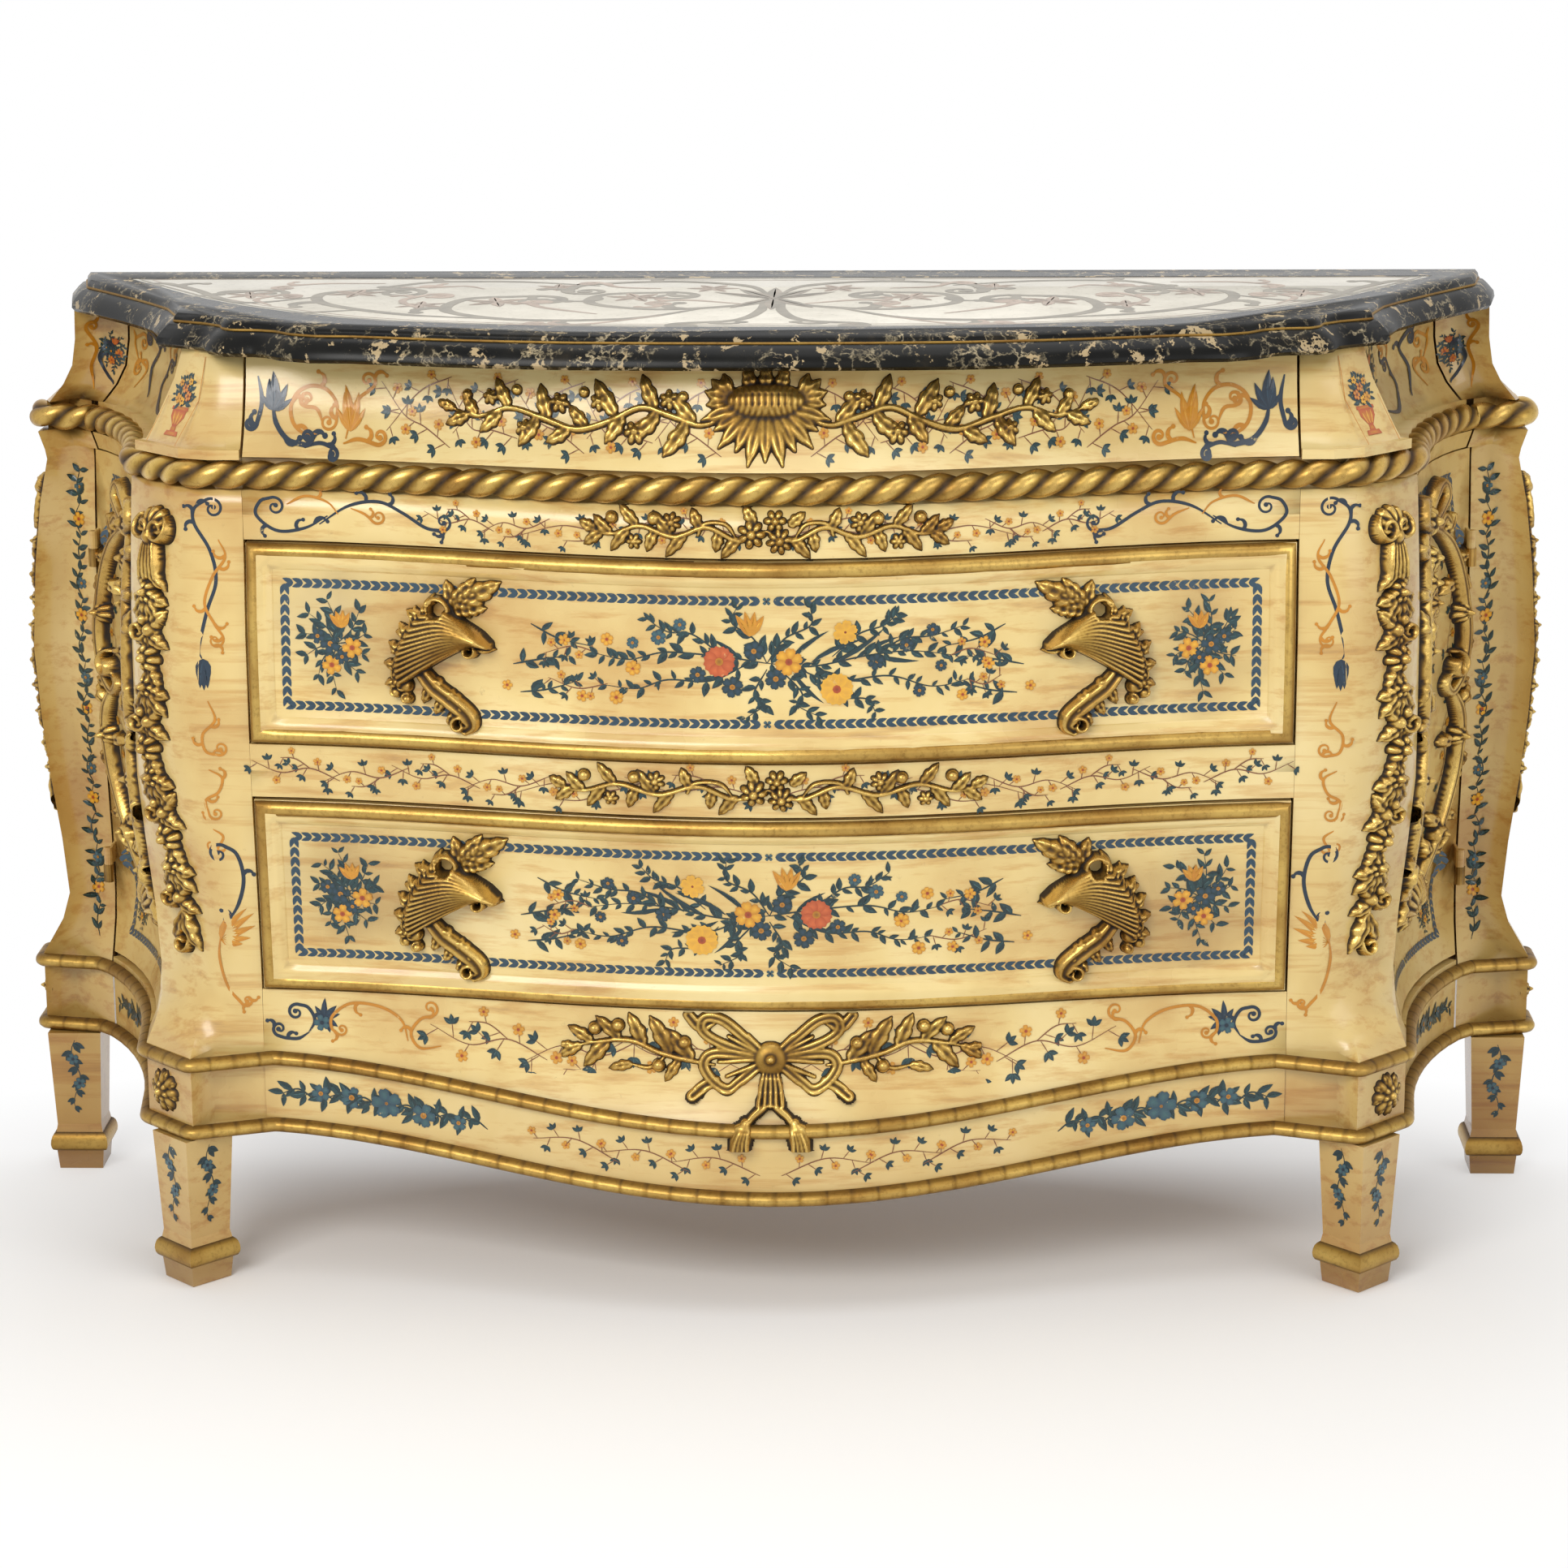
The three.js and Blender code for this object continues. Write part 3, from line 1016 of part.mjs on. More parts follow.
// A pattern is a table of shares: stems of [along, up] points, leaves of [along, up, turn, length] and
// blossoms of [along, up, radius]. Leaf and blossom sizes are shares of the height.
function pattern(table, long, high, a0, b0, sides, rise) {
  const at = (x, y, side) => [a0 + x * long * side, b0 + y * high];
  return sides.flatMap((side) => [
    ...table.stems.map((points) => stem(points.map(([x, y]) => at(x, y, side)), STEM_WIDTH, rise * STEM_SHARE)),
    ...table.leaves.map(([x, y, turn, size]) =>
      leaf(...at(x, y, side), side > 0 ? turn : 180 - turn, size * high, rise)),
    ...table.blossoms.map(([x, y, size]) => blossom(...at(x, y, side), size * high, 5, rise * BLOOM_SHARE)),
  ]);
}
const STEM_WIDTH = 7;
const STEM_SHARE = 0.6;
const BLOOM_SHARE = 1.3;
const BOTH = [1, -1];

// Front mounts
const MOUNT_RISE = 7;
const SHELL_RISE = 14;
const FRIEZE_MOUNT_HALF_SHARE = 3.16;
const FRIEZE_MOUNT_RISE_SHARE = 0.43;
const FRIEZE_SHELL_SHARE = 0.6;
const FRIEZE_SHELL_UP_SHARE = 0.215;
const FRIEZE_MOUNT_HALF = FRIEZE_HIGH * FRIEZE_MOUNT_HALF_SHARE;
const FRIEZE_MOUNT_RISE = FRIEZE_HIGH * FRIEZE_MOUNT_RISE_SHARE;
const FRIEZE_SHELL = FRIEZE_HIGH * FRIEZE_SHELL_SHARE;
const FRIEZE_SHELL_Z = FRIEZE_FOOT + FRIEZE_HIGH * FRIEZE_SHELL_UP_SHARE;
const FRIEZE_SHARES = {
  stems: [[[0.1, -0.3], [0.22, 0.2], [0.36, 0.3], [0.52, -0.2], [0.7, 0.15], [0.86, -0.15], [0.97, 0.05]]],
  leaves: [[0.17, 0, 110, 1.1], [0.22, 0.2, -60, 1.1], [0.36, 0.28, -60, 1.2], [0.44, 0.05, 50, 1.1],
    [0.6, -0.05, 75, 1.1], [0.7, 0.15, -70, 1.1], [0.86, -0.15, 60, 1], [0.94, 0.02, -10, 0.7]],
  blossoms: [[0.27, 0.25, 0.5], [0.5, -0.15, 0.42], [0.74, 0.1, 0.4]],
};
const FRIEZE_MID_Z = (FRIEZE_FOOT + SLAB_FOOT) / 2;
add("frieze_drawer_mount", mounted([
  fan(0, FRIEZE_SHELL_Z, 90, FRIEZE_SHELL, 80, 6, SHELL_RISE),
  blossom(0, FRIEZE_SHELL_Z, FRIEZE_SHELL * NOTCH_SHARE / 2, 5, SHELL_RISE),
  leaf(0, FRIEZE_SHELL_Z, 15, FRIEZE_SHELL, MOUNT_RISE),
  leaf(0, FRIEZE_SHELL_Z, 165, FRIEZE_SHELL, MOUNT_RISE),
  ...pattern(FRIEZE_SHARES, FRIEZE_MOUNT_HALF, FRIEZE_MOUNT_RISE, 0, FRIEZE_MID_Z, BOTH, MOUNT_RISE),
], onFront, CURVED_STAND), GOLD);

const GARLAND_SHARES = {
  stems: [[[0, -0.2], [0.2, -0.5], [0.42, -0.1], [0.64, 0.3], [0.84, 0.1], [0.98, -0.3]]],
  leaves: [[0.1, -0.35, 60, 1.2], [0.38, -0.2, 80, 1.2], [0.46, -0.05, -50, 1.2], [0.64, 0.3, -65, 1.1],
    [0.84, 0.1, 40, 1.1], [0.94, -0.2, -30, 0.9]],
  blossoms: [[0.28, -0.35, 0.7], [0.72, 0.2, 0.6]],
};
const UPPER_GARLAND_SHARE = 3.587;
const MIDDLE_GARLAND_SHARE = 3.92;
const GARLAND_RISE_SHARE = 0.45;
function garland(halfShare, foot, top) {
  const half = (top - foot) * halfShare;
  const high = (top - foot) * GARLAND_RISE_SHARE;
  const z = (foot + top) / 2;
  return mounted([
    blossom(0, z, high * BLOOM_SHARE / 2, 6, MOUNT_RISE * BLOOM_SHARE),
    leaf(0, z, 90, high, MOUNT_RISE),
    leaf(0, z, -90, high, MOUNT_RISE),
    ...pattern(GARLAND_SHARES, half, high, 0, z, BOTH, MOUNT_RISE),
  ], onFront);
}
add("upper_rail_garland", garland(UPPER_GARLAND_SHARE, UPPER_OPENING_TOP, ROPE_FOOT), GOLD);
add("middle_rail_garland", garland(MIDDLE_GARLAND_SHARE, LOWER_OPENING_TOP, UPPER_OPENING_FOOT), GOLD);

// Ribbon bow with a round knot, leafy branches and two hanging tassels
const BOW_HALF_SHARE = 0.393;
const BOW_RISE_SHARE = 0.677;
const BOW_UP_SHARE = 0.34;
const BOW_HALF = OPENING_HALF * BOW_HALF_SHARE;
const BOW_RISE = BOTTOM_RAIL * BOW_RISE_SHARE;
const BOW_Z = BODY_FOOT + BOTTOM_RAIL * BOW_UP_SHARE;
const KNOT = 15;
const BOW_SHARES = {
  stems: [[[0, 0], [0.12, 0.5], [0.24, 0.62], [0.28, 0.35], [0.16, 0.1], [0, -0.1]],
    [[0, -0.1], [0.3, -0.3], [0.5, 0.1], [0.72, 0.35], [0.97, 0.3]],
    [[0, 0], [0.05, -0.45], [0.14, -0.95], [0.1, -1.5], [0.15, -2]]],
  leaves: [[0.3, -0.3, -50, 0.8], [0.38, -0.15, 65, 0.8], [0.62, 0.25, -50, 0.8], [0.66, 0.3, 70, 0.7],
    [0.84, 0.33, -50, 0.6], [0.93, 0.3, 20, 0.6], [0.15, -1.9, -95, 0.6], [0.14, -1.8, -65, 0.5],
    [0.14, -1.8, -125, 0.5]],
  blossoms: [[0.5, 0.1, 0.3], [0.76, 0.34, 0.26]],
};
function onBow(a, b) {
  const over = Math.min(Math.max((BOW_Z - KNOT * 2 - b) / KNOT, 0), 1);
  return new THREE.Vector3(a, frontY(a, b) - over * (MOULD_OUT + DOOR_GAP), b);
}
add("apron_bow", mounted([
  blossom(0, BOW_Z, KNOT, 8, SHELL_RISE),
  ...pattern(BOW_SHARES, BOW_HALF, BOW_RISE, 0, BOW_Z, BOTH, MOUNT_RISE),
], onBow), GOLD);

// Drawer pulls: a shell with leaves above and below and a pierced ring at the top
const PULL_X_SHARE = 0.6116;
const PULL_UP_SHARE = 0.505;
const PULL_SHELL_SHARE = 0.24;
const PULL_LEAF_SHARE = 0.283;
const PULL_RISE = 34;
const PULL_RING = 11;
const PULL_RING_THICK = 4;
const PULL_RING_SHARE = 1.15;
const PULL_X = OPENING_HALF * PULL_X_SHARE;
const PULL_SHELL = (UPPER_OPENING_TOP - UPPER_OPENING_FOOT) * PULL_SHELL_SHARE;
const PULL_LEAF = (UPPER_OPENING_TOP - UPPER_OPENING_FOOT) * PULL_LEAF_SHARE;
function pull(low, high) {
  const z = mix(low, high, PULL_UP_SHARE);
  const foot = z - PULL_SHELL * NOTCH_SHARE / 2;
  const crown = z + PULL_SHELL * NOTCH_SHARE / 2;
  return mounted([
    fan(PULL_X, foot, 80, PULL_SHELL, 100, 6, PULL_RISE),
    ...[[55, 0.8], [95, 1], [130, 0.8]].map(([turn, share]) =>
      leaf(PULL_X, crown, turn, PULL_LEAF * share, PULL_RISE / 2)),
    ...[[-50, 0.85], [-95, 1.05], [-140, 0.75], [10, 0.85], [175, 0.85]].map(([turn, share]) =>
      leaf(PULL_X, foot, turn, PULL_LEAF * share, PULL_RISE / 2)),
    hoop(PULL_X, crown + PULL_LEAF - PULL_RING * PULL_RING_SHARE, PULL_RING, PULL_RING_THICK),
    blossom(PULL_X, foot, PULL_RING, 4, PULL_RISE),
  ], onFront);
}
addPair("middle_drawer_pull", pull(UPPER_OPENING_FOOT, UPPER_OPENING_TOP), GOLD);
addPair("lower_drawer_pull", pull(LOWER_OPENING_FOOT, LOWER_OPENING_TOP), GOLD);

// Drops of leaves and blossoms on the corner posts
const DROP_HALF = 22;
const DROP_SHELL = 19;
const DROP_SHARES = {
  stems: [[[0, 0], [0.06, 0.22], [-0.06, 0.45], [0.06, 0.7], [0, 1]]],
  leaves: [[0, 0.02, -60, 1], [0, 0.02, -120, 1], [0, 0.2, -60, 1], [0, 0.22, -120, 1], [0, 0.42, 55, 1],
    [0, 0.44, 125, 1], [0, 0.66, -55, 1], [0, 0.68, -125, 1], [0, 0.92, 60, 0.8]],
  blossoms: [[0, 0.3, 0.55], [0, 0.56, 0.6], [0, 0.85, 0.5]],
};
const FRONT_DROP_SHARES = [0.2125, 0.945];
const BACK_DROP_SHARES = [0.304, 0.8975];
const BACK_DROP_SHARE = 0.8;
function drop(ends, size, point, lift) {
  const [foot, top] = ends.map((share) => mix(BODY_FOOT, ROPE_FOOT, share));
  const up = (share) => mix(foot, top, share);
  return mounted([
    fan(0, top - size / 2, 90, size, 90, 5, MOUNT_RISE),
    ...DROP_SHARES.stems.map((points) => stem(points.map(([x, y]) => [x * size, up(y)]), STEM_WIDTH,
      MOUNT_RISE * STEM_SHARE)),
    ...DROP_SHARES.leaves.map(([x, y, turn, length]) => leaf(x * size, up(y), turn, length * size, MOUNT_RISE)),
    ...DROP_SHARES.blossoms.map(([x, y, radius]) =>
      blossom(x * size, up(y), radius * size, 5, MOUNT_RISE * BLOOM_SHARE)),
  ], point, lift);
}
addPair("front_post_drop", drop(FRONT_DROP_SHARES, DROP_HALF, onPost, CURVED_STAND), GOLD);
addPair("back_post_drop", drop(BACK_DROP_SHARES, DROP_HALF * BACK_DROP_SHARE, onBackPost, POST_STAND), GOLD);

// Rosettes on the base blocks
const FRONT_ROSETTE = 24;
const BACK_ROSETTE = 17;
const ROSETTE_Z = (BODY_FOOT + BASE_FOOT + MOULD_HALF) / 2;
const rosette = (radius, point) => mounted([
  blossom(0, ROSETTE_Z, radius, 6, MOUNT_RISE),
  blossom(0, ROSETTE_Z, radius / 2, 4, MOUNT_RISE * BLOOM_SHARE),
], point, FIT);
addPair("front_base_rosette", rosette(FRONT_ROSETTE, onPost), GOLD);
addPair("back_base_rosette", rosette(BACK_ROSETTE, onBackPost), GOLD);

// Scrolled cartouche on each side door
const CARTOUCHE_HALF_SHARE = 0.313;
const CARTOUCHE_RISE_SHARE = 0.39;
const CARTOUCHE_UP_SHARE = 0.528;
const CARTOUCHE_SHARE = 0.46;
const CARTOUCHE_HALF = SIDE_RUN * CARTOUCHE_HALF_SHARE;
const CARTOUCHE_RISE = (DOOR_TOP - DOOR_FOOT) * CARTOUCHE_RISE_SHARE;
const CARTOUCHE_Z = mix(DOOR_FOOT, DOOR_TOP, CARTOUCHE_UP_SHARE);
const CARTOUCHE_LEAF = 40;
const CARTOUCHE_BAND = 14;
const CARTOUCHE_SHARES = {
  stems: [[[0, 0.95], [0.45, 0.86], [0.82, 0.62], [1, 0.3], [0.94, 0.04], [0.7, -0.04]],
    [[0.7, 0.02], [0.95, -0.1], [1, -0.35], [0.84, -0.64], [0.46, -0.86], [0, -0.94]],
    [[0, 0.95], [0.3, 1.12], [0.55, 1.08], [0.4, 0.97], [0, 0.93]],
    [[0, 0.95], [0.02, 0.75], [-0.02, 0.5]]],
  leaves: [[0.6, 0.78, 20, 1], [0.9, 0.5, 60, 0.8], [1, 0.2, -70, 0.9], [0.8, -0.01, 150, 0.7], [0.97, -0.3, 70, 0.8],
    [0.86, -0.6, -30, 1], [0.5, -0.84, -50, 0.9], [0, 0.75, -50, 0.7], [0.01, 0.65, -40, 0.6], [0, 0.5, -70, 0.7]],
  blossoms: [[0, 0.56, 0.4]],
};
function cartouche() {
  const mid = SIDE_RUN * CARTOUCHE_SHARE;
  const at = (x, y, side) => [mid + x * CARTOUCHE_HALF * side, CARTOUCHE_Z + y * CARTOUCHE_RISE];
  return mounted([
    blossom(...at(0, 0.95, 1), CARTOUCHE_LEAF / 2, 6, MOUNT_RISE * BLOOM_SHARE),
    fan(...at(0, -1.05, 1), 90, CARTOUCHE_LEAF, 75, 5, SHELL_RISE),
    ...BOTH.flatMap((side) => [
      ...CARTOUCHE_SHARES.stems.map((points) => stem(points.map(([x, y]) => at(x, y, side)), CARTOUCHE_BAND,
        MOUNT_RISE)),
      ...CARTOUCHE_SHARES.leaves.map(([x, y, turn, length]) =>
        leaf(...at(x, y, side), side > 0 ? turn : 180 - turn, length * CARTOUCHE_LEAF, MOUNT_RISE)),
    ]),
    ...CARTOUCHE_SHARES.blossoms.map(([x, y, radius]) =>
      blossom(...at(x, y, 1), radius * CARTOUCHE_LEAF, 5, MOUNT_RISE * BLOOM_SHARE)),
  ], onSide, CURVED_STAND);
}
addPair("door_cartouche", cartouche(), GOLD);

// The origin lies under the middle of the whole chest, on the floor.
const bounds = new THREE.Box3().setFromObject(chest);
chest.children.forEach((mesh) => mesh.geometry.translate(0, -(bounds.min.y + bounds.max.y) / 2, 0));

export default chest;
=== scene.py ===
import json
import math

import bpy
import numpy as np
from mathutils import Matrix, Vector
from mathutils.bvhtree import BVHTree


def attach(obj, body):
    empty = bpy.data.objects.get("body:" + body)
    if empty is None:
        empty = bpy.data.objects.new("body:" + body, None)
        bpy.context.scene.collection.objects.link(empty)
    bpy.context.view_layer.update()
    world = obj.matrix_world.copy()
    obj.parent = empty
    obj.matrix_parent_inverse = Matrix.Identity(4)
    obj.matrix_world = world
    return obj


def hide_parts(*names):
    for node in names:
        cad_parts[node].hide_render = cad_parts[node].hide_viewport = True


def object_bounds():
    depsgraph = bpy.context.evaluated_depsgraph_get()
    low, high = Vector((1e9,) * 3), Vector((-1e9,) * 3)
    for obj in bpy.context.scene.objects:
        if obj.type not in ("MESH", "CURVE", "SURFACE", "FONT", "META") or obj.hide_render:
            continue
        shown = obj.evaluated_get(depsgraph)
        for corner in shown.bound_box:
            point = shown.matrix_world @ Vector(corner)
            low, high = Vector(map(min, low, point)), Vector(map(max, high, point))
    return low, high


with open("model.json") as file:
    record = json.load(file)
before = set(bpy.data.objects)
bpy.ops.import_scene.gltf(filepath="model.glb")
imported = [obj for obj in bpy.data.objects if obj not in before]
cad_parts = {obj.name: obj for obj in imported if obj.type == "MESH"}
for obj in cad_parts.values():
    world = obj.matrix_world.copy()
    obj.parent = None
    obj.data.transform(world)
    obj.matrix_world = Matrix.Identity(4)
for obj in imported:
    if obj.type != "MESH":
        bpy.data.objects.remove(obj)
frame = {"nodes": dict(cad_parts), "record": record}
cad_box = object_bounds()
MM = 0.001
# Rays start this far from the chest, in metres
FAR = 1.5
rng = np.random.default_rng(7)

# Sizes of the chest that the ornament follows, in millimetres
PANEL_EDGE = 481
FRAME_WIDTH = 22
FIELD = PANEL_EDGE - FRAME_WIDTH
DRAWER_LEVELS = {"middle": (533.5, 719.5), "lower": (289.5, 477.5)}
# The base mouldings drop by this much at the middle, along a wave that ends at BASE_HALF
BASE_DROP = 42
BASE_HALF = 530
ROPE_LEVEL = 782.5
SLAB_LINE_LEVEL = 912.5
# Level of each base moulding, and how far above the band it is met by rays
BASE_LEVELS = {"upper_base_moulding": (221.5, 12), "lower_base_moulding": (155, 0)}
LEG_PLACES = {"front": (555, -125.6), "back": (726, 199.4)}
FOOT_HALF = 24
RING_HALF = 29
FOOT_BLOCK = 20
FOOT_RING = 20
FRIEZE_MOUNT_LEVEL = 843
PULL_PLACE = 297
GARLAND_LEVELS = {"upper": 745, "middle": 505.5}
BOW_LEVEL = 243
CARTOUCHE_LEVEL = 514
BASE_ROSETTE_LEVEL = 188
# Run along the door and level
KEYHOLE_PLACE = (16, 508)
# Middle of the back post's outer side, from front to back
BACK_POST_MIDDLE = 210
# Cosine of the 45 degrees by which the front corners are cut
CANT = math.sqrt(0.5)

# Colours, as seen on the chest
IVORY = (0.88, 0.78, 0.52)
BLUE = (0.05, 0.14, 0.21)
LEAF = (0.05, 0.17, 0.18)
LEAF_PALE = (0.24, 0.39, 0.40)
LAUREL = (0.15, 0.26, 0.33)
OCHRE = (0.76, 0.50, 0.09)
OCHRE_PALE = (0.84, 0.62, 0.22)
YELLOW = (0.90, 0.68, 0.20)
TERRACOTTA = (0.70, 0.30, 0.12)
TWIG = (0.48, 0.28, 0.16)
STONE_GREY = (0.58, 0.55, 0.49)
STONE_ROSE = (0.72, 0.64, 0.57)


# The paler tone that each petal colour shades to
PALER = {LEAF: LAUREL, LAUREL: LEAF_PALE, OCHRE: YELLOW, YELLOW: OCHRE_PALE,
         TERRACOTTA: (0.80, 0.40, 0.20)}


def linear(colour):
    """Light values of a colour given as a screen shows it."""
    return tuple(c / 12.92 if c <= 0.04045 else ((c + 0.055) / 1.055) ** 2.4 for c in colour)


def heading(degrees):
    """Cosine and sine of a turn."""
    turn = math.radians(degrees)
    return math.cos(turn), math.sin(turn)


def turn_of(run):
    """Turn, in degrees, of a step in x and y."""
    return math.degrees(math.atan2(run[1], run[0]))


def moved(points, x, y=0):
    """Points drawn from a place x, y."""
    return [(x + dx, y + dy) for dx, dy in points]


def ring_of(x, y, radius, last=5.7, count=9):
    """Points of a circle, as far as the last angle in radians."""
    return [(x + radius * math.cos(t), y + radius * math.sin(t)) for t in np.linspace(0, last, count)]


def bands(rows, count):
    """Faces between rings of points that follow one another."""
    return [(r * count + i, r * count + (i + 1) % count, (r + 1) * count + (i + 1) % count,
             (r + 1) * count + i) for r in range(rows - 1) for i in range(count)]


def deselect():
    bpy.ops.object.select_all(action="DESELECT")


def mesh_object(name, points, faces):
    mesh = bpy.data.meshes.new(name)
    mesh.from_pydata([tuple(p) for p in points], [], [tuple(f) for f in faces])
    mesh.update()
    piece = bpy.data.objects.new(name, mesh)
    bpy.context.collection.objects.link(piece)
    return piece


def colour_points(piece, name, colours):
    layer = piece.data.color_attributes.new(name, "FLOAT_COLOR", "POINT")
    layer.data.foreach_set("color", np.asarray(colours, np.float32).ravel())


def carving_shade_tone(piece, tones):
    """How high each point of a gilt piece lies, from 0 in a hollow to 1 on a ridge; the gilding paints
    shade and highlight from it.
    """
    tones = np.asarray(tones)
    colour_points(piece, "carving", np.column_stack([tones, tones, tones, np.ones(len(tones))]))


def smooth_below(piece, degrees):
    """Smooth shading, with edges sharper than this kept hard."""
    deselect()
    piece.select_set(True)
    bpy.context.view_layer.objects.active = piece
    bpy.ops.object.shade_smooth_by_angle(angle=math.radians(degrees))


def finish_piece(piece, body, slot, material, replaces=None):
    """Gives a piece its material, the body it moves with and the frame pieces it stands for; the slot is
    not used.
    """
    piece.data.materials.clear()
    piece.data.materials.append(material)
    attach(piece, body)
    for node in replaces or []:
        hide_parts(node)


# Surfaces of the chest, met by rays
def tree_of(names):
    """The faces of some frame pieces, ready to be met by rays."""
    points, faces = [], []
    for name in names:
        mesh = frame["nodes"][name].data
        start = len(points)
        points += [v.co.copy() for v in mesh.vertices]
        faces += [[start + i for i in p.vertices] for p in mesh.polygons]
    return BVHTree.FromPolygons(points, faces)


def stretched(grid, axis, count):
    """Carries a grid of points on in a straight line past both ends of an axis."""
    if count == 0:
        return grid
    grid = np.moveaxis(grid, axis, 0)
    steps = np.arange(1, count + 1).reshape(-1, 1, 1)
    low = grid[:1] - (grid[1:2] - grid[:1]) * steps[::-1]
    high = grid[-1:] + (grid[-1:] - grid[-2:-1]) * steps
    return np.moveaxis(np.concatenate([low, grid, high]), 0, axis)


class Skin:
    """Part of the surface, with a along it and b up it, in millimetres."""

    def __init__(self, nodes, a_range, b_range, view=(0, 1, 0), along=(1, 0, 0), origin=(0, 0, 0), step=6,
                 pad=(0, 0), even=False):
        tree = tree_of(nodes)
        view, along, origin = Vector(view), Vector(along), Vector(origin)
        self.step = step
        a = np.arange(a_range[0], a_range[1] + step / 2, step)
        b = np.arange(b_range[0], b_range[1] + step / 2, step)
        grid = np.full((len(b), len(a), 3), np.nan)
        for i, bi in enumerate(b):
            for j, aj in enumerate(a):
                start = origin + along * (aj * MM) + Vector((0, 0, bi * MM)) - view * FAR
                hit = tree.ray_cast(start, view)[0]
                if hit is not None:
                    grid[i, j] = hit
        self.fill(grid)
        grid = stretched(stretched(grid, 1, pad[0]), 0, pad[1])
        self.a0, self.b0 = a[0] - pad[0] * step, b[0] - pad[1] * step
        if even:
            grid = self.evened(grid)
        # Two passes of smoothing take out the facets
        for _ in range(2):
            grid[1:-1, 1:-1] = (grid[1:-1, 1:-1] * 2 + grid[:-2, 1:-1] + grid[2:, 1:-1] + grid[1:-1, :-2]
                                + grid[1:-1, 2:]) / 6
        self.grid = grid
        normal = np.cross(np.gradient(grid, axis=1), np.gradient(grid, axis=0))
        self.normal = normal / np.linalg.norm(normal, axis=2, keepdims=True)

    def fill(self, grid):
        """Gives each missed ray the place that its row goes on to."""
        for row in grid:
            met = ~np.isnan(row[:, 0])
            if met.any():
                index = np.arange(len(row))
                for k in range(3):
                    row[:, k] = np.interp(index, index[met], row[met, k])
        met = ~np.isnan(grid[:, 0, 0])
        index = np.arange(len(grid))
        for j in range(grid.shape[1]):
            for k in range(3):
                grid[:, j, k] = np.interp(index, index[met], grid[met, j, k])

    def evened(self, grid):
        """Spaces the columns by the length that the surface has along the middle row."""
        middle = grid[len(grid) // 2]
        length = np.concatenate([[0], np.cumsum(np.linalg.norm(np.diff(middle, axis=0), axis=1))]) / MM
        want = np.arange(0, length[-1], self.step)
        self.a0 = 0
        index = np.interp(want, length, np.arange(len(length)))
        low = np.minimum(index.astype(int), grid.shape[1] - 2)
        share = (index - low).reshape(1, -1, 1)
        return grid[:, low] * (1 - share) + grid[:, low + 1] * share

    def length(self):
        """Length of the skin along a, in millimetres."""
        return self.grid.shape[1] * self.step

    def at(self, a, b, h):
        """Places of flat points, lifted by h."""
        rows, columns = self.grid.shape[:2]
        x = np.clip((np.asarray(a, float) - self.a0) / self.step, 0, columns - 1.001)
        y = np.clip((np.asarray(b, float) - self.b0) / self.step, 0, rows - 1.001)
        i, j = y.astype(int), x.astype(int)
        u, v = (x - j)[..., None], (y - i)[..., None]

        def read(grid):
            return ((grid[i, j] * (1 - u) + grid[i, j + 1] * u) * (1 - v) + (grid[i + 1,
                                                                                  j] * (1 - u)
                                                                             + grid[i + 1,
                                                                                    j + 1] * u) * v)

        return read(self.grid) + read(self.normal) * (np.asarray(h, float)[..., None] * MM)


def mirror_copy(piece):
    """A left-hand copy of a right-hand piece."""
    twin = piece.copy()
    twin.data = piece.data.copy()
    twin.name = twin.data.name = piece.name.replace("right_", "left_")
    bpy.context.collection.objects.link(twin)
    twin.data.transform(Matrix.Scale(-1, 4, (1, 0, 0)))
    twin.data.flip_normals()
    twin.parent = None
    return twin


def finish_sides(piece, body, slot, material, node=None):
    """Finishes a piece and, where its name says right, its left-hand copy too."""
    finish_piece(piece, body, slot, material, [node] if node else None)
    if piece.name.startswith("right_"):
        twin_node = [node.replace("right_", "left_")] if node else None
        finish_piece(mirror_copy(piece), body.replace("right_", "left_"), slot, material, twin_node)


# Relief carving: heights over a flat grid, joined by taking the highest. Below DIVE there is no mesh.
DIVE = -3.0


def curve(points, steps=10):
    """A smooth line through points, each an x, y pair."""
    p = np.asarray(points, float)
    p = np.vstack([2 * p[0] - p[1], p, 2 * p[-1] - p[-2]])
    t = np.linspace(0, 1, steps, endpoint=False)[:, None]
    pieces = []
    for a, b, c, d in zip(p[:-3], p[1:-2], p[2:-1], p[3:]):
        pieces.append(0.5 * (2 * b + (c - a) * t + (2 * a - 5 * b + 4 * c - d) * t ** 2
                             + (3 * b - a - 3 * c + d) * t ** 3))
    return np.vstack(pieces + [p[-2:-1]])


def spiral(x, y, radius, start, turns, end=0.18, steps=40):
    """A line that winds in from radius round x, y. Turns below zero wind clockwise."""
    t = np.linspace(0, 1, steps)
    angle = np.radians(start) + t * turns * 2 * math.pi
    reach = radius * (1 - (1 - end) * t)
    return np.column_stack([x + reach * np.cos(angle), y + reach * np.sin(angle)])


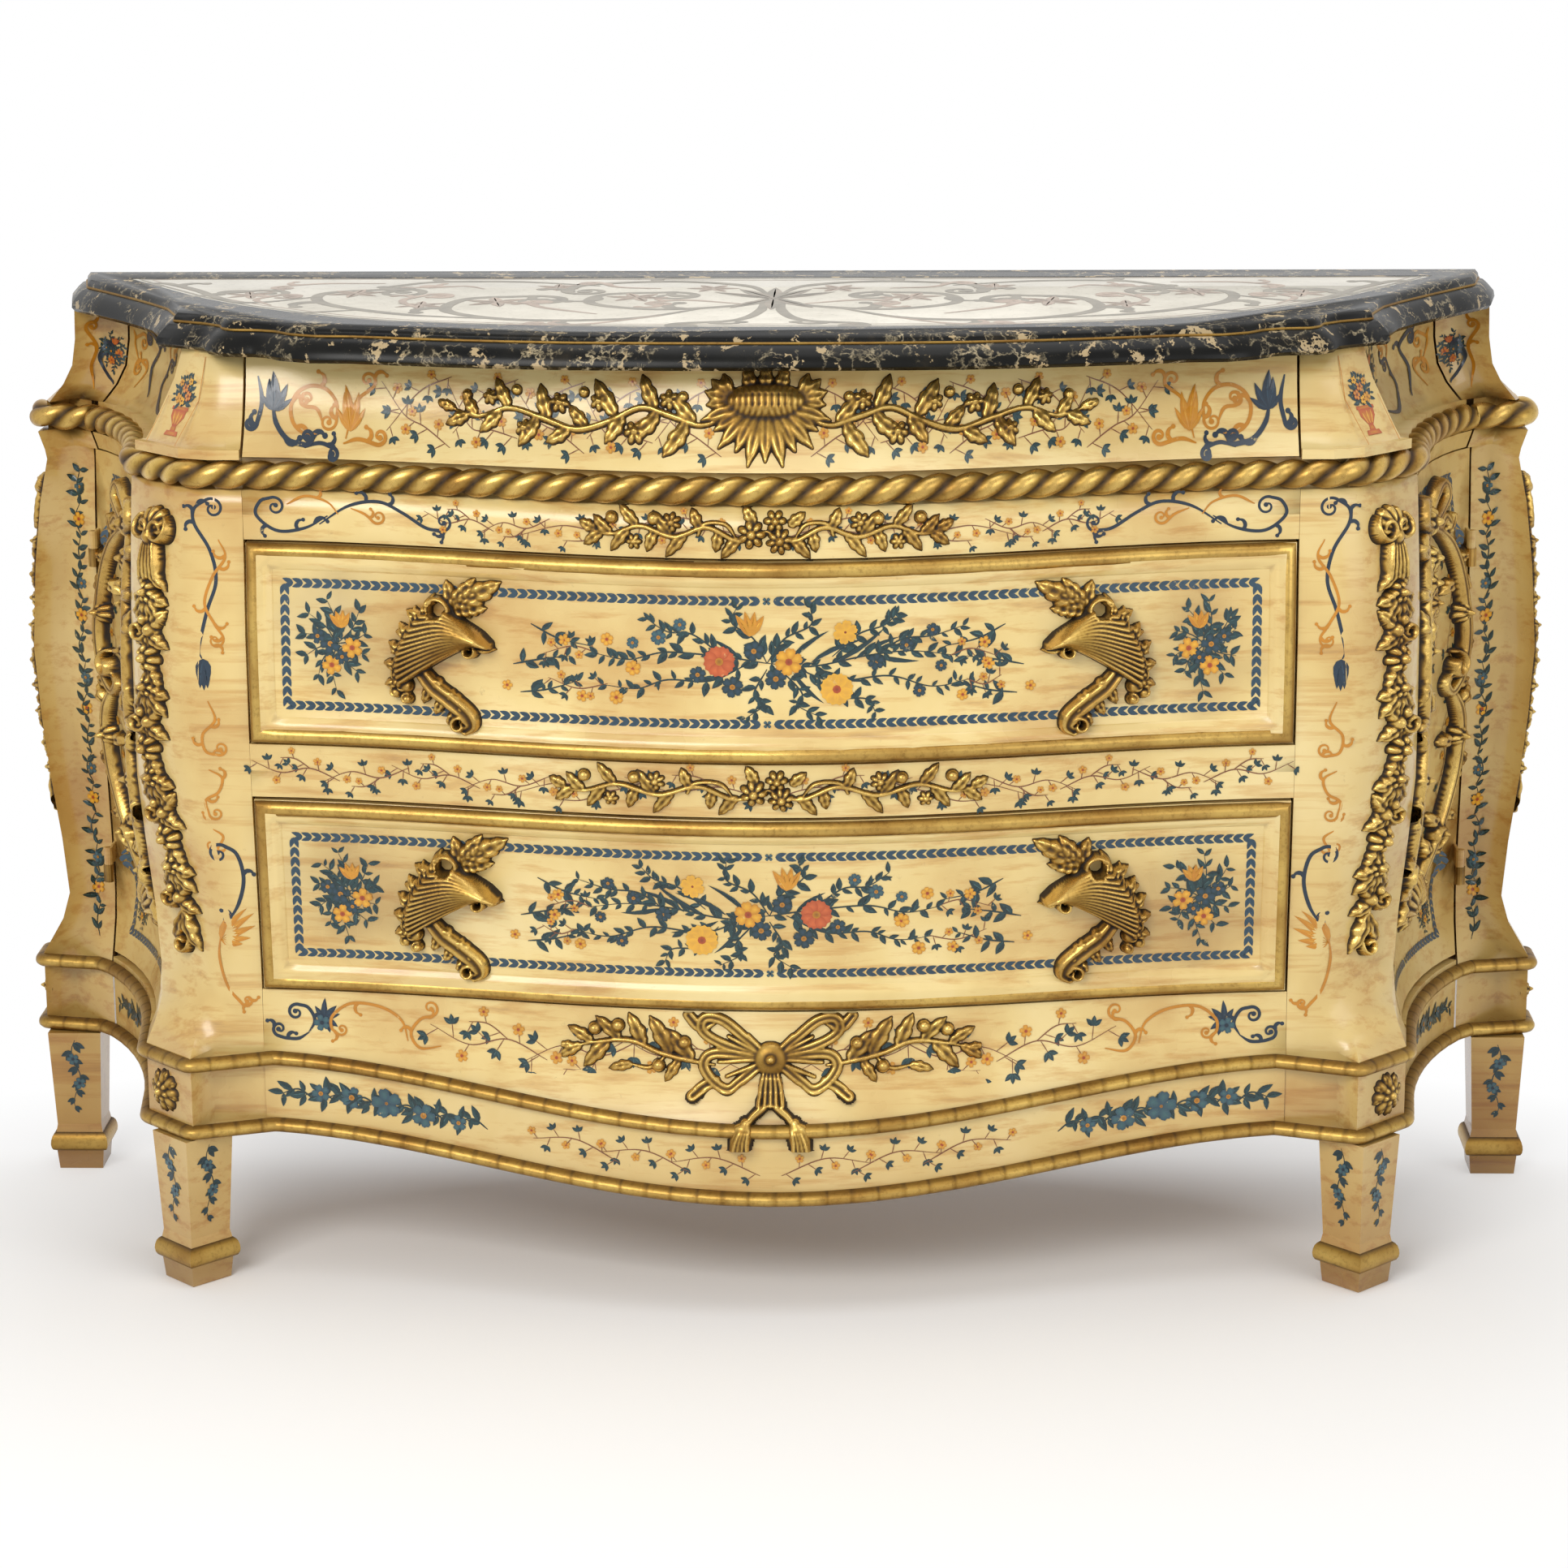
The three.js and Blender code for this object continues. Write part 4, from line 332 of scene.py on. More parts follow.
class Relief:
    """A drawing in heights, with a along it and b up it."""

    def __init__(self, a_range, b_range, step=1.1):
        self.step = step
        self.a, self.b = np.meshgrid(np.arange(a_range[0], a_range[1], step),
                                     np.arange(b_range[0], b_range[1], step))
        self.h = np.full(self.a.shape, DIVE)

    def near(self, x0, x1, y0, y1):
        """The part of the grid round a motif."""
        rows = (self.b[:, 0] > y0 - 4) & (self.b[:, 0] < y1 + 4)
        columns = (self.a[0] > x0 - 4) & (self.a[0] < x1 + 4)
        return np.ix_(rows, columns)

    def raise_to(self, window, h, inside, edge):
        """Adds a motif, which falls away steeply beyond its edge."""
        h = np.where(inside, h, -edge * 1.6)
        self.h[window] = np.maximum(self.h[window], np.maximum(h, DIVE))

    def leaf(self, x, y, turn, length, width, high, bend=0.0, teeth=3, lift=0.0):
        """A toothed leaf with a sunk midrib, from x, y towards turn."""
        window = self.near(x - length, x + length, y - length, y + length)
        c, s = heading(turn)
        dx, dy = self.a[window] - x, self.b[window] - y
        u, v = (dx * c + dy * s) / length, -dx * s + dy * c
        v = v - bend * length * u ** 2
        t = np.clip(u, 0, 1)
        wide = width / 2 * np.sin(math.pi * t ** 0.8) ** 0.75 + 0.3
        wave = np.abs(((t * teeth - 0.4 * np.abs(v) / wide) % 1) - 0.5) * 2
        wide = wide * (0.72 + 0.28 * wave ** 0.5)
        side = np.clip(np.abs(v) / wide, 0, 1)
        rise = high * (0.55 + 0.45 * np.sin(math.pi * np.clip(t * 0.9 + 0.1, 0, 1)))
        h = rise * (1 - side ** 2) ** 0.5 + lift
        h = h - 0.28 * high * np.exp(-((v / (0.16 * width)) ** 2)) + 0.16 * high * (wave - 0.5) * (1 - side)
        out = np.maximum(np.abs(v) - wide, np.maximum(-u, u - 1) * length)
        self.raise_to(window, h, out < 0, out)

    def blossom(self, x, y, radius, petals, high, turn=0.0):
        """A flower of cupped petals round a boss."""
        window = self.near(x - radius, x + radius, y - radius, y + radius)
        dx, dy = self.a[window] - x, self.b[window] - y
        d = np.hypot(dx, dy)
        lobe = np.abs(np.cos(petals / 2 * (np.arctan2(dy, dx) - math.radians(turn))))
        edge = radius * (0.6 + 0.4 * lobe ** 0.6)
        t = np.clip(d / edge, 0, 1)
        h = high * (0.45 + 0.4 * np.sin(math.pi * t ** 1.3)) * (1 - t ** 4) * (0.62 + 0.38 * lobe)
        boss = radius * 0.3
        h = np.maximum(h, np.where(d < boss,
                                   high * (0.55 + 0.6 * np.sqrt(np.clip(1 - (d / boss) ** 2, 0, 1))), 0))
        self.raise_to(window, h, d < edge, d - edge)

    def bead(self, x, y, radius, high, lift=0.0):
        window = self.near(x - radius, x + radius, y - radius, y + radius)
        d = np.hypot(self.a[window] - x, self.b[window] - y)
        h = lift + high * np.sqrt(np.clip(1 - (d / radius) ** 2, 0, 1))
        self.raise_to(window, h, d < radius, d - radius)

    def stroke(self, line, width, high, end=0.4, groove=0.0, start=0.4, lift=0.0):
        """A rounded stem that narrows to its start and end, with a groove where one is asked for."""
        line = np.asarray(line)
        reach = width + 3
        window = self.near(line[:, 0].min() - reach, line[:, 0].max() + reach, line[:, 1].min() - reach,
                           line[:, 1].max() + reach)
        a, b = self.a[window], self.b[window]
        best = np.full(a.shape, 1e9)
        share = np.zeros(a.shape)
        for i, (p, q) in enumerate(zip(line[:-1], line[1:])):
            run = q - p
            t = np.clip(((a - p[0]) * run[0] + (b - p[1]) * run[1]) / max(run @ run, 1e-9), 0, 1)
            d = np.hypot(a - p[0] - t * run[0], b - p[1] - t * run[1])
            closer = d < best
            best = np.where(closer, d, best)
            share = np.where(closer, (i + t) / (len(line) - 1), share)
        wide = width / 2 * (start + (1 - start) * np.clip(share / 0.2, 0,
                                                          1)) * (end
                                                                 + (1 - end) * np.clip((1 - share) / 0.35,
                                                                                       0, 1))
        t = np.clip(best / wide, 0, 1)
        h = lift + high * np.sqrt(1 - t ** 2) * (0.5 + 0.5 * wide / (width / 2))
        if groove:
            h = h - groove * np.exp(-((best / (0.38 * wide)) ** 2))
        self.raise_to(window, h, best < wide, best - wide)

    def shell(self, x, y, turn, radius, sweep, ribs, high):
        """A fan of ribs, as wide as sweep to each side of turn."""
        window = self.near(x - radius, x + radius, y - radius, y + radius)
        dx, dy = self.a[window] - x, self.b[window] - y
        d = np.hypot(dx, dy)
        angle = (np.degrees(np.arctan2(dy, dx)) - turn + 180) % 360 - 180
        lobe = np.abs(np.cos(np.radians(angle) / (2 * math.radians(sweep)) * math.pi * ribs))
        edge = radius * (0.9 + 0.1 * lobe)
        t = np.clip(d / edge, 0, 1)
        dome = 0.25 + 0.75 * np.sin(math.pi * np.clip(0.12 + 0.78 * t, 0, 1))
        h = high * dome * (0.7 + 0.3 * lobe ** 0.7)
        out = np.maximum(d - edge, (np.abs(angle) - sweep) * math.pi / 180 * d)
        self.raise_to(window, h, out < 0, out)

    def barrel(self, x, y, turn, long, wide, high, ribs):
        """A swollen ribbed body, with its ribs across its length."""
        reach = max(long, wide)
        window = self.near(x - reach, x + reach, y - reach, y + reach)
        c, s = heading(turn)
        dx, dy = self.a[window] - x, self.b[window] - y
        u, v = (dx * c + dy * s) / long, (-dx * s + dy * c) / wide
        u = u + 0.18 * v ** 2
        d = np.hypot(u, v)
        lobe = np.abs(np.cos(math.pi * ribs * (u + 1) / 2))
        h = high * np.sqrt(np.clip(1 - d ** 2.4, 0, 1)) * (0.8 + 0.2 * lobe ** 0.5)
        self.raise_to(window, h, d < 1, (d - 1) * min(long, wide))

    def both(self):
        """Lays the mirror image over the drawing, about a = 0."""
        self.h = np.maximum(self.h, self.h[:, ::-1])

    def piece(self, name, skin, shift=(0, 0), scale=(1, 1), lift=0.0):
        """The carved mesh on a skin, toned by how deep each point lies among its neighbours, for painted
        shade in the hollows and painted highlight on the ridges.
        """
        h = self.h.copy()
        h[1:-1, 1:-1] = (h[1:-1, 1:-1] * 4 + h[:-2, 1:-1] + h[2:, 1:-1] + h[1:-1, :-2] + h[1:-1, 2:]) / 8
        around = np.maximum(h, 0)
        for _ in range(6):
            around[1:-1, 1:-1] = (around[:-2, 1:-1] + around[2:, 1:-1] + around[1:-1, :-2] + around[1:-1,
                                                                                                    2:]) / 4
        # Painted shade and highlight: low in hollows, high on raised ridges
        tones = np.clip(0.5 + (h - around) / 2.2, 0, 1) * np.clip(0.25 + np.maximum(h, 0) / 5, 0, 1)
        kept = h > DIVE + 0.8
        cell = kept[:-1, :-1] | kept[1:, :-1] | kept[:-1, 1:] | kept[1:, 1:]
        index = np.arange(h.size).reshape(h.shape)
        faces = np.stack([index[:-1, :-1], index[:-1, 1:], index[1:, 1:], index[1:, :-1]], -1)[cell]
        used, inverse = np.unique(faces, return_inverse=True)
        a = self.a.ravel()[used] * scale[0] + shift[0]
        b = self.b.ravel()[used] * scale[1] + shift[1]
        places = skin.at(a, b, h.ravel()[used] + lift)
        piece = mesh_object(name, places, inverse.reshape(faces.shape))
        carving_shade_tone(piece, tones.ravel()[used])
        piece.data.shade_smooth()
        return piece


# Painting: flat patches of colour laid on the surface, each stroke a little above the last, in millimetres
PAINT_LIFT = 0.25
STROKE_STEP = 0.01


class Paint:
    """A drawing in flat patches, with a along it and b up it. Its over value lifts flowers above leaves."""

    def __init__(self):
        self.points, self.faces, self.colours, self.levels = [], [], [], []
        self.level, self.over = 0, 0

    def patch(self, outline, colour, heart=None):
        """A patch that shades from its edge to its heart."""
        start = len(self.points)
        outline = [tuple(p) for p in outline]
        centre = tuple(np.mean(outline, axis=0))
        self.points += outline + [centre]
        self.colours += [colour] * len(outline) + [heart or colour]
        self.levels += [self.level + self.over] * (len(outline) + 1)
        count = len(outline)
        self.faces += [(start + i, start + (i + 1) % count, start + count) for i in range(count)]
        self.level = (self.level + 1) % 40

    def stroke(self, line, width, colour, end=0.15, start=0.5):
        """A brush stroke that swells from its start and thins to its end."""
        line = np.asarray(line, float)
        run = np.gradient(line, axis=0)
        run /= np.maximum(np.linalg.norm(run, axis=1, keepdims=True), 1e-9)
        side = np.column_stack([-run[:, 1], run[:, 0]])
        share = np.linspace(0, 1, len(line))
        half = width / 2 * np.minimum(start + (1 - start) * share / 0.15,
                                      1) * np.minimum(end + (1 - end) * (1 - share) / 0.5, 1)
        first = len(self.points)
        for p, s, h in zip(line, side, half):
            self.points += [tuple(p - s * h), tuple(p + s * h)]
            self.colours += [colour, colour]
            self.levels += [self.level + self.over] * 2
        self.faces += [(first + 2 * i, first + 2 * i + 2, first + 2 * i + 3, first + 2 * i + 1)
                       for i in range(len(line) - 1)]
        self.level = (self.level + 1) % 40

    def leaf(self, x, y, turn, length, width, colour=LEAF, pale=LEAF_PALE, bend=0.0):
        """A leaf in two tones, with a pale midrib."""
        t = np.array([0, 0.2, 0.45, 0.7, 0.88, 1])
        half = np.array([0.05, 0.75, 1, 0.72, 0.34, 0]) * width / 2
        c, s = heading(turn)

        def place(u, v):
            v = v + bend * length * u ** 2
            return (x + u * length * c - v * s, y + u * length * s + v * c)

        ridge = [place(u, 0) for u in t]
        for sign, tone in ((1, colour), (-1, tuple(0.72 * a + 0.28 * b for a, b in zip(colour, pale)))):
            edge = [place(u, sign * h) for u, h in zip(t, half)]
            outline = ridge + edge[-2:0:-1]
            self.patch(outline if sign < 0 else outline[::-1], tone, tone)
            self.level -= 1
        self.stroke([place(0.1, 0), place(0.5, 0), place(0.85, 0)], width * 0.12, pale, 0.3)

    def flower(self, x, y, radius, petals, colour, pale, heart=TERRACOTTA, turn=0.0):
        """An open flower seen from the front."""
        self.over = 30
        for k in range(petals):
            c, s = heading(turn + 360 * k / petals)
            shape = [(0.1, -0.1), (0.45, -0.34), (0.82, -0.36), (1, -0.16), (0.93, 0), (1, 0.16),
                     (0.82, 0.36), (0.45, 0.34), (0.1, 0.1)]
            outline = [(x + radius * (u * c - v * s), y + radius * (u * s + v * c)) for u, v in shape]
            self.patch(outline, colour if k % 2 else tuple(0.8 * a + 0.2 * b for a,
                                                           b in zip(colour, pale)), pale)
        self.over = 60
        self.patch(ring_of(x, y, radius * 0.26, 5.6, 8), heart, tuple(0.7 * c for c in heart))
        self.over = 0

    def twig(self, line, leaves, size):
        """A thin stalk with small leaves in threes and tiny blossoms."""
        path = curve(line)
        self.stroke(path, 1.1, TWIG, 0.4)
        for k in range(leaves):
            i = int((k + 0.7) / leaves * (len(path) - 1))
            turn = turn_of(path[i] - path[i - 1])
            side = 1 if k % 2 else -1
            tip = path[i] + size * 1.3 * np.array(heading(turn + side * 60))
            self.stroke([path[i], (path[i] + tip) / 2, tip], 0.9, TWIG, 0.6)
            if k % 3 == 1:
                self.flower(*tip, size * 0.6, 5, OCHRE, OCHRE_PALE, TERRACOTTA, turn)
            else:
                for lean in (-48, 0, 48):
                    self.leaf(*tip, turn + side * 60 + lean, size, size * 0.5, LEAF, LEAF_PALE)

    def branch(self, line, leaves, size, width=1.6):
        """A stalk with a leaf to each side at every step, no two alike."""
        path = curve(line)
        self.stroke(path, width, LEAF, 0.3)
        for k in range(leaves):
            i = max(1, int((k + 0.8) / leaves * (len(path) - 1)))
            turn = turn_of(path[i] - path[i - 1])
            for side in (1, -1):
                grow = size * (1.15 - 0.4 * k / leaves) * rng.uniform(0.7, 1.2)
                at = path[max(1, i + int(rng.integers(-1, 2)))] if i + 1 < len(path) else path[i]
                self.leaf(*at, turn + side * rng.uniform(28, 72), grow, grow * rng.uniform(0.4, 0.52),
                          bend=rng.uniform(-0.25, 0.1) * side)

    def both(self):
        """Adds the mirror image about a = 0."""
        start = len(self.points)
        self.points += [(-x, y) for x, y in self.points]
        self.faces += [tuple(start + i for i in reversed(f)) for f in self.faces]
        self.colours += self.colours[:start]
        self.levels += self.levels[:start]

    def tulip(self, x, y, length, width, leans, colour, pale):
        """A flower head of upright petals."""
        self.over = 40
        for lean in leans:
            self.leaf(x, y, 90 + lean, length, width, colour, pale, 0.1)
        self.over = 0

    def add(self, other, rise):
        """Adds another drawing, moved up by rise."""
        start = len(self.points)
        self.points += [(x, y + rise) for x, y in other.points]
        self.faces += [tuple(start + i for i in f) for f in other.faces]
        self.colours += other.colours
        self.levels += other.levels

    def piece(self, name, skin):
        """The painted mesh on a skin, with the colour of each stroke at its points."""
        points = np.asarray(self.points)
        height = PAINT_LIFT + STROKE_STEP * np.asarray(self.levels)
        piece = mesh_object(name, skin.at(points[:, 0], points[:, 1], height), self.faces)
        tones = np.array([linear(c) for c in self.colours])
        colour_points(piece, "paint", np.column_stack([tones, np.ones(len(tones))]))
        return piece


# Materials
def new_group(name, inputs, outputs):
    group = bpy.data.node_groups.new(name, "ShaderNodeTree")
    for label, kind, value in inputs:
        socket = group.interface.new_socket(label, in_out="INPUT", socket_type=kind)
        socket.default_value = value
    for label, kind in outputs:
        group.interface.new_socket(label, in_out="OUTPUT", socket_type=kind)
    return group, group.nodes.new("NodeGroupInput"), group.nodes.new("NodeGroupOutput")


def node(tree, kind, links=None, **values):
    """A node with its links and values; a value for an input has in_ before its name."""
    made = tree.nodes.new(kind)
    for key, value in values.items():
        if key.startswith("in_"):
            made.inputs[key[3:].replace("_", " ")].default_value = value
        else:
            setattr(made, key, value)
    for key, source in (links or {}).items():
        tree.links.new(source, made.inputs[key])
    return made


def ramp(tree, source, stops):
    """A colour or a grey value for each level of a mask, from stops of place and colour."""
    made = tree.nodes.new("ShaderNodeValToRGB")
    elements = made.color_ramp.elements
    while len(elements) < len(stops):
        elements.new(0.5)
    for element, (place, colour) in zip(elements, stops):
        element.position = place
        colour = (colour,) * 3 if isinstance(colour, (int, float)) else linear(colour)
        element.color = (*colour, 1)
    tree.links.new(source, made.inputs["Fac"])
    return made.outputs["Color"]


def blend_colour(tree, share, a, b, kind="MIX"):
    """Colour b laid over colour a."""
    made = tree.nodes.new("ShaderNodeMix")
    made.data_type = "RGBA"
    made.blend_type = kind
    for index, value in ((0, share), (6, a), (7, b)):
        if isinstance(value, bpy.types.NodeSocket):
            tree.links.new(value, made.inputs[index])
        elif index == 0:
            made.inputs[0].default_value = value
        else:
            made.inputs[index].default_value = (*linear(value), 1)
    return made.outputs[2]


def noise(tree, place, scale, detail, roughness=0.5):
    made = node(tree, "ShaderNodeTexNoise", {"Vector": place}, in_Scale=scale, in_Detail=detail,
                in_Roughness=roughness)
    return made.outputs


def object_place(tree):
    """Place on the piece, in metres. Pieces stand at the origin, so patterns run on between them."""
    return node(tree, "ShaderNodeTexCoord").outputs["Object"]


def build_wear_group():
    """Uneven old paint: broad cloud, streaks that run along the boards and fine grime."""
    group, source, result = new_group("old_paint_wear", [("Scale", "NodeSocketFloat", 1.0)],
                                      [("Cloud", "NodeSocketFloat"), ("Streak", "NodeSocketFloat"),
                                       ("Grime", "NodeSocketFloat")])
    place = object_place(group)
    scaled = node(group, "ShaderNodeVectorMath", {0: place}, operation="SCALE")
    group.links.new(source.outputs["Scale"], scaled.inputs["Scale"])
    scaled = scaled.outputs[0]
    cloud = noise(group, scaled, 7.0, 4.0)
    long = node(group, "ShaderNodeMapping", {"Vector": scaled}, in_Scale=(2.5, 30.0, 45.0))
    streak = noise(group, long.outputs[0], 2.0, 5.0, 0.65)
    grime = noise(group, scaled, 90.0, 6.0, 0.75)
    group.links.new(cloud["Fac"], result.inputs["Cloud"])
    group.links.new(streak["Fac"], result.inputs["Streak"])
    group.links.new(grime["Fac"], result.inputs["Grime"])
    return group


wear_group = build_wear_group()


def new_material(name):
    """A material, its tree and its Principled shader."""
    material = bpy.data.materials.new(name)
    material.use_nodes = True
    tree = material.node_tree
    return material, tree, tree.nodes["Principled BSDF"]


def wear(tree, scale=1.0):
    """The masks of old paint, at a scale."""
    made = tree.nodes.new("ShaderNodeGroup")
    made.node_tree = wear_group
    made.inputs["Scale"].default_value = scale
    return made.outputs


def rise(tree, shader, height, strength, distance):
    """Fine relief in the surface's shading."""
    made = node(tree, "ShaderNodeBump", {"Height": height}, in_Strength=strength, in_Distance=distance)
    tree.links.new(made.outputs[0], shader.inputs["Normal"])


def painted_gloss(tree, shader, marks):
    """The uneven shine of old varnished paint."""
    tree.links.new(ramp(tree, marks["Cloud"], [(0.3, 0.24), (0.7, 0.36)]), shader.inputs["Roughness"])
    shader.inputs["Coat Weight"].default_value = 0.35
    shader.inputs["Coat Roughness"].default_value = 0.16


def stone_gloss(shader):
    """Polished stone."""
    shader.inputs["Roughness"].default_value = 0.34
    shader.inputs["Specular IOR Level"].default_value = 0.3


def multiplied(tree, tone, share, by):
    """A tone darkened by a share of another."""
    return blend_colour(tree, share, tone, by, "MULTIPLY")


def ivory_paint():
    """Cream paint with browned streaks, glaze and painted shade in its hollows, and painted shade low down
    and out at the sides.
    """
    material, tree, shader = new_material("ivory_paint")
    marks = wear(tree)
    base = ramp(tree, marks["Cloud"],
                [(0.3, (0.80, 0.66, 0.40)), (0.5, IVORY), (0.7, (0.92, 0.84, 0.61))])
    streaks = ramp(tree, marks["Streak"],
                   [(0.25, (0.66, 0.45, 0.28)), (0.38, (0.88, 0.74, 0.55)), (0.5, (1, 1, 1))])
    tone = multiplied(tree, base, 0.5, streaks)
    spots = ramp(tree, marks["Grime"], [(0.22, (0.5, 0.36, 0.22)), (0.36, (1, 1, 1))])
    tone = multiplied(tree, tone, 0.35, spots)
    # Brown glaze and painted shade in the hollows, from how sharply the surface folds in
    edge = tree.nodes.new("ShaderNodeNewGeometry").outputs["Pointiness"]
    glaze_and_shade = ramp(tree, edge, [(0.44, (0.45, 0.28, 0.14)), (0.49, (1, 1, 1))])
    tone = multiplied(tree, tone, 0.8, glaze_and_shade)
    # Painted shade towards the floor and out at the two sides of the chest
    place = node(tree, "ShaderNodeSeparateXYZ", {0: object_place(tree)})
    low = ramp(tree, place.outputs["Z"], [(0.02, (0.84, 0.76, 0.65)), (0.24, (1, 1, 1))])
    tone = multiplied(tree, tone, 1.0, low)
    out = node(tree, "ShaderNodeMath", {0: place.outputs["X"]}, operation="ABSOLUTE").outputs[0]
    sides = ramp(tree, out, [(0.42, (1, 1, 1)), (0.7, (0.88, 0.83, 0.73))])
    tone = multiplied(tree, tone, 1.0, sides)
    tree.links.new(tone, shader.inputs["Base Color"])
    painted_gloss(tree, shader, marks)
    rise(tree, shader, marks["Streak"], 0.12, 0.002)
    return material


def sprig_paint():
    """Colour of each brush stroke, thinned where the paint has worn."""
    material, tree, shader = new_material("sprig_paint")
    marks = wear(tree)
    colour = node(tree, "ShaderNodeAttribute", attribute_name="paint").outputs["Color"]
    worn = ramp(tree, marks["Grime"], [(0.27, (1, 1, 1)), (0.36, (0, 0, 0))])
    tone = blend_colour(tree, worn, colour, IVORY)
    shade = ramp(tree, marks["Streak"], [(0.3, 0.75), (0.6, 1.0)])
    tone = multiplied(tree, tone, 0.8, shade)
    tree.links.new(tone, shader.inputs["Base Color"])
    painted_gloss(tree, shader, marks)
    return material


def old_gilding(name, carved):
    """Worn gold leaf, with a bright painted highlight on the ridges and brown painted shade in the hollows.
    """
    material, tree, shader = new_material(name)
    marks = wear(tree, 2.2)
    # Painted shade and highlight: carved pieces carry them in their carving attribute, plain ones take them
    # from how sharply the surface folds
    if carved:
        height = node(tree, "ShaderNodeAttribute", attribute_name="carving").outputs["Fac"]
    else:
        height = ramp(tree, tree.nodes.new("ShaderNodeNewGeometry").outputs["Pointiness"],
                      [(0.42, 0.0), (0.56, 1.0)])
    # Colour from hollow to ridge: brown painted shade low, bright painted highlight high
    tone = ramp(tree, height, [(0.12, (0.17, 0.12, 0.05)), (0.36, (0.39, 0.29, 0.11)),
                               (0.55, (0.62, 0.49, 0.22)), (0.8, (0.84, 0.71, 0.40))])
    cloud = ramp(tree, marks["Cloud"], [(0.3, (0.72, 0.62, 0.5)), (0.65, (1, 1, 1))])
    tone = multiplied(tree, tone, 0.8, cloud)
    grime = ramp(tree, marks["Grime"], [(0.3, (0.45, 0.33, 0.2)), (0.5, (1, 1, 1))])
    tone = multiplied(tree, tone, 0.45, grime)
    tree.links.new(tone, shader.inputs["Base Color"])
    tree.links.new(ramp(tree, height, [(0.2, 0.72), (0.8, 0.27)]), shader.inputs["Roughness"])
    tree.links.new(ramp(tree, height, [(0.2, 0.25), (0.6, 0.85)]), shader.inputs["Metallic"])
    rise(tree, shader, marks["Grime"], 0.25, 0.001)
    return material


def dark_marble():
    """Near-black stone with pale veins in places and a scatter of chips."""
    material, tree, shader = new_material("dark_marble")
    place = object_place(tree)
    warp = noise(tree, place, 18.0, 6.0, 0.6)
    mixed = node(tree, "ShaderNodeMix", {4: place, 5: warp["Color"]}, data_type="VECTOR", in_Factor=0.1)
    cracks = node(tree, "ShaderNodeTexVoronoi", {"Vector": mixed.outputs[1]}, feature="DISTANCE_TO_EDGE",
                  in_Scale=46.0)
    veins = ramp(tree, cracks.outputs["Distance"], [(0.0, 1.0), (0.03, 0.35), (0.09, 0.0)])
    patch = noise(tree, place, 22.0, 6.0, 0.7)
    where = ramp(tree, patch["Fac"], [(0.48, 0.0), (0.62, 1.0)])
    ground = ramp(tree, warp["Fac"],
                  [(0.4, (0.02, 0.02, 0.018)), (0.6, (0.06, 0.058, 0.045)), (0.8, (0.2, 0.17, 0.12))])
    share = node(tree, "ShaderNodeMath", {0: veins, 1: where}, operation="MULTIPLY").outputs[0]
    tone = blend_colour(tree, share, ground, (0.72, 0.66, 0.53))
    chips = noise(tree, mixed.outputs[1], 58.0, 2.0)
    tone = blend_colour(tree, ramp(tree, chips["Fac"], [(0.63, 0.0), (0.66, 1.0)]), tone,
                        (0.66, 0.58, 0.44))
    tree.links.new(tone, shader.inputs["Base Color"])
    shader.inputs["Roughness"].default_value = 0.26
    shader.inputs["Specular IOR Level"].default_value = 0.16
    return material


def pale_stone():
    """Ground of the inlaid top: cloudy cream with fine grey specks."""
    material, tree, shader = new_material("pale_stone")
    place = object_place(tree)
    cloud = noise(tree, place, 6.0, 7.0, 0.65)
    tone = ramp(tree, cloud["Fac"], [(0.35, (0.76, 0.74, 0.69)), (0.65, (0.87, 0.85, 0.80))])
    speck = noise(tree, place, 160.0, 3.0)
    dots = ramp(tree, speck["Fac"], [(0.3, 0.72), (0.42, 1.0)])
    tree.links.new(multiplied(tree, tone, 0.5, dots), shader.inputs["Base Color"])
    stone_gloss(shader)
    return material


def stone_scrolls():
    """The drawing's own colours, clouded like stone."""
    material, tree, shader = new_material("stone_scrolls")
    place = object_place(tree)
    colour = node(tree, "ShaderNodeAttribute", attribute_name="paint").outputs["Color"]
    cloud = noise(tree, place, 40.0, 6.0, 0.7)
    shade = ramp(tree, cloud["Fac"], [(0.35, 0.7), (0.6, 1.0)])
    tree.links.new(multiplied(tree, colour, 1.0, shade), shader.inputs["Base Color"])
    stone_gloss(shader)
    return material


def plain_oak():
    """Unpainted wood of the inside, the back and the drawers' boxes."""
    material, tree, shader = new_material("plain_oak")
    place = object_place(tree)
    long = node(tree, "ShaderNodeMapping", {"Vector": place}, in_Scale=(1.5, 14.0, 26.0))
    grain = noise(tree, long.outputs[0], 6.0, 8.0, 0.7)
    tone = ramp(tree, grain["Fac"], [(0.3, (0.42, 0.30, 0.19)), (0.7, (0.70, 0.55, 0.38))])
    tree.links.new(tone, shader.inputs["Base Color"])
    shader.inputs["Roughness"].default_value = 0.65
    rise(tree, shader, grain["Fac"], 0.2, 0.001)
    return material


def hinge_brass():
    material, tree, shader = new_material("hinge_brass")
    marks = wear(tree, 4.0)
    tone = ramp(tree, marks["Cloud"], [(0.3, (0.45, 0.34, 0.18)), (0.7, (0.75, 0.60, 0.33))])
    tree.links.new(tone, shader.inputs["Base Color"])
    shader.inputs["Metallic"].default_value = 1.0
    shader.inputs["Roughness"].default_value = 0.38
    return material


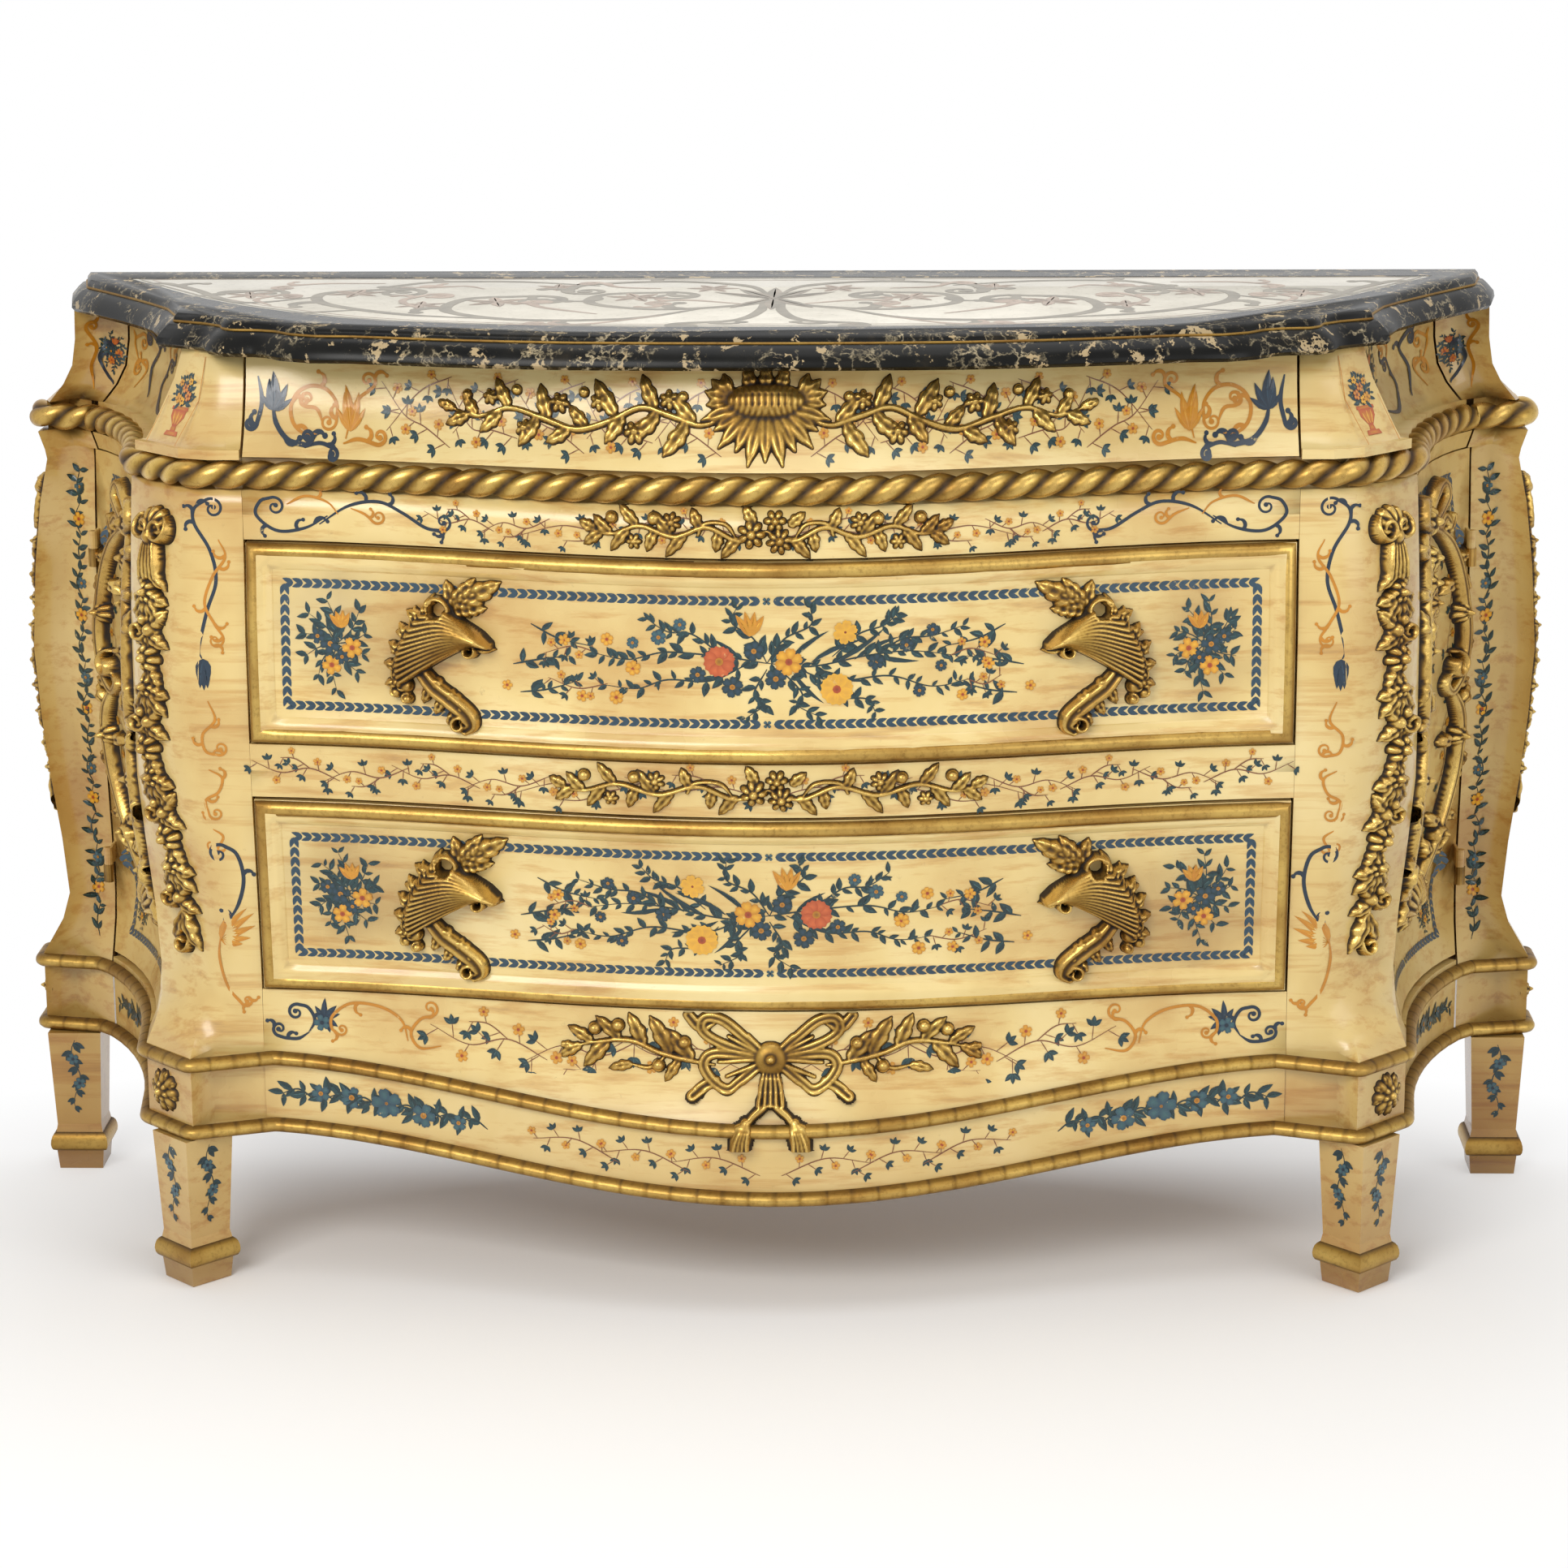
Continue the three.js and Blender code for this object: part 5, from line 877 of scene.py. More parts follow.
IVORY_PAINT = ivory_paint()
SPRIG_PAINT = sprig_paint()
CARVED_GILT = old_gilding("carved_gilding", True)
PLAIN_GILT = old_gilding("plain_gilding", False)
DARK_MARBLE = dark_marble()
PALE_STONE = pale_stone()
STONE_SCROLLS = stone_scrolls()
OAK = plain_oak()
BRASS = hinge_brass()
FINISHES = {"painted_wood": IVORY_PAINT, "gilding": PLAIN_GILT, "oak": OAK, "dark_marble": DARK_MARBLE,
            "inlay": PALE_STONE, "brass": BRASS}
SLOTS = {s["node"]: s["material_slot"] for s in frame["record"]["subparts"]}
BODIES = frame["record"]["behaviour"]["bodies"]
BODY_OF = {name: body for body, names in BODIES.items() for name in names}


# Boards, posts and stone: smooth copies of the frame's pieces
def smooth_copy(name):
    """A copy of a frame piece, its facets joined and shaded smooth."""
    deselect()
    copy = frame["nodes"][name].copy()
    copy.data = copy.data.copy()
    for key in list(copy.keys()):
        del copy[key]
    copy.name = name + "_finished"
    copy.parent = None
    bpy.context.collection.objects.link(copy)
    copy.select_set(True)
    bpy.context.view_layer.objects.active = copy
    bpy.ops.object.mode_set(mode="EDIT")
    bpy.ops.mesh.select_all(action="SELECT")
    bpy.ops.mesh.remove_doubles(threshold=0.00002)
    bpy.ops.object.mode_set(mode="OBJECT")
    smooth_below(copy, 28)
    copy.select_set(False)
    return copy


CARVED_KINDS = ("_pull", "_drop", "rosette", "cartouche", "garland", "bow", "frieze_drawer_mount")
CARVED_NODES = [n for n in SLOTS if any(kind in n for kind in CARVED_KINDS)]
for name, slot in SLOTS.items():
    if name not in CARVED_NODES and not name.endswith("_moulding"):
        finish_piece(smooth_copy(name), BODY_OF[name], slot, FINISHES[slot], [name])


# Skins of the chest, right-hand side
def front_skin(nodes, half, foot, top, pad=(2, 2)):
    """A skin seen from the front, as far as half to each side."""
    return Skin(nodes, (-half, half), (foot, top), pad=pad)


frieze_skin = front_skin(["frieze_drawer_front"], 476, 802, 886)
upper_skin = front_skin(["upper_rail"], 478, 726, 766)
middle_skin = front_skin(["middle_rail"], 478, 483, 528)
bottom_skin = front_skin(["bottom_rail"], 478, 232, 284, (2, 12))
apron_skin = front_skin(["front_apron"], 478, 152, 170, (2, 8))
field_skins = {n: front_skin([n + "_drawer_front"], FIELD - 6, z0 + FRAME_WIDTH + 6, z1 - FRAME_WIDTH - 6,
                             (8, 8)) for n, (z0, z1) in DRAWER_LEVELS.items()}


def post_face(z):
    """Middle, at height z, of the face of the right front post that cuts the corner."""
    points = [v.co for v in frame["nodes"]["right_front_post"].data.vertices]
    near = [p for p in points if abs(p.z - z) < 0.035]
    reach = max(p.x - p.y for p in near)
    flat = [p for p in near if p.x - p.y > reach - 0.012]
    return sum((p.x + p.y) / 2 for p in flat) / len(flat)


POST_ALONG = (CANT, CANT, 0)
POST_VIEW = (-CANT, CANT, 0)
POST_MIDDLE = post_face(0.5)


def post_skin(a_range, foot, top, step=5, pad=(0, 0)):
    """Face of the right front post that cuts the corner."""
    return Skin(["right_front_post"], a_range, (foot, top), POST_VIEW, POST_ALONG,
                (POST_MIDDLE, POST_MIDDLE, 0), step, pad)


def post_offset(z):
    """How far the face's middle at this height lies from its middle half-way up, in millimetres."""
    return (post_face(z) - POST_MIDDLE) / CANT / MM


def side_skin(nodes, foot, top, pad=(1, 1)):
    """A skin of the right-hand side, with a run from its front edge."""
    return Skin(nodes, (-60, 205), (foot, top), view=(-1, 0, 0), along=(0, 1, 0), pad=pad, even=True)


door_skin = side_skin(["right_side_door"], 241, 746)


def back_side_skin(foot, top, pad):
    """Outer side of the right back post."""
    return Skin(["right_back_post"], (194, 226), (foot, top), (-1, 0, 0), (0, 1, 0), step=4, pad=pad)


def gilt(relief, name, skin, node=None, body="case", shift=(0, 0), scale=(1, 1), lift=0.0):
    """A gilt carving laid on a skin."""
    finish_sides(relief.piece(name, skin, shift, scale, lift), body, "gilding", CARVED_GILT, node)


def painted(paint, name, skin, body="case", material=SPRIG_PAINT, slot="painted_wood"):
    """A painted drawing laid on a skin."""
    finish_sides(paint.piece(name, skin), body, slot, material)


# Gilt moulding of each drawer, with a cream slope inside it
def drawer_frame(name, part, profile, material, slot):
    """Carries a profile round the edge of a drawer's field."""
    z0, z1 = DRAWER_LEVELS[name]
    half = PANEL_EDGE + 0.2
    along, up = 60, 18
    points, tones = [], []
    for inset, high in profile:
        ax, z_low, z_high = half - inset, z0 + inset, z1 - inset
        loop = [(a, z_low) for a in np.linspace(-ax, ax, along, endpoint=False)]
        loop += [(ax, b) for b in np.linspace(z_low, z_high, up, endpoint=False)]
        loop += [(a, z_high) for a in np.linspace(ax, -ax, along, endpoint=False)]
        loop += [(-ax, b) for b in np.linspace(z_high, z_low, up, endpoint=False)]
        loop = np.array(loop)
        points.append(field_skins[name].at(loop[:, 0], loop[:, 1], np.full(len(loop), float(high))))
        # Higher lines of the moulding get a lighter tone: painted highlight on top, painted shade low down
        tones += [min(max(0.2 + high / 18, 0.1), 0.95)] * len(loop)
    piece = mesh_object(f"{name}_drawer_{part}", np.vstack(points), bands(len(profile), len(points[0])))
    carving_shade_tone(piece, tones)
    smooth_below(piece, 50)
    finish_piece(piece, f"{name}_drawer", slot, material)


# Distance in from the panel's edge and height of each line along the moulding and the slope
GILT_PROFILE = [(0, -1.5), (0, 3.6), (2, 7.0), (4.5, 9.2), (7.5, 10.2), (10.5, 9.6), (13, 7.6),
                (14.6, 5.4), (15, 4.2)]
CREAM_PROFILE = [(14.6, 4.6), (15.4, 5.6), (17.5, 5.2), (20, 3.6), (22.5, 1.4), (24, 0.5), (24.5, -1.0)]
for name in DRAWER_LEVELS:
    drawer_frame(name, "moulding", GILT_PROFILE, CARVED_GILT, "gilding")
    drawer_frame(name, "slope", CREAM_PROFILE, IVORY_PAINT, "painted_wood")


# Rope and base mouldings, swept round the chest
# Rays meet the outline from round this point, as far back as BACK_EDGE; mouldings keep just inside the box
CENTRE = Vector((0, 0.0864, 0))
BACK_EDGE = 0.2306
INSIDE = 0.0002
BACK_FACE = cad_box[1][1] - INSIDE
WIDE = (cad_box[0][0] + INSIDE, cad_box[1][0] - INSIDE)


def ring_path(nodes, level, steps=720):
    """Outline of the chest at a level, which may change with x, from one back corner round the front.

    Gives points 2.5 mm apart and the length run so far at each.
    """
    tree = tree_of(nodes)
    path = []
    for angle in np.linspace(math.radians(-193.5), math.radians(13.5), steps):
        out = Vector((math.cos(angle), math.sin(angle), 0))
        start = CENTRE + out * 1.2
        x = start.x * 0.6
        for _ in range(4):
            hit = tree.ray_cast(start + Vector((0, 0, level(x) * MM)), -out)[0]
            x = hit.x if hit is not None else x
        if hit is not None and hit.y < BACK_EDGE and (hit - CENTRE).dot(out) > 0:
            path.append((hit.x, hit.y, level(hit.x)))
    path = np.array(path)
    run = np.concatenate([[0], np.cumsum(np.linalg.norm(np.diff(path[:, :2], axis=0), axis=1))])
    want = np.arange(0, run[-1], 0.0025)
    return np.column_stack([np.interp(want, run, path[:, k]) for k in range(3)]), want / MM


def softened(path, times):
    """Evens out the corners of a path."""
    for _ in range(times):
        path[1:-1] = (path[1:-1] * 2 + path[:-2] + path[2:]) / 4
    return path


def sweep(name, path, run, section, replaced):
    """Carries a section of out, up pairs along a path; the section can change along it."""
    along = np.gradient(path[:, :2], axis=0)
    along /= np.linalg.norm(along, axis=1, keepdims=True)
    out = np.column_stack([along[:, 1], -along[:, 0]])
    points, tones = [], []
    for place, side, at in zip(path, out, run):
        pairs, tone = section(at)
        for o, u in pairs:
            points.append((np.clip(place[0] + side[0] * o * MM, *WIDE),
                           min(place[1] + side[1] * o * MM, BACK_FACE), (place[2] + u) * MM))
        tones += tone
    count = len(pairs)
    ends = [tuple(range(count))[::-1], tuple((len(path) - 1) * count + i for i in range(count))]
    piece = mesh_object(name, points, bands(len(path), count) + ends)
    carving_shade_tone(piece, tones)
    piece.data.shade_smooth()
    finish_piece(piece, "case", "gilding", CARVED_GILT, replaced)


ROPE_RADIUS = 13.3
ROPE_OUT = 7.4


def rope_section(at, strands=2, pitch=60.0, count=30):
    """A rope of strands that turn once in each pitch."""
    turn = 2 * math.pi * at / pitch
    pairs, tone = [], []
    for k in range(count):
        angle = 2 * math.pi * k / count
        lobe = abs(math.cos(strands * (angle - turn) / 2)) ** 0.8
        reach = ROPE_RADIUS * (0.62 + 0.38 * lobe)
        pairs.append((ROPE_OUT + reach * math.cos(angle), reach * math.sin(angle)))
        # Painted shade in the creases between strands and painted highlight on them
        tone.append(0.12 + 0.68 * lobe)
    return pairs, tone


REED_OUT = 9.6
REED_HALF = 6.9


def reed_section(at, pitch=24.0):
    """A half round with a faint nick at each step."""
    nick = math.exp(-((((at / pitch) % 1) - 0.5) * pitch / 1.7) ** 2)
    pairs, tone = [], []
    for k in range(13):
        angle = math.pi * (k / 12 - 0.5)
        pairs.append((0.4 + REED_OUT * math.cos(angle) * (1 - 0.04 * nick), REED_HALF * math.sin(angle)))
        # Painted shade in each nick and towards the top and bottom of the round, darkest on the hidden back
        tone.append(0.76 - 0.16 * nick - 0.3 * abs(math.sin(angle)))
    return pairs + [(-2.0, 5.0), (-2.0, -5.0)], tone + [0.1, 0.1]


def line_section(at):
    """A thin six-sided bar."""
    corners = [k * math.pi / 3 for k in range(6)]
    return [(1.3 * math.cos(c), 1.5 * math.sin(c)) for c in corners], [0.5] * 6


def base_drop(x):
    """How far the base mouldings have dropped at x, in metres from the middle."""
    return BASE_DROP * (1 + math.cos(math.pi * min(abs(x) * 1000 / BASE_HALF, 1))) / 2


def both_sides(*names):
    return [side + name for side in ("right_", "left_") for name in names]


rope_nodes = ["upper_rail"] + both_sides("front_post", "side_frieze", "back_post")
rope_path, rope_run = ring_path(rope_nodes, lambda x: ROPE_LEVEL)
sweep("rope_finished", softened(rope_path, 4), rope_run, rope_section, ["rope_moulding"])
base_nodes = ["front_apron", "bottom_rail"] + both_sides("front_post", "side_apron", "back_post")
for name, (level, above) in BASE_LEVELS.items():
    path, run = ring_path(base_nodes, lambda x, z=level - above: z - base_drop(x))
    path[:, 2] += above
    sweep(name + "_carved", softened(path, 2), run, reed_section, [name])
slab_path, slab_run = ring_path(["marble_top"], lambda x: SLAB_LINE_LEVEL)
sweep("slab_gilt_line", softened(slab_path, 1), slab_run, line_section, None)


# Drawer pull, right-hand side, drawn about its own middle
def pull_relief():
    r = Relief((-66, 62), (-84, 84), 0.9)
    for turn, reach, wide in ((142, 56, 24), (120, 40, 17), (166, 34, 17), (134, 46, 16)):
        r.leaf(-8, 36, turn, reach, wide, 13, 0.1, 5)
    r.leaf(-10, 40, 84, 26, 15, 10, -0.15)
    for k in range(11):
        lean = (k - 5) / 5
        x, y = 37 - 10 * lean ** 2 - 14 * lean, 4 + 35 * lean
        out = 8 + 62 * lean
        c, s = heading(out)
        r.leaf(x - 6 * c, y - 6 * s, out + 14 * (-1) ** k, 19, 12, 14, 0.3 * (-1) ** k, 2, 2)
        r.leaf(x - 9 * c, y - 9 * s, out, 15, 10, 17, 0, 2, 3)
    for k in range(13):
        lean = (k - 6) / 6
        x, y = 34 - 10 * lean ** 2 - 14 * lean, 4 + 33 * lean
        rib = curve([(-46, 8 + 2 * lean), (-30, 15 + 6 * lean), (-4, 16 + 19 * lean), (x, y)])
        r.stroke(rib, 6.6, 17, 1, 0, 0.42, 11 - 9 * lean ** 2)
    r.stroke(spiral(-26, 2, 8, 80, 1.2), 5.5, 16)
    r.leaf(-30, 8, 205, 20, 12, 15, -0.2, 2)
    for x, y, size in ((36, -34, 8), (43, -24, 6), (44, -40, 6.5), (34, -46, 6)):
        r.bead(x, y, size, 12)
        r.stroke(spiral(x, y, size, 120, -0.8), 3, 13)
    tail = curve([(20, -20), (8, -34), (-8, -46), (-22, -58), (-26, -68), (-20, -74)])
    r.stroke(tail, 19, 15, 0.5, 5, 0.8)
    for x, y, turn, size in (
            (14, -24, -150, 26), (2, -38, -170, 24), (-10, -48, -165, 20), (12, -30, -80, 22),
            (0, -42, -75, 20), (-12, -54, -70, 18)):
        r.leaf(x, y, turn, size, 12, 13, 0.2, 3)
    r.stroke(spiral(-15, -68, 9, 180, -1.2), 5.5, 14)
    r.stroke(ring_of(3, 37, 10.5, 2 * math.pi, 26), 6.5, 14, 1, 0, 1)
    # The hole of the ring
    r.h[np.hypot(r.a - 3, r.b - 37) < 6.6] = DIVE
    return r


carved_pull = pull_relief()
for name, (z0, z1) in DRAWER_LEVELS.items():
    skin = Skin([name + "_drawer_front"], (PULL_PLACE - 75, PULL_PLACE + 77), (z0 + 26, z1 - 26), step=4,
                pad=(2, 6))
    gilt(carved_pull, f"right_{name}_pull_carved", skin, f"right_{name}_drawer_pull", f"{name}_drawer",
         (PULL_PLACE, (z0 + z1) / 2 + 1))


# Frieze drawer: ribbed shell over a fan of leaves, with a flowering branch to each side
def frieze_relief():
    r = Relief((-300, 300), (-46, 46), 1.2)
    for k in range(11):
        turn = -90 + (k - 5) * 14.5
        reach = 55 - 1.0 * abs(k - 5) - (6 if k % 2 else 0)
        r.leaf(2.2 * (k - 5), 13, turn, reach, 15, 8.5, 0, 2)
    for side in (1, -1):
        for turn, size in ((62, 24), (35, 26), (8, 26), (-20, 24)):
            r.leaf(side * 30, 16, turn if side > 0 else 180 - turn, size, 13, 8, 0.15 * side, 2)
        r.leaf(side * 12, 22, 90 - side * 14, 24, 13, 8)
    r.leaf(0, 22, 90, 26, 13, 9)
    r.barrel(0, 14, 0, 37, 16, 15, 13)
    branch = curve([(30, 2), (58, -6), (86, 2), (112, 8), (140, -4), (170, -12), (200, -4), (232, 4),
                    (262, -4), (286, 2)])
    r.stroke(branch, 6, 5, 0.45)
    for x, y, turn, size, wide in (
            (62, -4, 40, 34, 15), (70, -4, -58, 36, 17), (98, 6, 62, 34, 15), (96, 4, -50, 34, 16),
            (128, 2, -62, 30, 15), (134, 0, 52, 38, 17), (160, -10, 40, 26, 13), (176, -11, -35, 26, 13),
            (196, -6, 70, 34, 15), (206, -3, -60, 30, 14), (232, 4, 58, 30, 13), (240, 2, -50, 28, 13),
            (262, -4, 50, 24, 12), (270, -2, -30, 24, 12), (282, 2, 12, 20, 10)):
        r.leaf(x, y, turn, size, wide, 6.5, 0.1, 3)
    for x, y, radius in (
            (86, 15, 10), (117, -13, 11), (150, 12, 9), (186, 10, 10), (218, -13, 9), (250, 13, 8)):
        r.blossom(x, y, radius, 6, 7.5, x)
        r.bead(x, y, radius * 0.36, 9)
    for x, y in ((74, 18), (164, 20), (226, 20), (272, 14)):
        r.bead(x, y, 5, 6)
    r.both()
    return r


gilt(frieze_relief(), "frieze_drawer_carving", frieze_skin, "frieze_drawer_mount", "frieze_drawer",
     (0, FRIEZE_MOUNT_LEVEL))


# Garlands of the two rails
def garland_relief(half, up):
    """Three flowers with a leafy stalk to each side, as far as half along and up from the middle line."""
    r = Relief((-half - 8, half + 8), (-up - 4, up + 4), 1.0)
    s = half / 165
    stalk = curve([(0, 2), (24 * s, -7), (52 * s, 5), (82 * s, -4), (112 * s, 5), (140 * s, -3),
                   (160 * s, 3)])
    r.stroke(stalk, 5, 5, 0.45)
    r.stroke(curve([(26 * s, -4), (36 * s, 8), (54 * s, 8), (60 * s, -2)]), 4, 4.5, 0.8)
    for x, y, turn, size in (
            (22, -4, -40, 26), (40, 2, -70, 20), (58, 4, 60, 20), (70, 0, -42, 30), (84, -3, 46, 28),
            (98, 2, -60, 22), (114, 5, 42, 26), (122, 3, -44, 28), (138, -3, 38, 24), (146, -1, -28, 22),
            (152, 1, 18, 18)):
        r.leaf(x * s, y, turn, size, 12, 6, 0.12 if turn > 0 else -0.12, 3)
    r.bead(100 * s, 12, 6, 8)
    r.bead(138 * s, 12, 6, 8)
    r.blossom(84 * s, 9, 10, 7, 7)
    r.blossom(118 * s, -9, 8, 6, 6)
    r.both()
    r.blossom(-13, -1, 14, 7, 10)
    r.blossom(12, -7, 13, 8, 9, 10)
    r.blossom(8, 11, 11, 6, 8)
    r.leaf(-10, 8, 120, 20, 12, 6)
    r.leaf(20, 6, 40, 20, 12, 6)
    for x, y in ((-13, -1), (12, -7), (8, 11)):
        r.bead(x, y, 4, 11)
    return r


for name, skin, half, up in (("upper", upper_skin, 165, 21), ("middle", middle_skin, 200, 22)):
    gilt(garland_relief(half, up), f"{name}_rail_carving", skin, f"{name}_rail_garland",
         shift=(0, GARLAND_LEVELS[name]))


# Ribbon bow on the bottom rail, with its branches and tassels
class BowSkin:
    """The bottom rail, passing out over the upper base moulding to the apron."""

    MOULDING_OUT = 11.5

    def at(self, a, b, h):
        out = self.MOULDING_OUT * np.clip((212 - base_curve(a) * 0.97 - np.asarray(b, float) + 26) / 14,
                                          0, 1)
        return bottom_skin.at(a, b, np.asarray(h, float) + out)


def base_curve(a):
    """The drop of the base mouldings at places along the front, from a level 16 mm down."""
    share = np.clip(np.abs(np.asarray(a, float)) / BASE_HALF, 0, 1)
    return BASE_DROP * (1 + np.cos(np.pi * share)) / 2 - 16


def bow_relief():
    r = Relief((-196, 196), (-112, 44), 1.1)
    for points in ([(4, 4), (24, 20), (44, 36), (60, 38), (64, 28), (54, 18), (30, 8), (8, 2)],
                   [(4, 2), (30, 4), (54, 4), (62, -6), (54, -20), (40, -28), (28, -20), (8, -4)]):
        r.stroke(curve(points), 11, 6.5, 0.9, 2.5, 0.8)
    for turn, reach in ((48, 30), (28, 44), (12, 50), (-4, 48), (-22, 44), (-42, 34)):
        c, s = heading(turn)
        r.stroke([(8 * c, 8 * s), (reach * c * 0.6, reach * s * 0.6), (reach * c, reach * s)], 4.5, 5.5,
                 0.8)
    r.stroke(curve([(54, 34), (66, 30), (76, 40)]), 12, 6, 0.9, 3, 0.7)
    r.stroke(curve([(50, -20), (62, -26), (72, -34)]), 12, 6, 0.9, 3, 0.7)
    branch = curve([(52, -6), (78, -2), (104, 4), (130, 14), (158, 12), (184, 6)])
    r.stroke(branch, 5.5, 5.5, 0.4)
    r.stroke(curve([(96, 2), (112, -10), (130, -8)]), 4, 5, 0.5)
    for x, y, turn, size in (
            (72, -4, 56, 40), (92, 2, 66, 42), (84, -2, -50, 26), (118, 8, 72, 36), (140, 14, 48, 32),
            (150, 13, -40, 36), (166, 11, 36, 28), (176, 8, -24, 26), (182, 6, 8, 18), (128, -8, -6, 24)):
        r.leaf(x, y, turn, size, size * 0.44, 6.5, -0.1, 3)
    for x, y in ((80, 14), (104, -8), (142, 28), (164, 24)):
        r.bead(x, y, 6.4, 9)
    r.stroke(curve([(0, -12), (5, -26), (2, -38), (16, -52), (22, -62)]), 7, 7, 0.8, 2)
    r.stroke(curve([(22, -58), (26, -70), (29, -84)]), 20, 10, 0.9, 0, 0.55)
    for k in (-1.5, -0.5, 0.5, 1.5):
        r.stroke(curve([(22 + k * 2.4, -62), (26 + k * 3.4, -74), (28 + k * 4.6, -88)]), 4.6, 11, 0.8)
    r.both()
    for k in (-2, -1, 0, 1, 2):
        r.stroke([(k * 3.2, -12), (k * 4.6, -26), (k * 5.4, -42)], 5, 8.5, 0.8)
    r.bead(0, 0, 16.5, 10)
    r.bead(0, 0, 10.5, 11)
    r.bead(0, 0, 6, 15)
    return r


gilt(bow_relief(), "apron_bow_carved", BowSkin(), "apron_bow", shift=(0, BOW_LEVEL))


# Drops of leaves and buds down the corner posts
def drop_relief(half, foot, top, seed, depth=1.0):
    """A shell over a waving stem with clusters of leaves and buds, in three kinds by turns."""
    r = Relief((-half - 4, half + 4), (foot - 6, top + 6), 1.0)
    long = top - foot
    wave = np.linspace(0, 1, 14)
    spine = np.column_stack([4 * np.sin(wave * 14 + seed), top - 16 - wave * (long - 40)])
    r.stroke(spine, 9, 8, 0.5)
    head = top - half
    r.shell(0, head - 4, 90, half, 100, 7, 14)
    for side in (1, -1):
        r.stroke(spiral(side * half * 0.42, head, half * 0.56, 90 - 30 * side, -1.3 * side), 7, 17)
    for k in range(5):
        r.stroke([((k - 2) * half * 0.12, head - 10), ((k - 2) * half * 0.2, head - 28),
                  ((k - 2) * half * 0.24, head - 46)], half * 0.26, 15, 0.7, 0, 0.7)
    r.bead(0, head - 8, half * 0.4, 19)
    r.leaf(0, head - 34, -58, half * 1.2, 15, 13, 0.2)
    r.leaf(0, head - 34, -122, half * 1.2, 15, 13, -0.2)
    y = head - 62
    turn = 0
    while y > foot + 44:
        x = 4 * math.sin((top - 16 - y) / (long - 40) * 14 + seed)
        kind = turn % 3
        if kind == 0:
            for lean in (-160, -125, -90, -55, -20):
                r.leaf(x, y, lean, half * (1.35 if abs(lean + 90) < 40 else 1.05), 16, 13,
                       0.1 if lean > -90 else -0.1)
            r.blossom(x, y + 2, half * 0.56, 6, 17, turn * 20)
        elif kind == 1:
            for side in (1, -1):
                r.leaf(x, y, 90 - side * 62, half * 1.1, 16, 12, 0.2 * side)
                r.leaf(x, y - 4, -90 + side * 50, half * 1.15, 16, 12, 0.2 * side)
            r.stroke(spiral(x + half * 0.5, y - 4, half * 0.4, 180, 1.1), 5, 15)
            r.bead(x - 5, y - 2, half * 0.3, 16)
            r.bead(x + 5, y + 6, half * 0.26, 15)
        else:
            r.blossom(x + 3, y, half * 0.7, 7, 17, turn * 15)
            r.leaf(x, y + 10, 118, half, 14, 11)
            r.leaf(x, y + 8, 55, half * 0.9, 14, 11)
            r.leaf(x, y - 8, -70, half * 1.15, 15, 12)
            r.leaf(x, y - 8, -118, half, 15, 12)
        y -= 29
        turn += 1
    r.leaf(0, foot + 46, -72, 42, 20, 13, 0.15)
    r.leaf(0, foot + 46, -110, 44, 19, 13, -0.15)
    r.stroke(spiral(3, foot + 12, 10, 150, 1.1), 6, 13)
    r.h = np.where(r.h > 0, r.h * depth, r.h)
    return r


gilt(drop_relief(25, 312, 752, 0.4), "right_front_drop_carved",
     post_skin((-30, 30), 300, 758, pad=(1, 1)), "right_front_post_drop")
gilt(drop_relief(14.5, 372, 728, 2.0, 0.55), "right_back_drop_carved", back_side_skin(236, 746, (2, 2)),
     "right_back_post_drop", shift=(BACK_POST_MIDDLE, 0), lift=0.6)


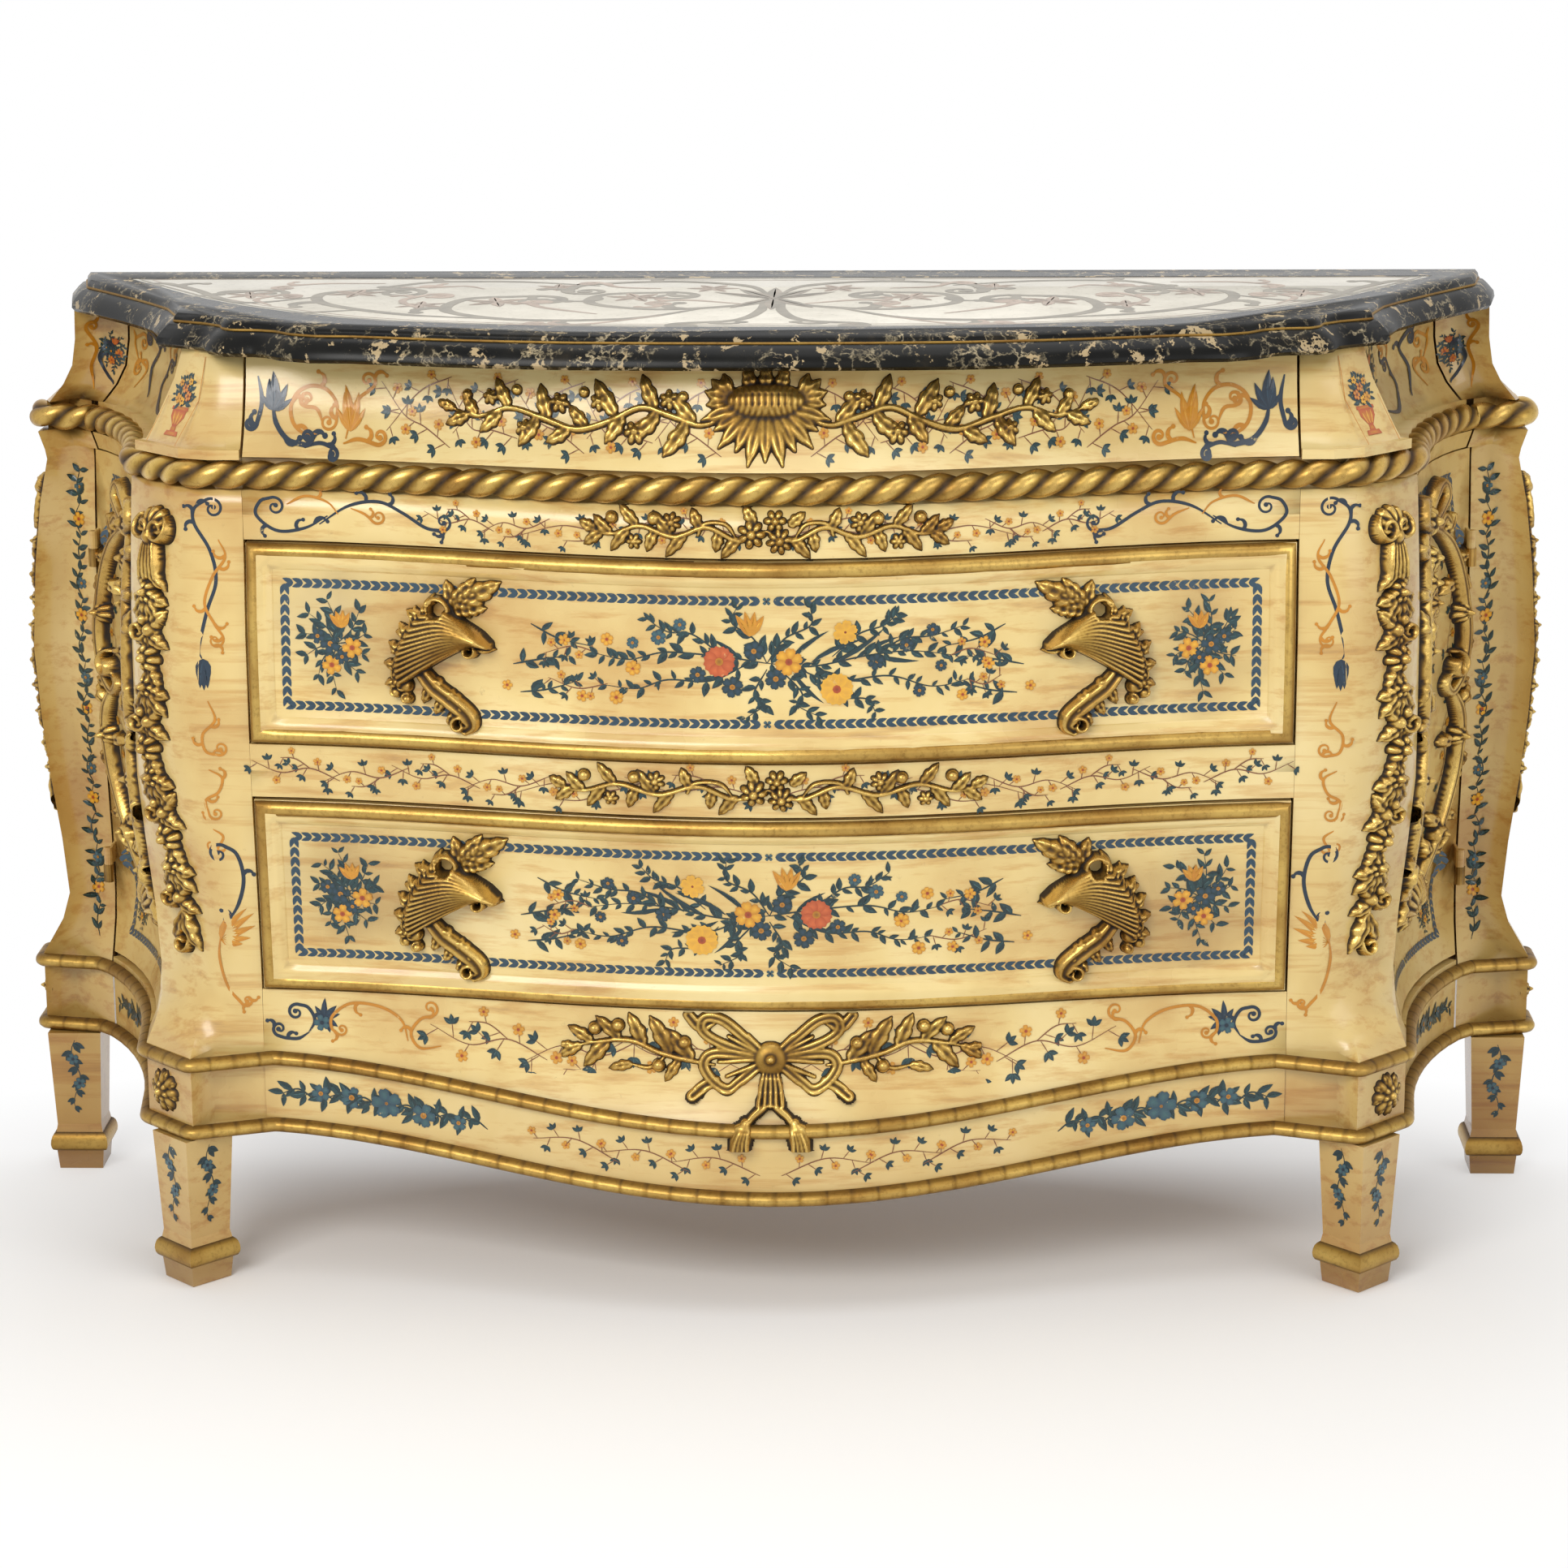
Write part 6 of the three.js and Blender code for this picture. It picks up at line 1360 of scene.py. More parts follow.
# Cartouche of the side door: scrolled oval under a ribbon bow, with a shell at its foot
def cartouche_relief():
    r = Relief((-92, 92), (-236, 240), 1.3)
    r.stroke(curve([(6, 188), (34, 176), (58, 150), (72, 110), (76, 60), (70, 22), (52, 6), (40, 16),
                    (50, 24)]), 14, 16, 0.6, 4)
    r.stroke(curve([(46, 12), (62, -4), (76, -34), (76, -80), (66, -126), (48, -164), (24, -188),
                    (4, -196)]), 14, 16, 0.8, 4)
    for x, y, turn, size in (
            (40, 172, 20, 32), (62, 140, 5, 30), (74, 98, 70, 32), (76, 62, -75, 32), (62, 14, -20, 28),
            (72, -16, 40, 30), (78, -60, -65, 34), (74, -100, 60, 30), (66, -126, -35, 34),
            (50, -162, -20, 34), (30, -184, -60, 34), (20, 182, 120, 26), (58, 120, 190, 26),
            (64, -50, 160, 26), (56, -140, 130, 28), (40, -170, 95, 26)):
        r.leaf(x, y, turn, size, 16, 14, 0.15, 3)
    for x, y, radius in ((70, 84, 12), (74, -46, 13), (58, -146, 12)):
        r.blossom(x, y, radius, 6, 20, x)
    r.stroke(spiral(58, 32, 15, 100, -1.3), 7, 18)
    r.stroke(spiral(56, -150, 14, 250, 1.2), 7, 17)
    r.stroke(curve([(2, 196), (20, 220), (42, 226), (50, 212), (34, 200), (6, 192)]), 13, 16, 0.9, 4)
    r.stroke(curve([(6, 194), (30, 186), (44, 190), (56, 178), (66, 186)]), 13, 14, 0.8, 4)
    r.both()
    r.blossom(0, 196, 19, 6, 18)
    r.bead(0, 196, 8, 20)
    spine = curve([(0, 178), (5, 150), (-4, 122), (3, 96)])
    r.stroke(spine, 6, 6, 0.4)
    for k, (x, y) in enumerate(((3, 158), (-2, 134), (1, 112))):
        r.blossom(x, y, 15 - 2 * k, 6, 16, 20 * k)
        r.leaf(x, y, -40, 26, 14, 12, -0.2)
        r.leaf(x, y, -140, 26, 14, 12, 0.2)
    r.leaf(0, 100, -90, 34, 16, 12)
    r.shell(0, -212, 90, 42, 80, 9, 19)
    for turn in (-90, -60, -120, -30, -150):
        r.leaf(0, -208, turn, 26, 15, 13)
    r.barrel(0, -206, 0, 17, 10, 19, 7)
    return r


# The oval stands a little nearer the door's front edge, drawn wider and lower than its grid
CARTOUCHE_SHARE = 0.47
CARTOUCHE_SCALE = (1.32, 0.95)
door_middle = door_skin.length() * CARTOUCHE_SHARE
gilt(cartouche_relief(), "right_cartouche_carved", door_skin, "right_door_cartouche", "right_door",
     (door_middle, CARTOUCHE_LEVEL), CARTOUCHE_SCALE)


# Rosettes on the base blocks and a keyhole rosette on each door
def rosette_relief(radius):
    r = Relief((-radius - 4, radius + 4), (-radius - 4, radius + 4), 0.9)
    r.blossom(0, 0, radius, 8, 8)
    r.blossom(0, 0, radius * 0.62, 6, 11, 15)
    r.bead(0, 0, radius * 0.22, 13)
    for k in range(8):
        c, s = math.cos(k * math.pi / 4), math.sin(k * math.pi / 4)
        r.leaf(radius * 0.3 * c, radius * 0.3 * s, 45 * k + 22, radius * 0.72, 9, 5)
    return r


gilt(rosette_relief(22), "right_front_rosette_carved", post_skin((-26, 26), 166, 208, pad=(2, 3)),
     "right_front_base_rosette", shift=(post_offset(0.18), BASE_ROSETTE_LEVEL))
gilt(rosette_relief(15), "right_back_rosette_carved", back_side_skin(166, 208, (3, 3)),
     "right_back_base_rosette", shift=(BACK_POST_MIDDLE, BASE_ROSETTE_LEVEL), lift=-3)
gilt(rosette_relief(13), "right_keyhole_rosette", door_skin, body="right_door", shift=KEYHOLE_PLACE)


# Painted borders, scrolls, bunches and sprays
def laurel(paint, a0, a1, b0, b1, size=11):
    """A border of paired leaves that runs from the middle of each side to the corners."""
    def run(p, q):
        p, q = np.array(p, float), np.array(q, float)
        long = np.linalg.norm(q - p)
        turn = turn_of(q - p)
        count = int(long / (size * 0.82))
        for k in range(count):
            at = p + (q - p) * (k + 0.1) / count
            for side in (1, -1):
                paint.leaf(*at, turn + side * 27, size, size * 0.42, LAUREL, LAUREL, -0.12 * side)
            paint.level = 2 + k % 3 * 4

    middle = (a0 + a1) / 2
    for b in (b0, b1):
        run((middle + 5, b), (a1, b))
        run((middle - 5, b), (a0, b))
        paint.flower(middle, b, 4, 4, LAUREL, LEAF_PALE, BLUE, 45)
    for a in (a0, a1):
        run((a, b1), (a, b0))


def scroll(paint, points, width, colour, curl, leaves, turns=1.1, end=0.5):
    """A line that ends in a coil of radius curl, with comma-shaped leaves growing from it.

    Each leaf has its share of the way along, its turn in degrees and its size.
    """
    line = curve(points, 12)
    if curl:
        run = line[-1] - line[-3]
        turn = turn_of(run)
        side = 1 if curl > 0 else -1
        radius = abs(curl)
        centre = line[-1] + radius * np.array([-run[1], run[0]]) / max(np.linalg.norm(run), 1e-9) * side
        coil = spiral(centre[0], centre[1], radius, turn - 90 * side, turns * side)
        line = np.vstack([line, coil[1:]])
    width *= 0.95
    paint.stroke(line, width, colour, end, 0.35)

    def ball(x, y, size):
        paint.patch(ring_of(x, y, size), colour)

    if curl:
        ball(*line[-1], width * 0.75)
    for share, turn, size in leaves:
        i = min(int(share * (len(line) - 1)), len(line) - 2)
        along = turn_of(line[i + 1] - line[i])
        bend = 48 if math.sin(math.radians(turn - along)) > 0 else -48
        comma = [line[i]]
        for k in range(3):
            comma.append(comma[-1] + size * 0.36 * np.array(heading(turn + bend * (k - 0.6))))
        paint.stroke(curve(comma, 6), width * 1.15, colour, 0.4, 0.9)
        ball(*comma[-1], width * 0.62)


DARK = (LEAF, LAUREL)


def bouquet(paint, x, y, s, turn=0.0, bright=(OCHRE, YELLOW), mirror=1):
    """A bunch of five flowers among leaves, as large as s, with a tulip at its head."""
    for angle, reach, count in (
            (84, 1.0, 5), (122, 0.92, 5), (158, 0.76, 4), (200, 0.72, 4), (20, 0.78, 4), (52, 0.9, 5),
            (-24, 0.76, 4), (-58, 0.86, 4), (-92, 1.05, 5), (-128, 0.8, 4)):
        angle += rng.uniform(-6, 6)
        c, d = mirror * math.cos(math.radians(angle)), math.sin(math.radians(angle))
        paint.branch([(x, y), (x + 0.42 * reach * s * c + 0.09 * s * d,
                               y + 0.42 * reach * s * d - 0.05 * s * c),
                      (x + reach * s * 0.84 * c, y + reach * s * 0.84 * d)], count - 1, s * 0.25,
                     width=1.0)
    for dx, dy, radius, petals in (
            (-0.3, -0.06, 0.2, bright), (0.12, 0.0, 0.2, DARK), (0.1, -0.4, 0.19, bright),
            (0.36, 0.14, 0.15, DARK), (-0.1, -0.24, 0.14, DARK)):
        paint.flower(x + mirror * dx * s, y + dy * s, radius * s, 5, *petals,
                     OCHRE if petals == DARK else TERRACOTTA, turn)
    paint.tulip(x - 0.1 * s * mirror, y + 0.3 * s, s * 0.34, s * 0.13, (-34, -11, 13, 36), *bright)


def spray(paint, half, high, sides=1):
    """The long spray of flowers at the middle of a drawer."""
    def at(points):
        return [(sides * x * half, y * high) for x, y in points]

    for points, leaves, size in (
            ([(0, 0), (0.2, -0.06), (0.45, 0.1), (0.66, 0.16), (0.86, 0.06)], 14, 0.24),
            ([(0, 0), (-0.2, 0.1), (-0.46, 0.16), (-0.64, 0.02), (-0.8, 0.1)], 13, 0.24),
            ([(0.1, -0.02), (0.3, -0.3), (0.56, -0.24), (0.76, -0.44), (0.94, -0.34)], 13, 0.2),
            ([(-0.08, 0), (-0.26, -0.3), (-0.46, -0.3), (-0.6, -0.46), (-0.76, -0.42)], 11, 0.21),
            ([(0.5, 0.1), (0.62, 0.36), (0.76, 0.4), (0.9, 0.54)], 9, 0.19),
            ([(0.3, 0.1), (0.42, 0.46), (0.54, 0.6), (0.6, 0.8)], 8, 0.22),
            ([(0, 0), (-0.06, 0.4), (-0.16, 0.66), (-0.14, 0.9)], 7, 0.24),
            ([(0, 0), (0.08, 0.4), (0.2, 0.62), (0.2, 0.94)], 8, 0.22),
            ([(-0.2, 0.1), (-0.34, 0.46), (-0.46, 0.5), (-0.56, 0.72)], 8, 0.22),
            ([(0, -0.1), (-0.06, -0.5), (-0.02, -0.7), (-0.1, -0.92)], 7, 0.23),
            ([(0.06, -0.1), (0.16, -0.5), (0.14, -0.7), (0.24, -0.9)], 7, 0.22),
            ([(0.24, -0.2), (0.34, -0.56), (0.46, -0.62), (0.5, -0.86)], 7, 0.2)):
        paint.branch(at(points), leaves, high * size, 1.5)
    # Long blades that sweep out from the heart of the spray
    for x, y, turn, reach, bend in (
            (0.1, 0.02, 52, 0.8, -0.25), (0.2, 0, 38, 0.9, -0.25), (0.3, 0, 22, 1.0, 0.2),
            (0.24, -0.1, -30, 0.8, 0.25), (0.4, 0.04, 40, 0.8, -0.25), (-0.12, 0.04, 130, 0.6, 0.25),
            (-0.16, -0.1, 215, 0.6, -0.25), (0.12, -0.16, -60, 0.7, 0.25), (0.5, 0.1, -20, 0.7, 0.2)):
        paint.leaf(sides * x * half, y * high, turn if sides > 0 else 180 - turn, reach * high,
                   high * 0.085, LEAF, LAUREL, bend * sides)
    # Thin outer twigs with ochre blossoms
    for points, x, y in (
            ([(-0.78, 0.1), (-0.9, 0.2), (-1.04, 0.06)], -0.94, 0.3),
            ([(-0.74, -0.4), (-0.88, -0.5), (-1.02, -0.34)], -0.86, -0.62),
            ([(0.84, 0.06), (0.94, 0.16), (1.06, 0.02)], 1.0, 0.26),
            ([(0.92, -0.34), (1.0, -0.44), (1.08, -0.3)], 1.02, -0.1)):
        paint.twig(at(points), 6, high * 0.12)
        paint.flower(sides * x * half, y * high, high * 0.1, 5, OCHRE, YELLOW)
    for x, y, radius, tone in (
            (-0.06, 0.2, 0.17, LEAF), (0.04, -0.26, 0.18, LEAF), (-0.5, 0.4, 0.13, LAUREL),
            (-0.4, 0.62, 0.11, LAUREL), (-0.16, -0.4, 0.18, LEAF), (-0.32, -0.2, 0.14, LEAF),
            (0.5, 0.0, 0.14, LEAF), (0.64, 0.26, 0.12, LEAF), (0.76, 0.5, 0.11, LEAF),
            (0.8, -0.1, 0.1, LEAF), (0.7, -0.5, 0.11, LEAF), (-0.62, 0.3, 0.1, LAUREL),
            (-0.62, -0.12, 0.13, OCHRE), (-0.7, -0.62, 0.12, OCHRE), (-0.74, 0.34, 0.11, OCHRE),
            (0.1, 0.02, 0.23, OCHRE), (0.32, -0.44, 0.27, YELLOW), (0.36, 0.5, 0.2, YELLOW),
            (0.9, -0.6, 0.1, OCHRE), (-0.22, 0.02, 0.26, TERRACOTTA)):
        paint.flower(sides * x * half, y * high, radius * high, 8 if radius > 0.24 else 6, tone,
                     PALER[tone], TERRACOTTA if tone in (OCHRE, YELLOW) else OCHRE, 20 * sides)
    paint.tulip(sides * -0.08 * half, 0.44 * high, high * 0.42, high * 0.13, (-40, -18, 4, 26), OCHRE,
                YELLOW)


def paint_drawer(name, seed):
    z0, z1 = DRAWER_LEVELS[name]
    middle, high = (z0 + z1) / 2, (z1 - z0) / 2
    p = Paint()
    laurel(p, -446, 446, z0 + 36, z1 - 36)
    for side in (1, -1):
        bouquet(p, side * 398, middle + 2, high * 0.53, seed * 30 * side, mirror=side)
        p.branch([(side * 215, middle + 30), (side * 190, middle + 18), (side * 160, middle + 12)], 4, 13)
        p.branch([(side * 232, middle - 8), (side * 205, middle - 2), (side * 180, middle + 2)], 4, 13)
        p.branch([(side * 226, middle - 34), (side * 200, middle - 30), (side * 170, middle - 20)], 4, 12)
        p.flower(side * 238, middle - 28, 5, 5, OCHRE, YELLOW)
    centre = Paint()
    spray(centre, 196, high * 0.6, 1 if name == "middle" else -1)
    p.add(centre, middle)
    painted(p, f"{name}_drawer_flowers", field_skins[name], f"{name}_drawer")


paint_drawer("middle", 1)
paint_drawer("lower", 2)


def twigs(paint, a0, a1, b, high, steps, seed):
    """Thin flowering twigs that wander from one end of a band to the other."""
    for k in range(steps):
        x0 = a0 + (a1 - a0) * k / steps
        x1 = a0 + (a1 - a0) * (k + 1.25) / steps
        up = high * (1 if (k + seed) % 2 else -1)
        paint.twig([(x0, b - up * 0.5), ((2 * x0 + x1) / 3, b + up * 0.2),
                    ((x0 + 2 * x1) / 3, b - up * 0.1), (x1, b + up * 0.6)], 7, high * 0.42)
        paint.twig([((2 * x0 + x1) / 3, b + up * 0.2), ((x0 + x1) / 2, b + up * 0.75),
                    ((x0 + 2 * x1) / 3, b + up * 0.8)], 3, high * 0.36)


def end_scrolls(paint, x, y):
    """Blue and ochre scrolls in the corner of a rail, drawn for the right-hand end."""
    scroll(paint, moved([(-60, 0), (-38, -12), (-12, -15), (7, -1), (3, 12), (-8, 16)], x, y), 3.2, BLUE,
           9, [(0.08, 150, 15), (0.16, 100, 13), (0.3, -60, 12)], 1.15)
    scroll(paint, moved([(-52, -8), (-80, 10), (-108, 15), (-130, 6), (-152, -7), (-168, -9)], x, y), 3.2,
           BLUE, -8, [(0.2, 60, 14), (0.3, 120, 12), (0.55, -140, 15), (0.62, -40, 12)], 1.15)
    scroll(paint, moved([(-22, 10), (-40, 18), (-60, 13), (-70, 2)], x, y), 2.6, OCHRE, 0,
           [(0.5, 120, 10)], end=0.4)
    scroll(paint, moved([(-82, 8), (-95, 3), (-103, -4)], x, y), 2.6, OCHRE, -7, [(0.3, 120, 10)],
           end=0.4)


# Upper rail: twigs behind the garland, scrolls at the ends
UPPER_BAND = 746
p = Paint()
twigs(p, 196, 300, UPPER_BAND, 14, 2, 0)
twigs(p, 10, 200, UPPER_BAND, 15, 2, 1)
end_scrolls(p, 464, UPPER_BAND)
p.both()
painted(p, "upper_rail_flowers", upper_skin)

# Middle rail: twigs from end to end
MIDDLE_BAND = 506
p = Paint()
twigs(p, 200, 466, MIDDLE_BAND, 16, 4, 0)
twigs(p, 0, 210, MIDDLE_BAND, 18, 2, 1)
p.both()
painted(p, "middle_rail_flowers", middle_skin)

# Bottom rail: twigs behind the bow, then scrolls round a blue flower
p = Paint()
twigs(p, 30, 300, 246, 24, 3, 1)
scroll(p, [(312, 240), (332, 237), (341, 250), (332, 264), (320, 268)], 3, OCHRE, -8,
       [(0.3, 20, 12), (0.5, 150, 10)], end=0.4)
scroll(p, [(344, 243), (350, 262), (370, 274), (398, 276), (416, 264), (418, 252), (412, 246)], 3, OCHRE,
       -6, [(0.3, -80, 14), (0.42, -60, 14), (0.6, -100, 12)], end=0.4)
for turn, size in ((80, 20), (120, 17), (150, 15), (200, 14), (240, 14), (40, 15)):
    p.leaf(424, 260, turn, size, 6, BLUE, LAUREL, 0.2)
scroll(p, [(440, 246), (450, 240), (462, 240), (470, 242)], 3.4, BLUE, 7, [(0.3, 130, 11), (0.6, 60, 10)],
       1.15)
scroll(p, [(440, 246), (434, 258), (440, 270), (450, 273)], 3.4, BLUE, -8, [(0.2, 170, 10)], 1.15)
p.flower(427, 256, 8, 5, LAUREL, LEAF_PALE, BLUE)
p.both()
painted(p, "bottom_rail_flowers", bottom_skin)

# Apron: leaves and flowers along the band between the base mouldings, which drops towards the middle
BASE_BAND = 187
p = Paint()
for x in np.linspace(282, 452, 9):
    y = BASE_BAND - base_drop(x * MM)
    p.branch([(x - 14, y - 4), (x, y + 5), (x + 18, y - 1)], 3, 15)
for x, radius in ((296, 8), (330, 12), (366, 15), (400, 11), (430, 9)):
    p.flower(x, BASE_BAND - base_drop(x * MM) + (3 if radius % 2 else -2), radius, 5, LAUREL, LEAF_PALE,
             OCHRE, x)
for k in range(3):
    x0, x1 = 10 + 66 * k, 92 + 66 * k
    y0, y1 = BASE_BAND - 1 - base_drop(x0 * MM), BASE_BAND + 1 - base_drop(x1 * MM)
    p.twig([(x0, y0 - 8), ((x0 + x1) / 2, (y0 + y1) / 2 + 6), (x1, y1 - 2)], 8, 7)
p.both()
painted(p, "apron_flowers", apron_skin)

# Frieze drawer: twigs round the mount, then ochre and blue scrolls at the ends
p = Paint()
for k in range(5):
    x0 = 40 + 62 * k
    p.twig([(x0, 812 + 10 * (k % 2)), (x0 + 24, 828), (x0 + 44, 838 - 8 * (k % 2)), (x0 + 66, 866)], 9, 8)
    p.twig([(x0, 872), (x0 + 30, 858), (x0 + 60, 824)], 7, 7)
hoop = spiral(418, 838, 24, 200, -0.85, 0.8, 9)
scroll(p, hoop[::-1], 3.6, OCHRE, 8, [(0.15, 200, 16), (0.3, 160, 16), (0.5, 100, 16), (0.7, 60, 14)])
scroll(p, [(408, 828), (414, 840), (424, 842)], 3.4, OCHRE, 7, [(0.4, 60, 12)])
scroll(p, [(388, 812), (374, 816), (356, 812)], 3.6, OCHRE, -7, [(0.3, 100, 14)])
scroll(p, [(386, 816), (378, 846), (362, 860)], 3.2, OCHRE, -8, [(0.5, 150, 14)])
for turn, size in ((70, 34), (90, 40), (110, 34), (48, 24), (132, 24)):
    p.leaf(382, 822, turn, size, size * 0.22, OCHRE, OCHRE_PALE, 0.15 if turn < 90 else -0.15)
for turn, size in ((100, 34), (130, 26), (70, 28), (160, 20), (40, 18)):
    p.leaf(455, 838, turn, size, size * 0.3, BLUE, LAUREL, 0.2 if turn < 90 else -0.2)
scroll(p, [(456, 846), (452, 828), (440, 814), (424, 810)], 4.6, BLUE, -7,
       [(0.3, 200, 16), (0.6, 150, 14)])
scroll(p, [(470, 868), (466, 846), (470, 826)], 4.2, BLUE, 6, [(0.4, 60, 14)], 1.0)
scroll(p, [(424, 808), (410, 812), (396, 808)], 3.6, BLUE, 6, [(0.3, 140, 13), (0.6, 60, 12)], 1.0)
p.both()
painted(p, "frieze_drawer_flowers", frieze_skin, "frieze_drawer")


# Stiles beside the drawers: a blue stalk with a bell flower over ochre scrolls
stile_skin = Skin(["right_front_post"], (488, 532), (236, 764), step=4, pad=(2, 1))
p = Paint()
# Middle line of the stile
x = 509
scroll(p, moved([(16, 612), (18, 622), (10, 656), (1, 684), (6, 712), (20, 736), (20, 750), (8, 759)], x),
       3.4, BLUE, 10, [(0.55, 60, 13), (0.5, -20, 12), (0.62, 150, 12)], 1.2, 0.6)
for turn, size, bend in (
        (-124, 22, 0.45), (-56, 22, -0.45), (-90, 30, 0.0), (-104, 28, 0.12), (-76, 28, -0.12)):
    p.leaf(x + 15, 612, turn, size, 8, BLUE, LAUREL, bend)
scroll(p, moved([(-2, 722), (-8, 706), (4, 688), (12, 664), (4, 646), (-4, 634)], x), 2.8, OCHRE, 8,
       [(0.12, 0, 14), (0.2, 170, 13), (0.4, -10, 13), (0.5, -160, 14), (0.62, -20, 13), (0.75, 200, 12)],
       end=0.4)
scroll(p, moved([(12, 572), (6, 554), (18, 540), (16, 524), (4, 520)], x), 2.8, OCHRE, -7,
       [(0.2, 160, 12), (0.35, 10, 12), (0.6, 20, 12)], end=0.4)
scroll(p, moved([(14, 506), (2, 498), (6, 484), (18, 476), (16, 462)], x), 2.8, OCHRE, -7,
       [(0.15, 100, 12), (0.4, 190, 12), (0.6, 10, 12)], end=0.4)
scroll(p, moved([(14, 448), (4, 440), (10, 428)], x), 2.6, OCHRE, 6, [(0.4, 180, 11)], end=0.4)
scroll(p, moved([(5, 353), (-7, 373), (-13, 398), (-8, 422), (4, 431)], x), 3.8, BLUE, -10,
       [(0.06, -40, 14), (0.04, 60, 13), (0.3, 160, 12)], 1.2)
for turn, size, bend in (
        (112, 42, 0.3), (128, 44, 0.2), (146, 38, 0.15), (166, 30, 0.1), (190, 22, -0.1), (96, 30, 0.3)):
    p.leaf(x + 13, 334, turn, size, 7, OCHRE, OCHRE_PALE, bend)
scroll(p, moved([(13, 338), (15, 316), (8, 290), (-6, 272)], x), 3, OCHRE, -6,
       [(0.6, -30, 12), (0.75, 200, 11)], end=0.4)
painted(p, "right_stile_scrolls", stile_skin)


# Urn on the cut corner of the frieze, between two lines
def urn(paint, x, foot, s):
    """A small footed urn of flowers."""
    for outline in (
            [(-0.5, 0), (0.5, 0), (0.42, 0.2), (-0.42, 0.2)],
            [(-0.2, 0.2), (0.2, 0.2), (0.16, 0.42), (-0.16, 0.42)],
            [(-0.16, 0.42), (0.16, 0.42), (0.5, 0.8), (0.52, 1.1), (-0.52, 1.1), (-0.5, 0.8)],
            [(-0.62, 1.1), (0.62, 1.1), (0.6, 1.26), (-0.6, 1.26)]):
        paint.patch([(x + u * s, foot + v * s) for u, v in outline], TERRACOTTA, OCHRE)
    for u in (-0.25, 0, 0.25):
        paint.stroke([(x + u * s * 0.6, foot + 0.5 * s), (x + u * s * 1.1, foot + 0.8 * s),
                      (x + u * s * 1.2, foot + 1.06 * s)], s * 0.09, OCHRE_PALE)
    for k in range(9):
        turn = 20 + 17.5 * k
        c, d = heading(turn)
        paint.branch([(x, foot + 1.25 * s), (x + 0.45 * s * c, foot + (1.3 + 0.7 * d) * s),
                      (x + 0.72 * s * c, foot + (1.3 + 1.4 * d) * s)], 3, s * 0.36, width=0.8)
    for u, v, radius, tone in (
            (-0.35, 1.75, 0.24, TERRACOTTA), (0.32, 1.6, 0.24, OCHRE), (0, 2.1, 0.24, TERRACOTTA),
            (0.36, 2.3, 0.18, OCHRE), (-0.3, 2.4, 0.18, YELLOW), (0.02, 1.5, 0.2, YELLOW)):
        paint.flower(x + u * s, foot + v * s, radius * s, 5, tone, OCHRE_PALE, TWIG)


frieze_middle = post_offset(0.845)
frieze_post_skin = post_skin((frieze_middle - 34, frieze_middle + 34), 804, 884, 4)
p = Paint()
urn(p, frieze_middle, 812, 20)
for side in (1, -1):
    x = frieze_middle + side * 22
    p.stroke([(x, 806), (x + side * 2, 845), (x, 884)], 1.0, OCHRE, 1, 1)
painted(p, "right_frieze_urn", frieze_post_skin)

# Side of the frieze
side_frieze_skin = side_skin(["right_side_frieze"], 804, 884)
long = side_frieze_skin.length() - 12
p = Paint()
bouquet(p, long * 0.34, 846, 34, 10, (TERRACOTTA, OCHRE))
scroll(p, [(long * 0.34, 812), (long * 0.5, 806), (long * 0.62, 826), (long * 0.58, 850)], 4, BLUE, 8,
       [(0.3, 80, 18), (0.6, 160, 16)])
scroll(p, [(long * 0.7, 812), (long * 0.78, 836), (long * 0.72, 858), (long * 0.8, 872)], 5, BLUE, -8,
       [(0.3, 140, 18), (0.5, 20, 16)], 1.2)
for a, b, turn in ((0.56, 870, 1), (0.86, 842, -1), (0.12, 836, 1), (0.9, 868, 1)):
    scroll(p, [(long * a, b - 26), (long * a + 10 * turn, b - 8), (long * a - 4 * turn, b)], 3.6, OCHRE,
           9 * turn, [(0.2, 60, 16), (0.5, 140, 14)], 1.2)
painted(p, "right_side_frieze_flowers", side_frieze_skin)

# Side doors, with a border and flowers inside the carved oval
p = Paint()
wide = door_skin.length() - 18
laurel(p, 14, wide - 12, 262, 728, 9)
bouquet(p, door_middle, 560, 46, 0)
bouquet(p, door_middle + 8, 440, 40, 40, mirror=-1)
for x, y in ((36, 700), (wide - 34, 700), (36, 292), (wide - 34, 292)):
    bouquet(p, x, y, 24, x)
for k in range(4):
    for x in (34, wide - 32):
        p.twig([(x, 330 + 90 * k), (x + 8, 360 + 90 * k), (x - 8, 384 + 90 * k), (x + 4, 414 + 90 * k)],
               6, 8)
painted(p, "right_door_flowers", door_skin, "right_door")

# Back posts, seen from the front beside the doors
back_front_skin = Skin(["right_back_post"], (684, 716), (246, 740), step=4, pad=(0, 1))
p = Paint()
for k in range(15):
    y = 262 + 32 * k
    p.branch([(698, y - 16), (702 + 3 * (k % 2), y), (698, y + 18)], 3, 11, 1.3)
    if k % 3 == 1:
        p.flower(700, y, 7, 5, OCHRE, YELLOW)
    elif k % 3 == 2:
        p.flower(699, y, 6, 5, LAUREL, LEAF_PALE, OCHRE)
painted(p, "right_back_post_flowers", back_front_skin)
back_frieze_skin = Skin(["right_back_post"], (646, 682), (806, 880), step=4, pad=(1, 1))
p = Paint()
bouquet(p, 658, 846, 22, 10, (TERRACOTTA, OCHRE))
scroll(p, [(650, 812), (664, 822), (674, 838), (668, 852)], 3.4, BLUE, 6, [(0.3, 120, 12)])
scroll(p, [(680, 808), (682, 830), (676, 850), (684, 868)], 3.2, OCHRE, 6,
       [(0.3, 60, 12), (0.6, 150, 12)])
painted(p, "right_back_frieze_flowers", back_frieze_skin)

